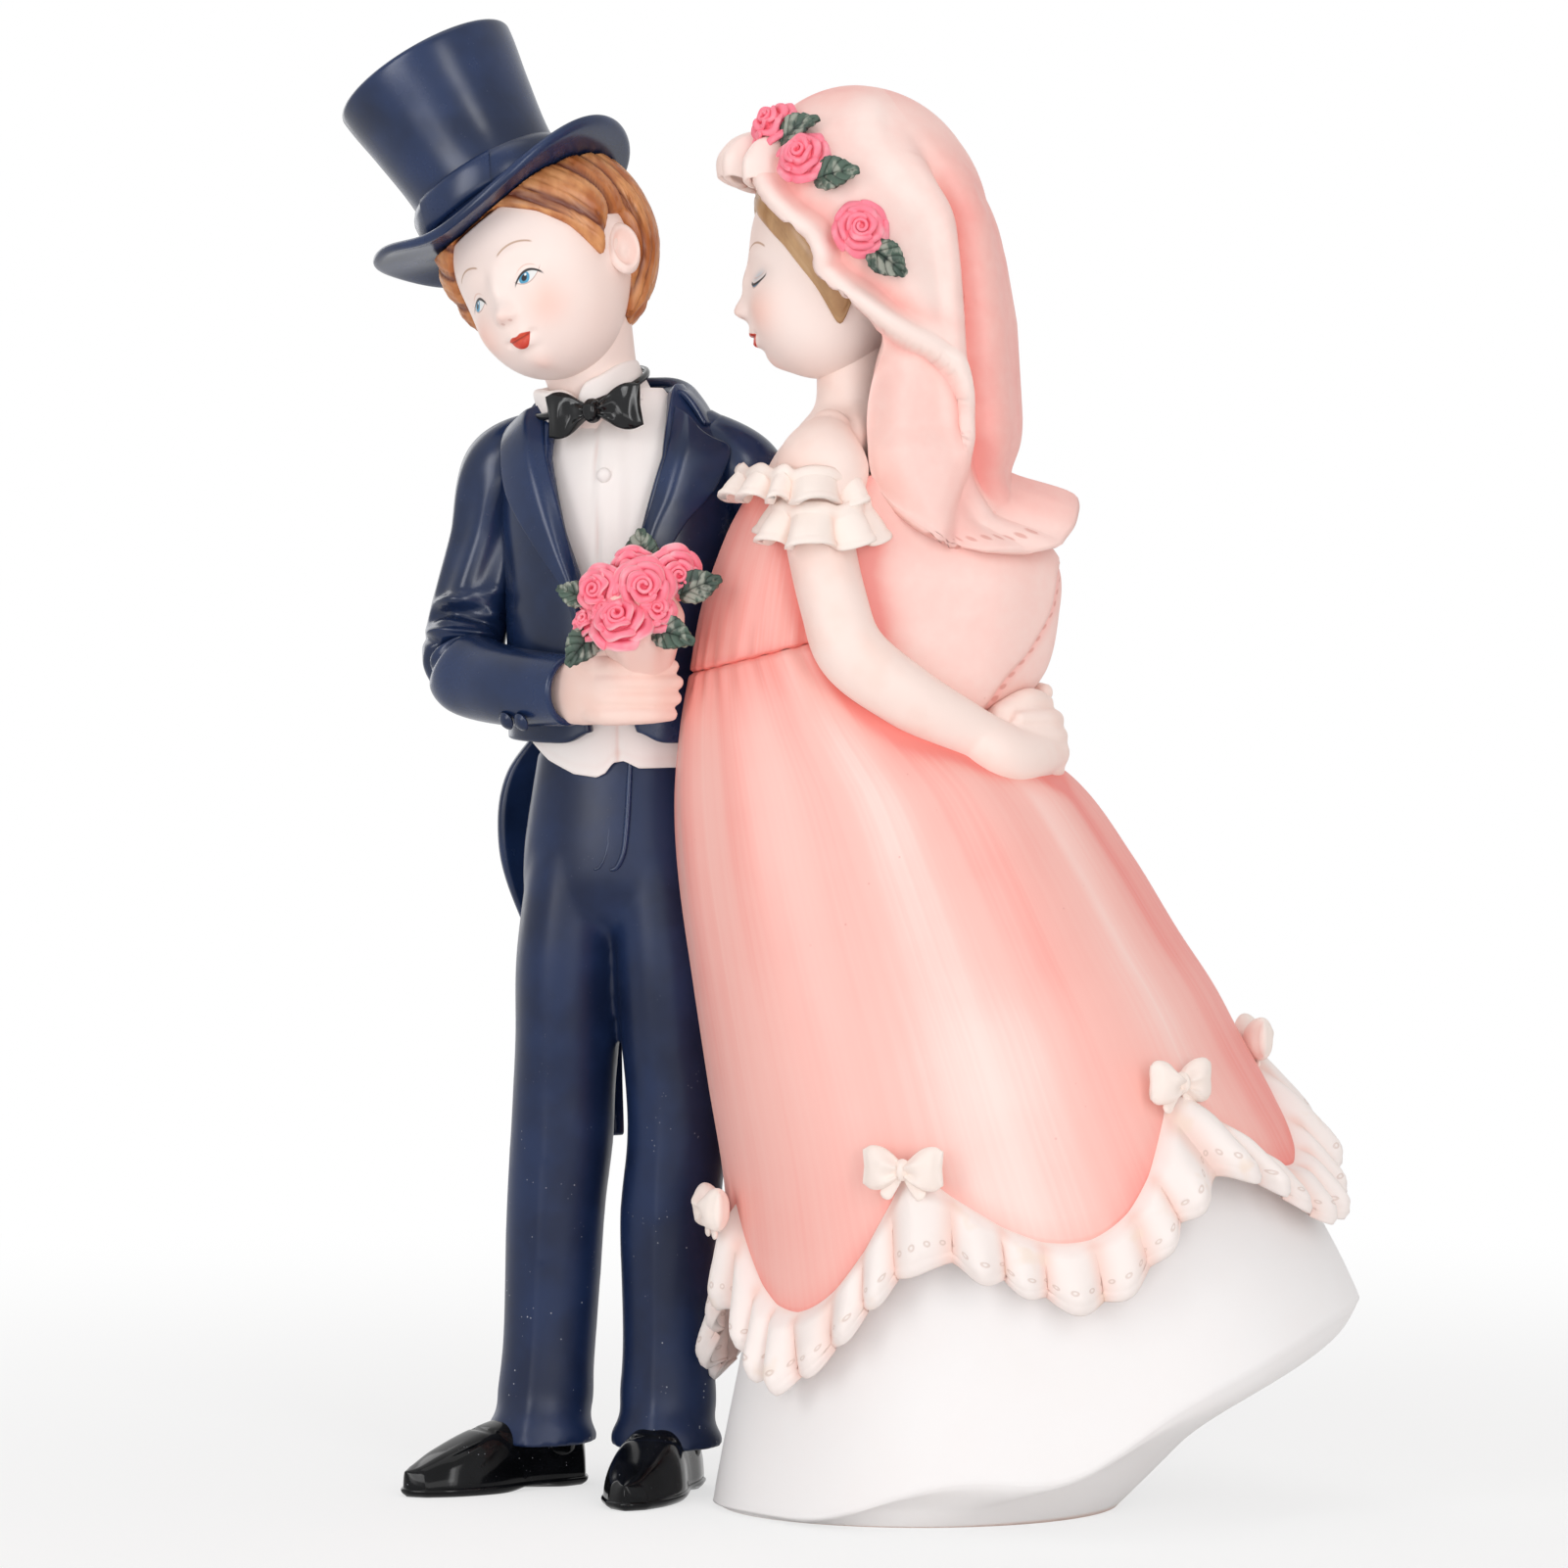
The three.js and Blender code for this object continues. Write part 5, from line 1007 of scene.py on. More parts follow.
button = domed(14, 28, -20, 0.95, 0.55, rim=0.12)
buttons = [place(button, at, pitch=30, yaw=-30) for at in ((-6.9, -13.9, 83.6), (-8.9, -12.8, 83.7))]
build("boy_cuff_buttons", closed(buttons, BODY), navy, ["boy_cuff_button"])

# %% [markdown]
# ## Trousers and shoes
# Two legs and a seat run into one casting, so they are made as three closed shapes and fused to a
# single skin; joining the grids point by point would be possible, but the fork would pinch. The fly
# is two thin ridges. Each shoe is an upper on a thin welted sole with a low heel.

# %% Trousers
RIGHT_ANKLE, LEFT_ANKLE = -8.6, 5.4


def leg(ankle):
    """Level oval sections along a smooth side curve, with a pressed crease before and behind."""
    s = np.sign(ankle)
    z = [4.8, 8.8, 16, 30, 41.4, 49, 58, 69]
    x = [ankle + 0.2 * s, ankle, mix(ankle, 6 * s, 0.2), mix(ankle, 6 * s, 0.5)]
    x += [6.5 * s, 6.0 * s, 5.6 * s, 4.4 * s]
    y = [-1.2, -0.4, 0, 0, 0, 0, 0, 0]
    wide = [6.2, 5.35, 5.1, 5.45, 5.55, 5.6, 5.8, 5.6]
    deep = [5.9, 5.2, 5.0, 5.3, 5.8, 6.6, 7.2, 6.8]
    v, u = grid(120, 96)
    a = TURN * u
    crease = 0.55 * np.exp(-np.abs(np.sin(a / 2 - np.pi / 4 + np.pi / 2)) / 0.09) * ease(v, 0.7, 0.4)
    folds = 0.3 * np.sin(38 * v + 2.2 * np.sin(a)) * bump(v, 0.08, 0.1) * ease(v, 0.0, 0.06)
    folds += 0.22 * np.sin(24 * v + 1.5 * np.cos(a)) * bump(v, 0.5, 0.1) * np.maximum(np.cos(a) * -s, 0)
    return vec(knots(x, v) + (knots(wide, v) + folds) * np.cos(a),
               knots(y, v) + (knots(deep, v) + crease + folds) * np.sin(a), knots(z, v))


v, u = grid(60, 96)
z, wide, deep = knots([59, 63.5, 69, 80.5], v), knots([4, 9.9, 10.7, 9.0], v), knots([2.4, 6.6, 7.5, 6.1], v)
hips = vec(wide * np.cos(TURN * u), deep * np.sin(TURN * u), z)
legs = closed([leg(RIGHT_ANKLE), leg(LEFT_ANKLE), hips], BODY)
fuse(build("boy_trousers_pressed", legs, navy_dusty, ["boy_trousers"]), 0.45, 12)

FLY_LINE = [(2.9, 79.5), (2.88, 76), (2.8, 72.5), (2.55, 69.6), (1.9, 68), (1.2, 67.6)]
fly_path = knots(FLY_LINE, np.linspace(0, 1, 60))
deep_at = np.interp(fly_path[:, 1], z[:, 0], deep[:, 0])
wide_at = np.interp(fly_path[:, 1], z[:, 0], wide[:, 0])
fly_front = vec(fly_path[:, 0], -deep_at * np.sqrt(1 - (fly_path[:, 0] / wide_at) ** 2), fly_path[:, 1])
fly = limb(fly_front, [0.3, 0.34, 0.34, 0.3, 0.2], 70, 12, up=(0, 1, 0))
flap = limb(fly_front - [1.9, 0, 0], [0.2, 0.22, 0.22, 0.12], 70, 12, up=(0, 1, 0))
build("boy_trousers_fly", closed([fly, flap], BODY), navy)

# %% Shoes
HEEL, SHOE = 4.7, 22.7  # the heel's end behind the ankle, and the whole length


def shoe_half(t):
    """Half width along the shoe: knots, rounded off by square roots at heel and toe."""
    heel, toe = np.sqrt(np.maximum(t, 0) / 0.07), np.sqrt(np.maximum(1 - t, 0) / 0.06)
    ends = np.minimum(1, heel) * np.minimum(1, toe)
    return 4.2 * knots([0.72, 0.86, 0.86, 1, 0.86, 0.42], t) * ends


def shoe_upper():
    """Half rounds standing on the sole, their height falling from the ankle to the toe, with a vamp seam."""
    v, u = grid(90, 60)
    t = (1 - np.cos(np.pi * mix(0.02, 0.98, v))) / 2
    s = u * 2
    arc = np.where(s <= 1, np.pi * s, np.pi)
    half, high = shoe_half(t), 6.8 * knots([0.8, 1, 1.05, 0.88, 0.62, 0.33], t)
    x = np.where(s <= 1, half * np.sign(np.cos(arc)) * np.abs(np.cos(arc)) ** 0.62, -half * (1 - 2 * (s - 1)))
    z = np.where(s <= 1, high * np.abs(np.sin(arc)) ** 0.85, 0) + 0.5
    vamp = bump(t, 0.58 - 0.16 * (1 - np.abs(np.sin(arc)) ** 2), 0.012) * (s <= 1) * (z > 1.2)
    return vec(x * (1 - 0.02 * vamp), HEEL - SHOE * t, z - 0.22 * vamp)


def shoe_sole():
    """The outline, a little wider than the upper, carried up from the floor over a rounded welt."""
    v, u = grid(9, 120)
    t = (1 - np.cos(np.pi * np.where(u < 0.5, 2 * u, 2 - 2 * u))) / 2
    side = np.where(u < 0.5, 1, -1)
    out = knots([-0.25, 0.05, 0.18, 0.12, -0.5], v)
    half = np.maximum(shoe_half(t) + out, 0.05)
    arch = 0.55 * bump(t, 0.36, 0.1) * ease(v, 0.6, 0.0)
    y = HEEL - SHOE * t + out * np.cos(np.pi * t)
    return vec(side * half, y, mix(0.0, 1.15, v) + arch)


ankle_post = limb([(0, 0, 4.0), (0, 0, 7.5), (0, 0, 11)], [3.6, 3.5, 3.2], 12, 32, up=(0, 1, 0))
for name, ankle, turn in (("right", RIGHT_ANKLE, -40), ("left", LEFT_ANKLE, 1)):
    shoe = [place(p, (ankle, 0, 0), yaw=turn) for p in (shoe_upper(), shoe_sole(), ankle_post)]
    build(f"boy_shoe_{name}_polished", closed(shoe, BODY), shoe_black, [f"boy_shoe_{name}"])

# %% [markdown]
# ## Hands
# Each hand is a palm and four fingers, made as separate closed tubes and fused, so that the fingers
# run into the palm as modelling clay would. The right fist closes round the bouquet.

# %% The boy's hands


def fist(start, knuckles, tips, thumb):
    """A flat palm that widens to the knuckles, four bent fingers and, where it shows, a thumb."""
    start, knuckles, tips = (np.array(p, float) for p in (start, knuckles, tips))
    palm = [start, mix(start, knuckles, 0.55), knuckles, mix(knuckles, tips, 0.4)]
    tubes = [limb(palm, [3.1, 3.7, 3.4, 2.7], 50, 40, flat=0.62)]
    for i in range(4):
        lift = np.array([0, 0, 2.6 - 1.68 * i])
        bent = mix(knuckles, tips, 0.6) + [0, -1.75, 0]
        root = mix(start, knuckles, 0.72) + 0.85 * lift + [0, -0.5, 0]
        short = np.array([-0.5 * abs(i - 1.3), 0, 0])
        finger = [root, knuckles + lift + [0, -1, 0], bent + lift, tips + lift + short]
        tubes.append(limb(finger, [1.3, 1.2, 1.02, 0.75], 40, 24))
    if thumb:
        tubes.append(limb(thumb, [1.5, 1.5, 1.2, 0.9], 26, 20))
    return tubes


THUMB = [(0, -11, 89), (4, -11, 90.6), (8, -11.4, 90.4)]
HANDS = {
    "right": fist((-6, -10.6, 87.1), (3.6, -15.8, 87), (10.6, -13.8, 87), THUMB),
    "left": fist((6.4, 14.5, 85.6), (-0.6, 14.2, 84.4), (-6, 13.2, 83.6), None),
}
for name, tubes in HANDS.items():
    hand = build(f"boy_hand_{name}_closed", closed(tubes, BODY), flushed, [f"boy_hand_{name}"])
    fuse(hand, 0.2, 3)

# %% [markdown]
# ## The girl's shoulders, arms and hands
# Bust, arms and clasped hands are one bare casting on the real figure. They are made as a stack of
# sections, two limbs and a handful of fingers, and fused so that the shoulders and wrists stay soft.

# %% Shoulders, arms and clasped hands


def gown_point(stations, t, turn, out):
    """A point of a slanted oval: stations give its left and right point in the side view and its half depth.
    It is the middle plus half the width times the cosine plus the depth times the sine, set out along
    the oval's normal."""
    lx, lz, rx, rz, deep = np.moveaxis(knots(stations, t), -1, 0)
    none = 0 * lx
    half = vec((rx - lx) / 2, none, (rz - lz) / 2)
    wide = np.linalg.norm(half, axis=-1)
    c, s = np.cos(turn), np.sin(turn)
    normal = unit(half * (c / wide**2)[..., None] + vec(none, s / deep, none))
    centre = vec((lx + rx) / 2, none, (lz + rz) / 2) + BRIDE
    return centre + half * c[..., None] + vec(none, deep * s, none) + (out + none)[..., None] * normal


BUST = [(-17, 106, -4.6, 106, 7.2), (-16.4, 108.5, -4, 108.5, 8), (-14.6, 112.2, -2.6, 112.5, 9),
        (-12, 115.3, -1.8, 116, 6.4), (-10.4, 117.5, -2, 118.2, 4.2), (-10.2, 121, -1.8, 122, 4),
        (-10, 125, -1.6, 126, 3.9)]
ARM = [(-8.8, -6.6, 115), (-9.6, -8.6, 111), (-10, -9.6, 104), (-8.4, -11.8, 96), (-6.4, -12.8, 91),
       (-0.8, -12, 86.6), (5.4, -9.4, 82.8), (8, -8, 81.2)]
CLASP = [(9.2, -4, 82.6), (12, -3.2, 83.3), (12.6, 0, 83), (12, 3, 82.6)]
THUMBS = [[(9.3, -5.2, 84.4), (12.2, -3.6, 86), (14.2, -1.2, 85.6)],
          [(9.5, 5.2, 84.4), (12.6, 3.2, 86.4), (14.2, 0.6, 86.8)]]
v, u = grid(60, 96)
bust = gown_point(BUST, v, TURN * u, 0)


def near_far(side, points):
    """The same points for the near arm, 1, or mirrored for the far arm, -1."""
    return np.array(points, float) * [1, side, 1] + BRIDE


bare = [bust]
for side in (1, -1):
    bare.append(limb(near_far(side, ARM), [2.2, 4.9, 3.75, 3.6, 3.7, 3.4, 3.15, 3.2], 90, 40, up=(0, 1, 0)))
    palm = [(5.6, -9.2, 82.4), (9.6, -6.8, 80), (13.8, -1.8 * side, 80.3)]
    bare.append(limb(near_far(side, palm), [3.3, 4.5, 4.1, 3.1], 40, 32, up=(0, 1, 0), flat=0.8))
for i in range(4):
    lift, reach = 83.4 - 1.75 * i, 14.7 + 0.5 * np.sin(i)
    finger = [(reach - 3.6, 4.2, lift), (reach, 0.4, lift + 0.3), (reach - 0.3, -3.6, lift + 0.6),
              (reach - 3.6, -6.7, lift + 0.7)]
    bare.append(limb(np.array(finger) + BRIDE, [1.25, 1.2, 1.1, 0.85], 30, 18))
bare.append(limb(np.array(CLASP) + BRIDE, [3.0, 2.6, 3.2, 3], 30, 24))
for thumb in THUMBS:
    bare.append(limb(np.array(thumb) + BRIDE, [1.5, 1.35, 0.95], 26, 18))
flesh = build("girl_bare_shoulders_and_arms", [patch(p, caps=(0, -1)) for p in bare], blushed,
              ["girl_shoulders", "girl_arm_left", "girl_arm_right", "girl_clasped_hands"])
fuse(flesh, 0.3, 3)

# %% [markdown]
# ## The gown
# Coral paint is brushed down the skirt over a paler ground, so the brush lines fan out from the waist
# and some panels stay pale; one pale band down the right of the skirt is a painted highlight. The tone of
# each panel is a mark on the mesh, and the paint adds the lines. The mark also holds painted shade where
# the gown meets the arm and in the crevice by the train.

# %% Coral paint and the bodice


def gown_recipe(b):
    """From the mark's tone to one of three pinks, with long brush lines down the cloth and small flaws."""
    wide_lines, fine_lines = b.streaks(46, 1.1), b.streaks(240, 1.7)
    tone = b.mark("tone") + 0.26 * (wide_lines - 0.5) + 0.2 * (fine_lines - 0.5)
    tone = tone + 0.3 * (b.cloud(60, 3.0) - 0.5)
    colour = tone.over(0.0, 0.55).blend(hue("fde2da"), hue("fabdb3"))
    colour = tone.over(0.5, 1.05).blend(colour, hue("f4897f"))
    flaw = b.specks(420, 0.08) * 0.35
    colour = flaw.blend(colour, hue("c9665c"))
    return colour, 0.42 + 0.16 * fine_lines, fine_lines + 0.3 * wide_lines


coral = finish("coral_brushed", gown_recipe, 0.1)


def shade_by_arm(points):
    """Painted shade where the gown touches an arm: 1 there and fading out over 3 mm, a bell of the distance
    to the near arm's axis, with the far side folded over to the near one."""
    track = knots(near_far(1, ARM + [(12, -5, 79.5)]), np.linspace(0, 1, 60))
    folded = vec(points[..., 0], -np.abs(points[..., 1]), points[..., 2])
    gap = np.min([np.linalg.norm(folded - spot, axis=-1) for spot in track], 0)
    return bump(np.maximum(gap - 3.6, 0), 0, 1.6)


WAIST = (-23.7, 88.8, -1.5, 94.6, 9.8)  # the station where bodice and skirt meet
BODICE = [WAIST, (-22.5, 96, -2, 97.5, 9.2), (-19.9, 103.5, -3.4, 103, 8.4), (-17.5, 108, -4.4, 107.5, 8)]
v, u = grid(70, 192)
turn = TURN * u
gather = 0.14 * np.sin(31 * turn + 0.8 * np.sin(4 * turn)) * bump(v, 0.0, 0.2)
shape = gown_point(BODICE, v, turn, gather - 0.5 * bump(v, 0.0, 0.02))
tone = 0.72 + 0.2 * bump(v, 0.0, 0.06) + 0.12 * np.cos(turn - np.pi) - 0.12 * bump(v, 0.55, 0.3)
# coral wash and painted shade where the bodice meets the arm
tone += 0.3 * shade_by_arm(shape)
# deeper coral in the crevice between bodice and train, near and far: coral wash and painted shade
tone += 0.4 * (bump(np.degrees(turn), 320, 24) + bump(np.degrees(turn), 40, 24))
build("girl_bodice_brushed", [patch(shape, caps=(0, -1), tone=tone)], coral, ["girl_bodice"])

# %% Overskirt
SKIRT = [WAIST, (-24.9, 83, 7.5, 84.5, 13), (-25.5, 75, 17, 77.5, 16),
         (-25, 66, 23, 69.5, 18.5), (-23.5, 55, 28, 61.5, 20.8), (-22, 45, 32, 55.5, 22.6),
         (-20.1, 32.5, 35.5, 49, 24), (-19.8, 18, 43, 35.5, 25.2), (-21.3, 1.6, 47.9, 22.2, 25.8)]
BOW_LINE, FIRST_BOW, SCALLOPS = 6.05, np.radians(192), 6  # station and turn of the first bow, and how many


def skirt(turn, station, out):
    """The gown's point at a station, which counts the skirt's ovals down from 0 at the waist."""
    return gown_point(SKIRT, station / (len(SKIRT) - 1), turn, out)


def scallop(turn):
    """0 at each bow and 1 half way between: the size of a sine."""
    return np.abs(np.sin(SCALLOPS / 2 * (turn - FIRST_BOW)))


def hem_station(turn):
    """Where the overskirt ends: at the bows' line, and lower by the scallop between two bows."""
    return BOW_LINE + 0.84 * scallop(turn)


def skirt_folds(turn, station):
    """Five broad folds that deepen down the skirt, and narrower ones about the hip."""
    broad = 0.45 * np.sin(5 * turn + 0.5) * ease(station, 0.4, 3)
    return broad + 0.22 * np.sin(11 * turn + 1.1) * bump(station, 2.2, 1.8)


v, u = grid(96, 300)
turn = TURN * u
hem = hem_station(turn)
station = v * hem
flutes = 0.16 * np.sin(29 * turn + 0.7 * np.sin(5 * turn)) * bump(station, 0.1, 0.5)
folds = skirt_folds(turn, station)
sunk = -0.5 * bump(station, 0, 0.05) - 0.25 * ease(station, hem - 0.3, hem)
shape = skirt(turn, station, flutes + folds + sunk)
degrees = np.degrees(turn)
near = np.where(degrees > 180, degrees, 360 - degrees)  # the far side is painted as the near side is
tone = 0.58 + 0.24 * bump(station, 0.0, 0.9) - 0.26 * bump(near, 272, 13) + 0.16 * bump(near, 295, 9)
# the pale band at 317 degrees, mirrored on the far side, is a painted highlight down the right of the skirt
tone += -0.22 * bump(near, 317, 7) + 0.26 * ease(near, 326, 342) + 0.06 * bump(near, 205, 22)
tone += 0.14 * bump(station, hem - 0.06, 0.1) + 0.25 * bump(station, hem, 0.03)
tone += 0.12 * np.sin(13 * turn) * bump(station, 2, 1.5) - 0.06 * bump(station, 5.2, 0.9)
# coral wash and painted shade where the skirt meets the arm
tone += 0.42 * shade_by_arm(shape) - 0.16 * bump(near, 277, 22) * ease(station, 3.0, 5.0)
both_sides = np.concatenate([shape, skirt(turn, station, -2.0)[::-1]])
overskirt = patch(both_sides, tone=np.concatenate([tone, tone[::-1]]))
build("girl_overskirt_brushed", [overskirt], coral, ["girl_overskirt"])

# %% Underskirt
v, u = grid(54, 240)
turn = TURN * u
station = mix(4.6, 8.0, v)
out = mix(-2.6, -0.3, ease(station, 6.6, 8)) + 0.35 * np.sin(6 * turn + 1) * ease(station, 6.6, 7.6)
skirt_rows = skirt(turn, station, out)
side = np.cos(turn)
sag = 2.6 * bump(side, -0.1, 0.5) + 3.4 * bump(side, -0.72, 0.32)
sag += 4.9 * bump(side, 0.1, 0.3) + 0.9 * bump(side, 0.62, 0.25)
ripple = 0.4 * np.sin(5 * turn) * ease(station, 7.4, 8) * (1 - side**4)
skirt_rows[..., 2] -= ease(station, 6.8, 8) * sag + ripple
skirt_rows[..., 2] = np.maximum(skirt_rows[..., 2], 0.4)
foot = vec(0.7 + 21.3 * np.cos(turn[0]), 18.5 * np.sin(turn[0]), 0) + BRIDE
hem = skirt_rows[-1]
w, _ = grid(32, 240)
arch = 0.3 * np.sin(np.pi * w)
level = mix(hem[:, 2], 0, w) - arch * (hem[:, 2] / 22) + arch
tuck = 0.45 * (1 - np.cos(np.pi / 2 * w)) + 0.55 * w
tuck = 0.7 * tuck + 0.3 * ease(w, 0.1, 0.7)
sweep = vec(mix(hem[:, 0], foot[:, 0], tuck), mix(hem[:, 1], foot[:, 1], tuck), level)
whole = np.concatenate([skirt_rows, sweep[1:]])
stain = np.concatenate([0 * v, 0.9 * ease(w[1:], 0.96, 1.0)])
underskirt = patch(whole, caps=(0, -1), wash=stain)
build("girl_underskirt_plain", [underskirt], white, ["girl_underskirt"])

# %% [markdown]
# ## Ruffle and bows
# The ruffle is a gathered ribbon: it starts flat at its seam and swells into puffs, with sharp valleys
# between them and a lower edge that turns under. Slower waves, added to the turn, keep the puffs
# uneven. Small eyelets run along it. A bow of two loops, two tails and a knot covers each peak.

# %% Ruffle


def eyelet_recipe(b):
    """White matt with a row of small pierced rings along the ribbon, and warm paint left in the valleys."""
    crease = b.mark("wash").over(0.1, 1.0)
    turn_in_cell = b.math("FRACT", b.map("X") * 150.0) - 0.5
    down = (b.map("Y") - 0.74) * 8.5
    ring = ((turn_in_cell * 1.3) ** 2 + down**2) ** 0.5
    band = abs(ring - 0.21).over(0.12, 0.04)
    grain = b.cloud(1400, 2.0)
    colour = (0.6 * crease + 0.1 * b.cloud(160, 3.0)).blend(hue("f9f0ec"), hue("f2c6b8"))
    stain = b.cloud(260, 2.0).over(0.6, 0.75) * 0.5
    colour = stain.blend(colour, hue("f3dcc9"))
    colour = (0.42 * band).blend(colour, hue("c9a99b"))
    return colour, 0.6 + 0.1 * grain, grain * 0.3 - 0.8 * band


eyelets = finish("eyelet_lace", eyelet_recipe, 0.4, 0.12)
lace = finish("lace_cream", lambda b: white_recipe(b, "f1c3b0", "fbeee6"), 0.1)
v, u = grid(36, 800)
turn = TURN * u
fan = 0.03 * v * np.sin(SCALLOPS * (turn - FIRST_BOW))
uneven = turn - fan + 0.015 * np.sin(5 * turn + 0.6) + 0.02 * np.sin(13 * turn + 2)
uneven += v * (0.006 * np.sin(19 * turn) + 0.05 * np.sin(4 * turn + 2))
wave = np.abs(np.sin(21 * uneven))
puff = (0.5 * wave + 0.5 * wave**2) * (0.85 + 0.16 * np.sin(7 * turn + 1) + 0.16 * np.sin(17 * turn))
low = 6.73 + 0.55 * scallop(turn) ** 2 + 0.07 * (puff - 0.5)
top = hem_station(turn) - 0.03
station = mix(top, low, v)
swell = (0.5 + 2.3 * puff) * knots([0.0, 0.36, 0.6, 0.8, 1.0, 1.08, 0.7], v) + 0.3 * bump(v, 0.94, 0.035)
shape = skirt(turn, station, skirt_folds(turn, station) + mix(-0.8, 0.3, ease(v, 0, 0.25)) + swell)
wash = np.maximum(1 - puff, 0) ** 1.5 * ease(v, 0.02, 0.2) + 0.7 * bump(v, 0, 0.1)
ruffle = patch(shape, wash=wash)
thicken(build("girl_ruffle_gathered", [ruffle], eyelets, ["girl_ruffle"], sheet=True), 1.0, 0)

# %% Bows


def bow_loop(side, span, high, thick):
    """One loop: a closed ring carried from the knot outwards, puffed in its middle and pinched at the
    knot."""
    v, u = grid(30, 44)
    a = TURN * u
    half = high / 2 * knots([0.4, 0.68, 0.9, 1.0, 0.98, 0.78], v)
    deep = thick / 2 * knots([0.75, 1.05, 1.2, 1.1, 0.85, 0.35], v)
    up = half * np.sign(np.sin(a)) * np.abs(np.sin(a)) ** 0.85
    pleat = 0.16 * thick * np.sin(6 * np.sin(a)) * (1 - ease(v, 0.1, 0.7))
    reach = span / 2 * (0.1 + 0.86 * v + 0.07 * np.abs(np.sin(a)) * v)
    return vec(side * reach, -deep * np.cos(a) - np.where(np.cos(a) > 0, pleat, 0), up + 0.05 * high * v)


def bow_tail(side, span):
    """A short limb that hangs outwards and widens, pressed flat."""
    path = [(0, 0, 0), (side * 0.14 * span, -0.1, -0.2 * span), (side * 0.3 * span, 0.1, -0.42 * span)]
    return limb(path, [0.07 * span, 0.1 * span, 0.12 * span], 16, 16, up=(0, 1, 0)) * [1, 0.45, 1]


BOW = [bow_loop(1, 8.4, 4.6, 2.7), bow_loop(-1, 8.4, 4.6, 2.7), bow_tail(1, 6.0), bow_tail(-1, 6.0)]
BOW.append(pleated_knot((0.84, 1.05, 1.155), 0.21, 4, 0.1, 84, 14, 24))
for k in range(SCALLOPS):
    turn = FIRST_BOW + TURN * k / SCALLOPS
    seat = skirt(np.array([turn]), np.array([BOW_LINE - 0.05]), 2.1)[0]
    bow = closed(BOW, {"at": seat, "yaw": np.degrees(turn) + 90}, wash=0.06)
    build(f"girl_skirt_bow_{k + 1}_ribbon", bow, lace, [f"girl_skirt_bow_{k + 1}"])

# %% Frills at the neckline and sleeves


def frill(wide, deep, flare, drop, waves, depth, seed):
    """A gathered band: its upper edge hugs what it is sewn to, and its lower edge stands out by a cosine of
    an uneven turn. With the points comes the wash in its valleys."""
    v, u = grid(22, 40 * waves)
    a = TURN * u
    b = a + 0.1 * np.sin(3 * a + seed) + 0.06 * np.sin(7 * a + 2 * seed)
    wave = np.cos(waves * b)
    swell = flare * v**1.3 + depth * wave * ease(v, -0.1, 0.8)
    swell += 0.3 * bump(v, 0.12, 0.1) + 0.25 * bump(v, 0.96, 0.06)
    height = 0.5 - drop * v + 0.5 * depth * np.sin(waves * b + 0.6) * mix(0.5, 1.0, v)
    points = vec((wide + swell) * np.cos(a), (deep + swell) * np.sin(a), height)
    return points, 0.55 * np.maximum(-wave, 0) * ease(v, 0.0, 0.3) + 0.4 * bump(v, 0.0, 0.1)


points, wash = frill(7.2, 13.9, 1.4, 3.3, 13, 0.95, 0.4)
neckline = patch(place(points, BRIDE + [-11, 0, 109.8], roll=3), wash=wash)
neckline = build("girl_neckline_frill_gathered", [neckline], lace,
                 ["girl_neckline_frill"], sheet=True)
thicken(neckline, 0.95, 0)
for name, side in (("left", 1), ("right", -1)):
    points, wash = frill(4.4, 4.6, 1.7, 4.2, 7, 0.95, 1.3 * side)
    seat = BRIDE + [-9.9, -9.4 * side, 106.8]
    cuff = patch(place(points, seat, pitch=8 * side), wash=wash)
    cuff = build(f"girl_sleeve_frill_{name}_gathered", [cuff], lace,
                 [f"girl_sleeve_frill_{name}"], sheet=True)
    thicken(cuff, 0.95, 0)

# %% [markdown]
# ## The veil
# One stiff cloth over the head: it opens round the face with a rolled, waving edge, puckers into a
# frill on the forehead, and falls behind the shoulder in a broad panel. A deep groove parts the panel
# from the roll at the back, and the hem flicks out. The smooth dome comes first; then every fold is a
# push in or out by the distance from a line drawn on the side view.

# %% Veil cloth
STITCH_UP, STITCH_STEP, NO_STITCH = 1.3, 1.35, 30.0  # above the hem, from hole to hole, and a mark for none


def away_from(line, x, z):
    """Signed distance in the side view from a smooth line through the given points, positive behind or
    above it: the nearest of many points of the line is searched for."""
    track = knots(line, np.linspace(0, 1, 160))
    gap = np.stack([x[..., None] - track[:, 0], z[..., None] - track[:, 1]], -1)
    nearest = np.argmin((gap**2).sum(-1), -1)
    ahead = np.gradient(track, axis=0)[nearest]
    best = np.take_along_axis(gap, nearest[..., None, None], -2)[..., 0, :]
    turn_of = ahead[..., 0] * best[..., 1] - ahead[..., 1] * best[..., 0]
    return np.sign(turn_of) * np.linalg.norm(best, axis=-1)


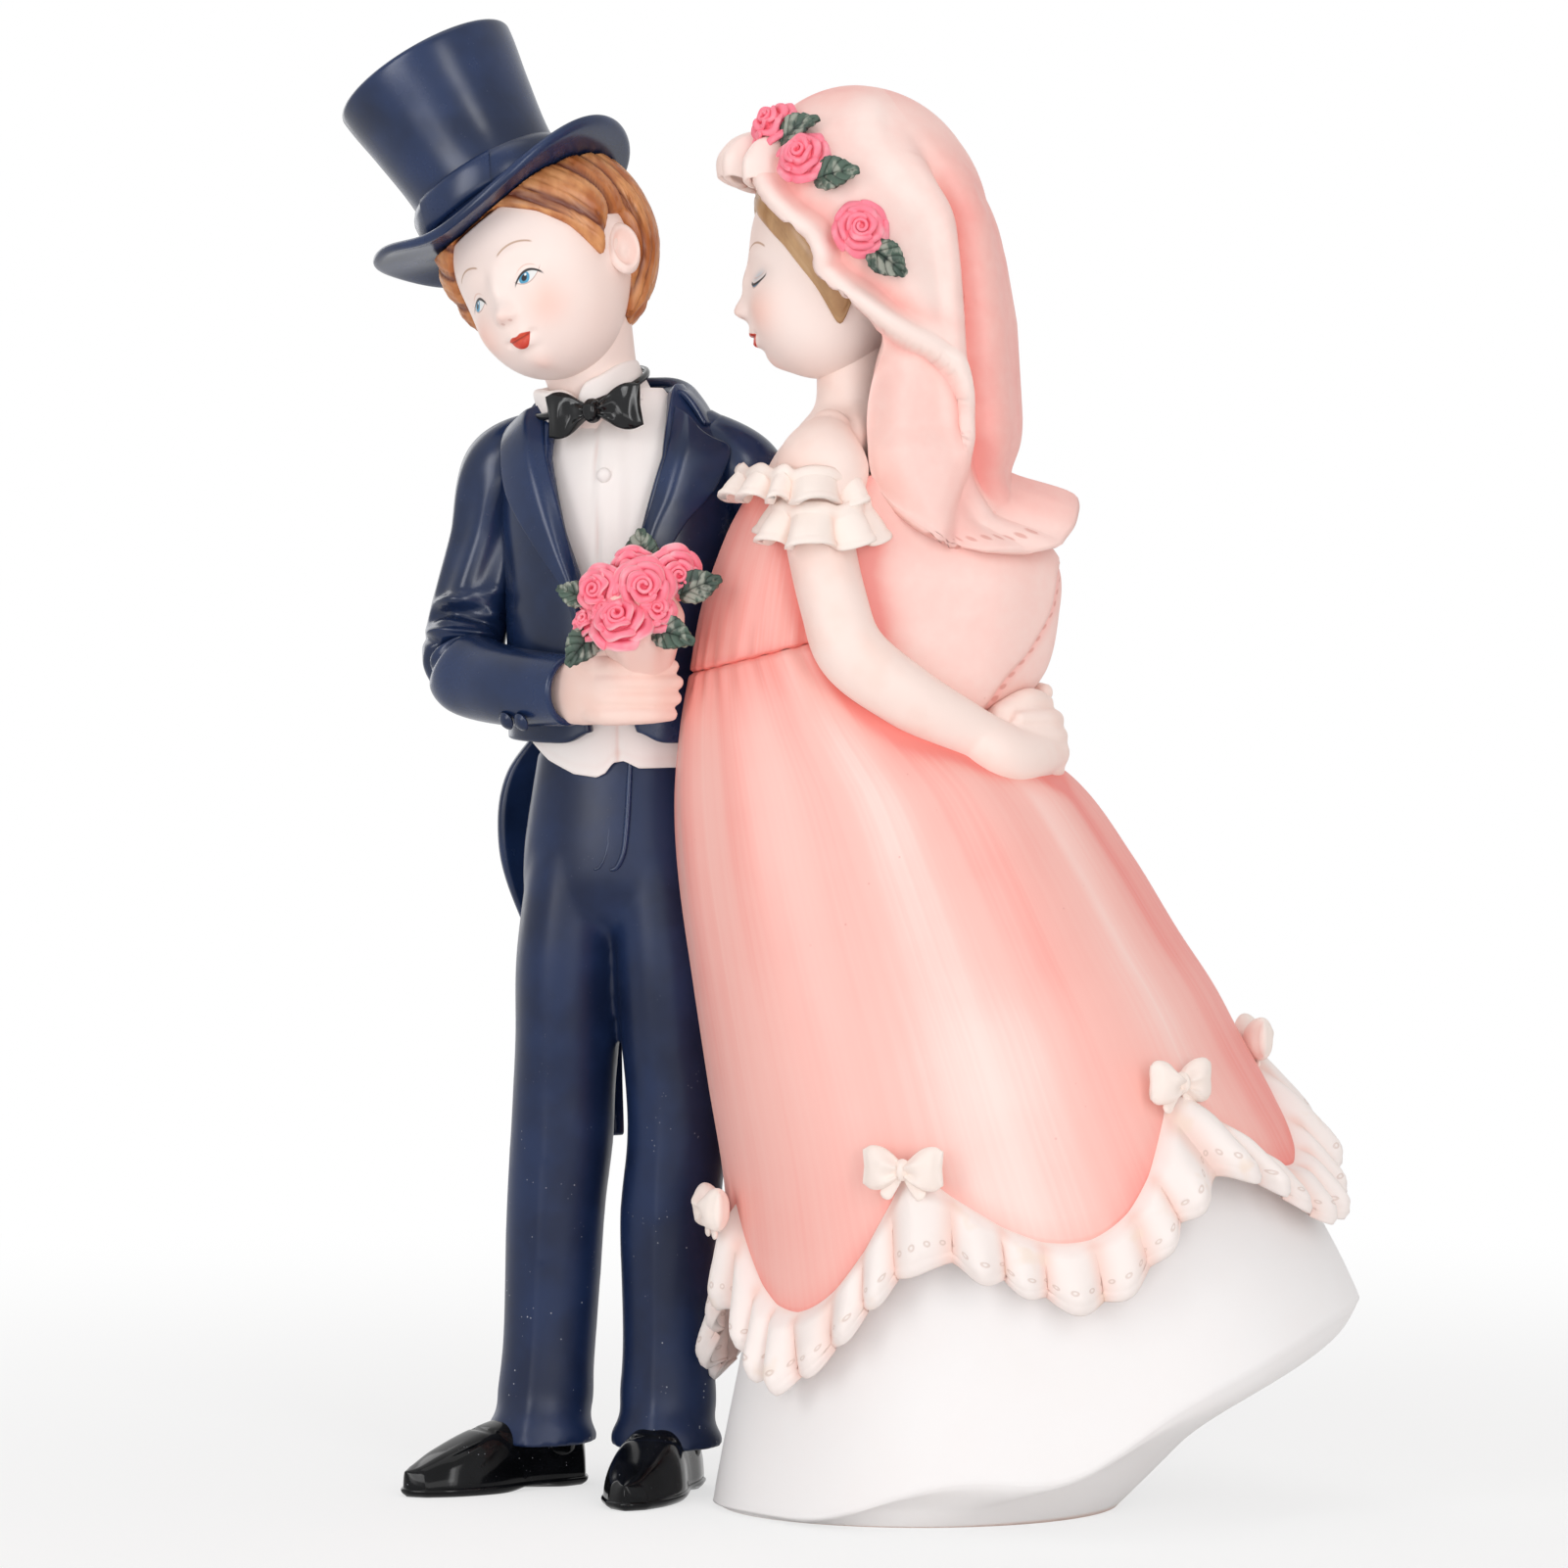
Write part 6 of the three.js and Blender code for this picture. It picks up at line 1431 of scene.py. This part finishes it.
def veil_recipe(b):
    """Pale pink with coral brushed into the folds, and a row of stitch holes above the hem. The tone mark
    also holds painted shade in hollows and a painted highlight on the lip of the hood.
    """
    fine = b.cloud(700, 3.0)
    tone = b.mark("tone") + 0.3 * (b.cloud(120, 3.0) - 0.5) + 0.14 * (fine - 0.5)
    colour = tone.over(0.05, 0.6).blend(hue("fde7df"), hue("fac8bf"))
    colour = tone.over(0.5, 1.0).blend(colour, hue("f39a92"))
    across = b.mark("hem") - STITCH_UP
    along = (b.math("FRACT", b.mark("along") / STITCH_STEP) - 0.5) * STITCH_STEP
    hole = ((across * 0.8) ** 2 + (along * 0.7) ** 2) ** 0.5
    stitch = hole.over(0.3, 0.14)
    colour = (0.5 * stitch).blend(colour, hue("d07a6b"))
    flaw = b.specks(300, 0.08) * 0.35
    colour = flaw.blend(colour, hue("c98a72"))
    return colour, 0.46 + 0.12 * fine, fine * 0.4 - 1.2 * stitch


veil = finish("veil_pink", veil_recipe, 0.3, 0.1)
print("mixed", veil.name)

# %% Lines of the hood in the side view
OPENING = [(-11.3, 143.7), (-10.9, 142.3), (-10.2, 140.4), (-9.2, 138.4), (-7.4, 136.4), (-5.3, 134.8),
           (-4.4, 133), (-4.2, 131.2), (-2.4, 129.4), (-0.1, 127.7), (1.9, 125.8), (2.7, 123.8),
           (2.2, 121.2), (1.3, 117.6), (1.1, 114), (1.4, 110.4), (2.8, 107.6), (4.9, 105.5),
           (7, 103.8), (9, 102.7)]
LIP = OPENING[:10] + [(2.5, 125.6), (5.2, 123.9), (7.8, 122.6), (10, 120.6), (11.1, 117.8), (11.3, 114.8),
                      (10.7, 111.6), (9.6, 108.4), (8.6, 105.3), (8.2, 102.5)]
GROOVE = [(5.4, 146.4), (8.4, 142.2), (10.9, 138.1), (11.6, 133.3), (11.9, 124.6), (12.2, 118.8), (12.5, 114),
          (13.6, 110), (15.2, 106.5), (18, 102)]
HEM = [(0, 107.2), (10, 105.6), (22, 102.4), (32, 101.6), (46, 101.7), (58, 102.7)]  # from back to opening
MIDDLE, TOP, FRONT, BACK, SIDE = 132.2, 18.6, 14.0, 17.2, 13.2  # the dome's height and its four reaches
SHIFT = 0.2  # how far the dome's axis lies towards the face
print("the opening is", round(OPENING[0][1] - OPENING[-1][1], 1), "mm high")

# %% The smooth dome of the hood
v, u = grid(160, 240, loop=False)
line = knots(OPENING, np.linspace(0, 1, 300))[::-1]
dome = TOP * np.pi / 2
walk = mix(0.5, dome + MIDDLE - line[0, 1], v)
bend, fallen = np.minimum(walk, dome) / TOP, np.maximum(walk - dome, 0)
level = MIDDLE + TOP * np.cos(bend) - fallen
open_x = np.interp(level, line[:, 1], line[:, 0]) + SHIFT
half = np.arccos(np.clip(open_x / (np.where(open_x > 0, BACK, FRONT) * np.sin(bend)), -1, 1))
half = np.where(level > line[-1, 1], np.pi, half)
across = np.abs(2 * u - 1)
turn = (2 * u - 1) * half
round_ = np.degrees(np.abs(turn))
at, low = np.array(HEM, float).T
z = level + (np.interp(58 * across, at, low) - low[-1]) * ease(v, 0.7, 1.0)
back = np.where(np.cos(turn) > 0, BACK, FRONT)
side_reach = mix(SIDE, 12.2, ease(fallen, 0, 22))
x = back * np.sin(bend) * np.cos(turn) - SHIFT
y = side_reach * np.sin(bend) * np.sin(turn)
way = unit(vec(np.sin(bend) * np.cos(turn) / back, y / side_reach**2, np.cos(bend) / TOP))
print("hood from", z.min().round(1), "to", z.max().round(1), "mm up")

# %% Folds of the hood
behind, above = away_from(GROOVE, x, z), away_from(LIP, x, z)
to_hem = (1 - v) * (dome + MIDDLE - line[0, 1])
sides = ease(np.abs(y), 3.0, 7.0)
upper = ease(z, 111.5, 115.5)
outer = ease(above, -0.4, 0.15)
groove = -1.5 * bump(behind, 0, 0.95) + 0.5 * bump(behind, -1.8, 1.0) + 0.55 * bump(behind, 2.4, 1.6)
groove *= ease(z, 147, 140) * sides
wavy = 1 + mix(0.5, 0.15, ease(x, 0, 6)) * np.sin(1.25 * z + 0.4 * x)
lip = 0.85 * bump(above, 0.6, 0.6) * wavy * mix(0.45, 1.0, upper)
lip -= 0.65 * bump(above, 2.5, 1.0) * ease(z, 124, 128)
panel = -1.5 * (1 - outer) * upper
panel -= 1.1 * ease(above, -0.7, 1.6) * (1 - upper) * ease(behind, 0.0, -1.2) * sides
tuck = -3.4 * ease(x + SHIFT - open_x, 4.6, 0) * ease(z, 125, 120) * ease(z, 103, 109)
soft = 0.3 * np.sin(0.9 * behind + 0.25 * z) * ease(behind, -1.5, -4) * ease(above, 2, 4) * sides
slim = -np.interp(z, [116, 126, 134, 140, 146, 151], [0, 0.6, 2.0, 2.5, 1.4, 0])
slim *= np.maximum(np.cos(turn), 0) ** 1.5
flick = ease(np.cos(turn), 0.55, 1.0)
flare = mix(2.2 * ease(to_hem, 6, 0), 6.4 * ease(to_hem, 3.4, 0.0), flick) * ease(np.cos(turn), 0.45, 0.75)
waist_in = -1.2 * bump(z, 110, 2.6) * flick
push = groove + lip + panel + tuck + soft + slim
points = vec(x, y, z) + push[..., None] * way
points[..., 0] += (flare + waist_in) * np.cos(turn)
points[..., 1] += 0.6 * flare * np.sin(turn)
print("folds push the cloth by", push.min().round(1), "to", push.max().round(1), "mm")

# %% Paint marks of the hood
tone = 0.36 + 0.34 * ease(behind, 0.2, 1.6) * ease(z, 149, 141) * ease(z, 103, 110)
tone += 0.5 * bump(behind, 0.3, 0.9) * ease(z, 146, 138) * ease(z, 103, 110)
# coral wash and painted shade in the hollow behind the lip
tone += 0.42 * bump(above, 2.6, 1.5) * ease(z, 124, 128)
tone += 0.2 * ease(round_, 130, 165) + 0.28 * bump(z, 150.6, 1.8)
# painted shade in the recess beside the lower fold
tone += 0.3 * bump(above, 1.8, 1.8) * (1 - upper) * ease(z, 100, 104) * ease(behind, 3, 0)
# painted shadow on the panel just under the lip, and a painted highlight on the lip's crest
tone += 0.06 * (1 - outer) + 0.3 * upper * (bump(above, -0.6, 0.5) - bump(above, 0.5, 0.7))
tone -= 0.16 * bump(behind, -4.5, 2.2) * ease(z, 122, 128)
along = np.concatenate([[0], np.cumsum(np.linalg.norm(np.diff(points[-1], axis=0), axis=1))])
stitched = np.where((round_ > 26) & (round_ < 56), to_hem, NO_STITCH)
hood_patch = patch(points, loop=False, caps=(0,), tone=tone, hem=stitched, along=along[None] + 0 * v)
hood = build("girl_veil_hood_draped", [hood_patch], veil, ["girl_veil_hood"], sheet=True)
thicken(hood, 1.1, 0)

# %% Frill on the forehead
v, u = grid(20, 170, loop=False)
round_brow = np.radians(mix(-62, 62, u))
crimp = np.sin(19 * round_brow + 1.2) * ease(v, 0.0, 0.5)
fade = ease(np.abs(round_brow), 1.08, 0.6)
reach = knots([-1.6, 0.1, 1.3, 2.3, 2.2], v) * fade + 1.2 * crimp * mix(0.25, 1, fade)
drop = knots([0, 0.5, 1.6, 3.2, 5.2], v) * mix(0.75, 1, fade)
brow_top = 146.3 - 3.2 * (1 - np.cos(round_brow))
brow_frill = vec(-SHIFT - (11.0 + reach) * np.cos(round_brow), (10.4 + reach) * np.sin(round_brow),
                 brow_top - drop + 0.6 * np.cos(19 * round_brow + 0.4) * v)
# deeper in the crimp's hollows as painted shade, and paler towards the lower edge
tone = 0.2 + 0.5 * np.maximum(-crimp, 0) - 0.3 * v**3
brow = patch(brow_frill, loop=False, tone=tone, hem=NO_STITCH, along=0.0)
thicken(build("girl_veil_brow_frill", [brow], veil, sheet=True), 0.8)

# %% Train
BAND = [(21.4, 103), (20.4, 99.7), (19.6, 95.6), (17.4, 91.6), (15, 88.8), (12.6, 85.4)]  # its edge
TRAIN_AT, TRAIN_TOP = 1.8, 120.0  # where its axis stands, and its upper edge inside the hood
v, u = grid(96, 180, loop=False)
turn = np.radians((2 * u - 1) * (mix(72, 105, ease(v, 0.19, 0.33)) - 5 * ease(v, 0.5, 0.7)))
reach = knots([10.5, 11.6, 12.2, 15.4, 18.2, 18.0, 16.8, 13.6], v) + 0.6 * v * np.cos(6 * turn) + 0.6
side_reach = knots([7.0, 8.0, 8.8, 9.2, 8.8, 7.6], v) + 0.4
hem_height = 84.6 - 2.4 * np.sin(turn) ** 2
x = TRAIN_AT + reach * np.cos(turn)
y = side_reach * np.sin(turn)
z = mix(TRAIN_TOP, hem_height, v)
to_edge = (1 - v) * (TRAIN_TOP - hem_height)
over = away_from(BAND, x, z)
fold_out = 0.55 * ease(over, 0.25, -0.25) * ease(np.cos(turn), 0.3, 0.7) * ease(z, 104, 100)
curl = -1.4 * ease(to_edge, 2.6, 0.0) * ease(np.cos(turn), 0.1, 0.5)
way = unit(vec(np.cos(turn) / reach, np.sin(turn) / side_reach, 0 * z))
points = vec(x, y, z) + (fold_out + curl)[..., None] * way
tone = 0.36 + 0.3 * bump(over, 0.4, 0.5) * ease(np.cos(turn), 0.3, 0.7)
tone += 0.2 * ease(z, 98, 104) + 0.3 * ease(np.abs(u - 0.5), 0.42, 0.5)
# deep coral along the train's front edges, in the crevice by the arm: coral wash and painted shade
tone += 0.85 * ease(np.abs(2 * u - 1), 0.76, 0.95) * ease(v, 0.35, 0.5)
at, low = np.array(BAND[::-1], float).T[::-1]
stitch_turn = np.arccos(np.clip((np.interp(z, at, low) + 0.7 - TRAIN_AT) / reach, -1, 1))
border = np.where(z < 101, STITCH_UP + 0.5 * (np.abs(turn) - stitch_turn) * reach, NO_STITCH)
train = patch(points, loop=False, tone=tone, hem=border, along=1.1 * z)
train = build("girl_veil_train_draped", [train], veil, ["girl_veil_train"], sheet=True)
thicken(train, 1.1, 0)

# %% [markdown]
# ## Roses and leaves
# A modelled rose is a spiral ribbon for its heart and rings of thick petals round it, each ring lower
# and wider than the last. Leaves are folded blades with pressed veins, painted dark and dry-brushed.

# %% Flower paint


def rose_recipe(b):
    """Pink that deepens with the mark, with pale patches, and a painted highlight on the rims, where the mark
    is below 0.
    """
    deep = b.mark("wash")
    patchy = b.cloud(420, 3.0)
    colour = (deep + 0.5 * (patchy - 0.5)).over(0.15, 1.0).blend(hue("ff8398"), hue("ee4a70"))
    pale = patchy.over(0.5, 0.72) * (1 - deep) * 0.55
    colour = pale.blend(colour, hue("ffc0c8"))
    # painted highlight on the petal rims
    colour = (0.75 * deep.over(0.0, -0.35)).blend(colour, hue("ffccd2"))
    return colour, 0.42 + 0.15 * patchy, patchy


def leaf_recipe(b):
    """Dark green, with a pale dry brush that only touches what stands proud."""
    vein = b.mark("wash")
    brushed = b.cloud(900, 3.0, (1, 1, 0.5))
    colour = b.cloud(300, 2.0).over(0.35, 0.65).blend(hue("2f3f37"), hue("465c4e"))
    colour = vein.over(0.2, 0.75).blend(colour, hue("18211e"))
    pale = brushed.over(0.48, 0.62) * (1 - vein) * 0.5
    colour = pale.blend(colour, hue("c9cabb"))
    return colour, 0.5 + 0.15 * brushed, brushed - vein


rose_paint = finish("rose_petal", rose_recipe, 0.15)
leaf_paint = finish("leaf_dry_brushed", leaf_recipe, 0.25)
print("mixed", rose_paint.name, "and", leaf_paint.name)

# %% Rose and leaf shapes
RINGS = [  # petals, turn, reach at the belly and rim, height of the base and rim, half width, roll of the rim
    (3, 0.3, 0.36, 0.54, 0.26, 0.72, 1.3, 0.14),
    (4, 0.9, 0.56, 0.84, 0.08, 0.48, 1.05, 0.2),
    (5, 0.1, 0.76, 1.1, -0.2, 0.18, 0.85, 0.24),
]


def rose(radius, spin):
    """A list of petal grids and their creases, for a rose of the given radius that faces -Y."""
    v, u = grid(6, 48, loop=False)
    a = 1.6 * TURN * u + spin
    reach = radius * (0.06 + 0.25 * u + 0.05 * v)
    height = radius * mix(0.35, 0.88 - 0.12 * u, v)
    sheets = [(vec(reach * np.cos(a), -height, reach * np.sin(a)), 0.8 * (1 - v))]
    for count, start, belly, rim, low, high, half, roll in RINGS:
        for k in range(count):
            v, u = grid(9, 11, loop=False)
            q = 2 * u - 1
            p = v * (1 - 0.16 * q**4) + 0.07 * v * np.sin(4 * q + 2 * k + spin)
            a = spin + start + TURN * k / count + q * half * (0.4 + 0.6 * ease(v, 0, 0.6))
            point = 0.1 * ease(np.abs(q), 0.5, 0.0) * v**3
            reach = knots([0.1, 0.62 * belly, belly, mix(belly, rim, 0.6), rim], p) + 0.07 * q + point
            wavy = 0.14 * np.sin(4.4 * q + 1.7 * k + 2 * spin) * v**2
            height = knots([low - 0.3, low, mix(low, high, 0.72), high, high - roll], p) + wavy
            shape = radius * vec(reach * np.cos(a), -height, reach * np.sin(a))
            # the mark goes below 0 at the rim, for a painted highlight there
            sheets.append((shape, ease(v, 0.9, 0.35) + 0.2 * np.abs(q) ** 3 - 0.4 * ease(v, 0.8, 1.0)))
    return sheets


def rose_heart(radius):
    """The clay inside: a dome under the ribbons, so that no gap between petals is deep."""
    v, u = grid(16, 40)
    rise = np.radians(mix(-40, 86, v))
    swell = radius * mix(0.86, 0.5, ease(v, 0.2, 1.0)) * np.cos(rise)
    return vec(swell * np.cos(TURN * u), -radius * (0.62 * np.sin(rise) + 0.02), swell * np.sin(TURN * u))


def leaf(length):
    """A pointed blade, folded along its rib and arched, with notched sides and slanting veins."""
    v, u = grid(34, 25, loop=False)
    q = 2 * u - 1
    half = length * 0.37 * np.sin(np.pi * mix(0.05, 0.97, v) ** 0.8)
    half *= 1 + 0.07 * np.abs(np.sin(10 * np.pi * v))
    vein = np.abs(np.sin(np.pi * (5 * v - 1.6 * np.abs(q))))
    crease = (1 - vein) ** 2 * ease(np.abs(q), 0.05, 0.2) + bump(q, 0, 0.1)
    lift = 0.14 * length * np.sin(np.pi * v) + np.abs(q) * half * 0.28 - 0.055 * length * crease
    return vec(q * half, -lift, length * v), np.clip(crease, 0, 1)


def rose_piece(name, radius, spin, carry, nodes=(), deep=1.0):
    """The petals as one thick piece and the heart as another; deep scales the dark wash in the folds."""
    sheets = [patch(carry(points), loop=False, wash=deep * wash) for points, wash in rose(radius, spin)]
    thicken(build(name, sheets, rose_paint, nodes, sheet=True), 0.1 * radius + 0.12)
    heart = patch(carry(rose_heart(radius)), caps=(0, -1), wash=0.75 * deep)
    build(f"{name}_heart", [heart], rose_paint)


def leaf_piece(name, length, carry, nodes=()):
    """One thick leaf, carried to its place."""
    points, crease = leaf(length)
    blade = patch(carry(points), loop=False, wash=crease)
    thicken(build(name, [blade], leaf_paint, nodes, sheet=True), 0.5)


print("a rose has", len(rose(3, 0)), "petals and ribbons")

# %% Flowers on the veil


def on_veil(points, x, z, out, angle):
    """Lays a flower, which faces -Y, on the smooth hood at a place of the side view: its back follows the
    normal of the ellipsoid of the dome's front, and its own Z is turned by angle."""
    s = np.sqrt(1 - ((z - MIDDLE) / TOP) ** 2)
    c = max((x + SHIFT) / ((BACK if x > -SHIFT else FRONT) * s), -0.97)
    y = -SIDE * s * np.sqrt(1 - c * c)
    normal = unit(np.array([s * c / FRONT, y / SIDE**2, (z - MIDDLE) / TOP**2]))
    slope = np.array([np.sin(np.radians(angle)), 0, np.cos(np.radians(angle))])
    slope = unit(slope - (slope @ normal) * normal)
    axes = np.array([np.cross(slope, normal), -normal, slope])
    return points @ axes + np.array([x, y, z]) + out * normal


VEIL_FLOWERS = [  # a rose's place, its leaf's, and how far the leaf is turned
    ((-8.1, 145.8), (-7.6, 144.2), 75), ((-5.4, 142.5), (-4.4, 140.3), 84),
    ((0.1, 135.3), (0.9, 133.6), 128),
]
for i, (rose_at, leaf_at, angle) in enumerate(VEIL_FLOWERS):
    bloom, blade = f"girl_veil_rose_{i + 1}", f"girl_veil_leaf_{i + 1}"
    rose_piece(f"{bloom}_open", 2.65, 1.3 * i, lambda p: on_veil(p, *rose_at, 1.1, 20 * i), [bloom], 0.1)
    leaf_piece(f"{blade}_blade", 4.9, lambda p: on_veil(p, *leaf_at, 0.9, angle), [blade])

# %% Bouquet
GRIP, FLOWERS = np.array([7, -11.8, 87.2]), np.array([7.3, -18.4, 95.7])  # in the fist, and the bunch
wrap_path = [mix(GRIP, FLOWERS, t) for t in (-0.12, 0.1, 0.45, 0.8, 1.05)]


def pleats(t, a):
    """Nine pleats, a cosine round the wrap, which deepen towards the flowers."""
    return 0.22 * np.cos(9 * a + 2 * t) * ease(t, 0.35, 0.8)


wrap = limb(wrap_path, [1.8, 2.1, 3.4, 4.6, 4.0], 70, 72, up=(1, 0, 0), swell=pleats)
paper = finish("wrap_paper", lambda b: white_recipe(b, "f0b3a4", "fbdfd6"), 0.1)
build("bouquet_wrap_paper", closed([wrap], BODY, wash=0.35), paper, ["bouquet_wrap"])
BUNCH = {"at": FLOWERS, "pitch": -18, "yaw": 9}
ROSES = [  # place, radius, and the number of its node, or 0
    ((0.9, -2.7, 1.5), 3.0, 1), ((-1.1, -3, -2.7), 3.0, 2), ((-3.6, -1.4, 1.3), 2.7, 3),
    ((3.6, -0.8, 4), 2.7, 4), ((-4.7, -0.4, -2), 2.0, 0), ((-0.6, -0.6, 4.3), 2.2, 0),
    ((2.2, -2.2, -0.9), 2.1, 0), ((-2.7, -1.8, -1.1), 2.0, 0),
]


def in_bunch(points, **seat):
    """Carries a flower to its seat in the bunch, the bunch to the hand, and both with the body."""
    return place(place(place(points, **seat), **BUNCH), **BODY)


for i, (at, radius, node) in enumerate(ROSES):
    nodes = [f"bouquet_rose_{node}"] if node else []
    seat = {"at": at, "yaw": 7 * at[0], "pitch": 6 * at[2]}
    rose_piece(f"bouquet_rose_{i + 1}_open", radius, 2.1 * i, lambda p: in_bunch(p, **seat), nodes)
LEAVES = [((0.3, 0.2, 4.2), -8), ((4.5, -1, 1.4), 64), ((2, -1.6, -2.6), 105), ((-4, -0.4, -2.8), 215)]
for i, (at, roll) in enumerate(LEAVES):
    blade = f"bouquet_leaf_{i + 1}"
    leaf_piece(f"{blade}_blade", 4.8, lambda p: in_bunch(p, at=at, roll=roll), [blade])
leaf_piece("bouquet_leaf_5_blade", 3.8, lambda p: in_bunch(p, at=(-5, -0.6, 0.4), roll=-70))

# %% [markdown]
# ## Floor, light and camera
# The topper stands on a pale floor that fades into white, as in a small product studio: two tall soft
# boxes, a top light, a low one in front and one behind. Two more show only as glints in the gloss. The
# background is white for the camera and in reflections. It lights the paint at about half that, as
# pale walls would, and the floor still takes the soft shadow.

# %% Floor that fades into the white
FLOOR_WHITE = 0.64  # share of plain white in the floor under the topper, so that the shadow stays soft


def seen(tree):
    """1 for rays from the camera and for those that gloss or glass sends on, else 0."""
    paths = tree.nodes.new("ShaderNodeLightPath")
    rays = [Tone(tree, paths.outputs[f"Is {kind} Ray"]) for kind in ("Camera", "Glossy", "Transmission")]
    return rays[0].math("MAXIMUM", rays[0].math("MAXIMUM", rays[0], rays[1]), rays[2])


v, u = grid(40, 96)
reach = 900 * np.maximum(v, 0.002) ** 1.5
disc = bpy.data.meshes.new("studio_floor")
made = patch(vec(reach * np.cos(TURN * u), reach * np.sin(TURN * u), 0 * u - 0.02), caps=(0,))
disc.from_pydata((made["spots"] * MM).tolist(), [], [f for part in made["faces"] for f in part.tolist()])
floor = bpy.data.objects.new("studio_floor", disc)
bpy.context.scene.collection.objects.link(floor)
pale = bpy.data.materials.new("studio_pale")
pale.use_nodes = True
tree = pale.node_tree
bench = Bench(tree)
away = (bench.where("X") ** 2 + bench.where("Y") ** 2) ** 0.5
show = seen(tree) * (away.over(0.07, 0.3) * (1 - FLOOR_WHITE) + FLOOR_WHITE)
card = bench.node("BsdfDiffuse", {}, {"Color": hue("f6f5f4")})
glow = bench.node("Emission", {}, {"Color": (1, 1, 1, 1), "Strength": 1.0})
mixed = bench.node("MixShader", {}, {0: show, 1: card, 2: glow})
tree.links.new(mixed.socket, tree.nodes["Material Output"].inputs["Surface"])
disc.materials.append(pale)
print("floor of", len(disc.polygons), "faces")

# %% Soft boxes and the white surround
WALL_LIGHT = 0.56  # what the surround gives to the paint, where 1 is white
LAMPS = [  # name, place, width and height, power
    ("key_left", (-500, -500, 230), (190, 620), 1.0),
    ("fill_right", (260, -580, 220), (150, 600), 0.95),
    ("top_light", (-40, -60, 760), (520, 420), 0.66),
    ("back_left", (-360, 520, 260), (240, 480), 0.5),
    ("front_low", (-8, -680, 40), (560, 220), 0.76),
]
GLINTS = [  # the same, for lights that show only in gloss
    ("glint_left", (-400, -570, 290), (260, 420), 1.6),
    ("glint_right", (230, -620, 270), (110, 420), 0.6),
]


def soft_box(name, at, size, power, aim=(-8, 3, 78)):
    """A rectangle of light, placed and aimed in millimetres."""
    data = bpy.data.lights.new(name, "AREA")
    data.shape, data.size, data.size_y, data.energy = "RECTANGLE", size[0] * MM, size[1] * MM, power
    lamp = bpy.data.objects.new(name, data)
    lamp.location = [c * MM for c in at]
    line = Vector(aim) - Vector(at)
    lamp.rotation_euler = line.to_track_quat("-Z", "Y").to_euler()
    bpy.context.scene.collection.objects.link(lamp)
    return lamp


for lamp in LAMPS:
    soft_box(*lamp)
for glint in GLINTS:
    soft_box(*glint).visible_diffuse = False
world = bpy.data.worlds.new("studio_white")
bpy.context.scene.world = world
world.use_nodes = True
tree = world.node_tree
bright = seen(tree) * (1 - WALL_LIGHT) + WALL_LIGHT
tree.links.new(bright.socket, tree.nodes["Background"].inputs["Strength"])
tree.nodes["Background"].inputs["Color"].default_value = (1, 1, 1, 1)
bpy.context.scene.view_settings.view_transform = "Standard"

# %% Camera at the photograph's angle
TARGET, EYE = Vector((-7.89, 3.0, 76.9)), Vector((-7.89, -696.57, 101.33))
data = bpy.data.cameras.new("camera")
data.lens, data.sensor_width, data.sensor_fit = 149.9, 36, "HORIZONTAL"
camera = bpy.data.objects.new("camera", data)
camera.location = EYE * MM
camera.rotation_euler = (TARGET - EYE).to_track_quat("-Z", "Y").to_euler()
bpy.context.scene.collection.objects.link(camera)
bpy.context.scene.camera = camera
print("camera", round((TARGET - EYE).length), "mm away")
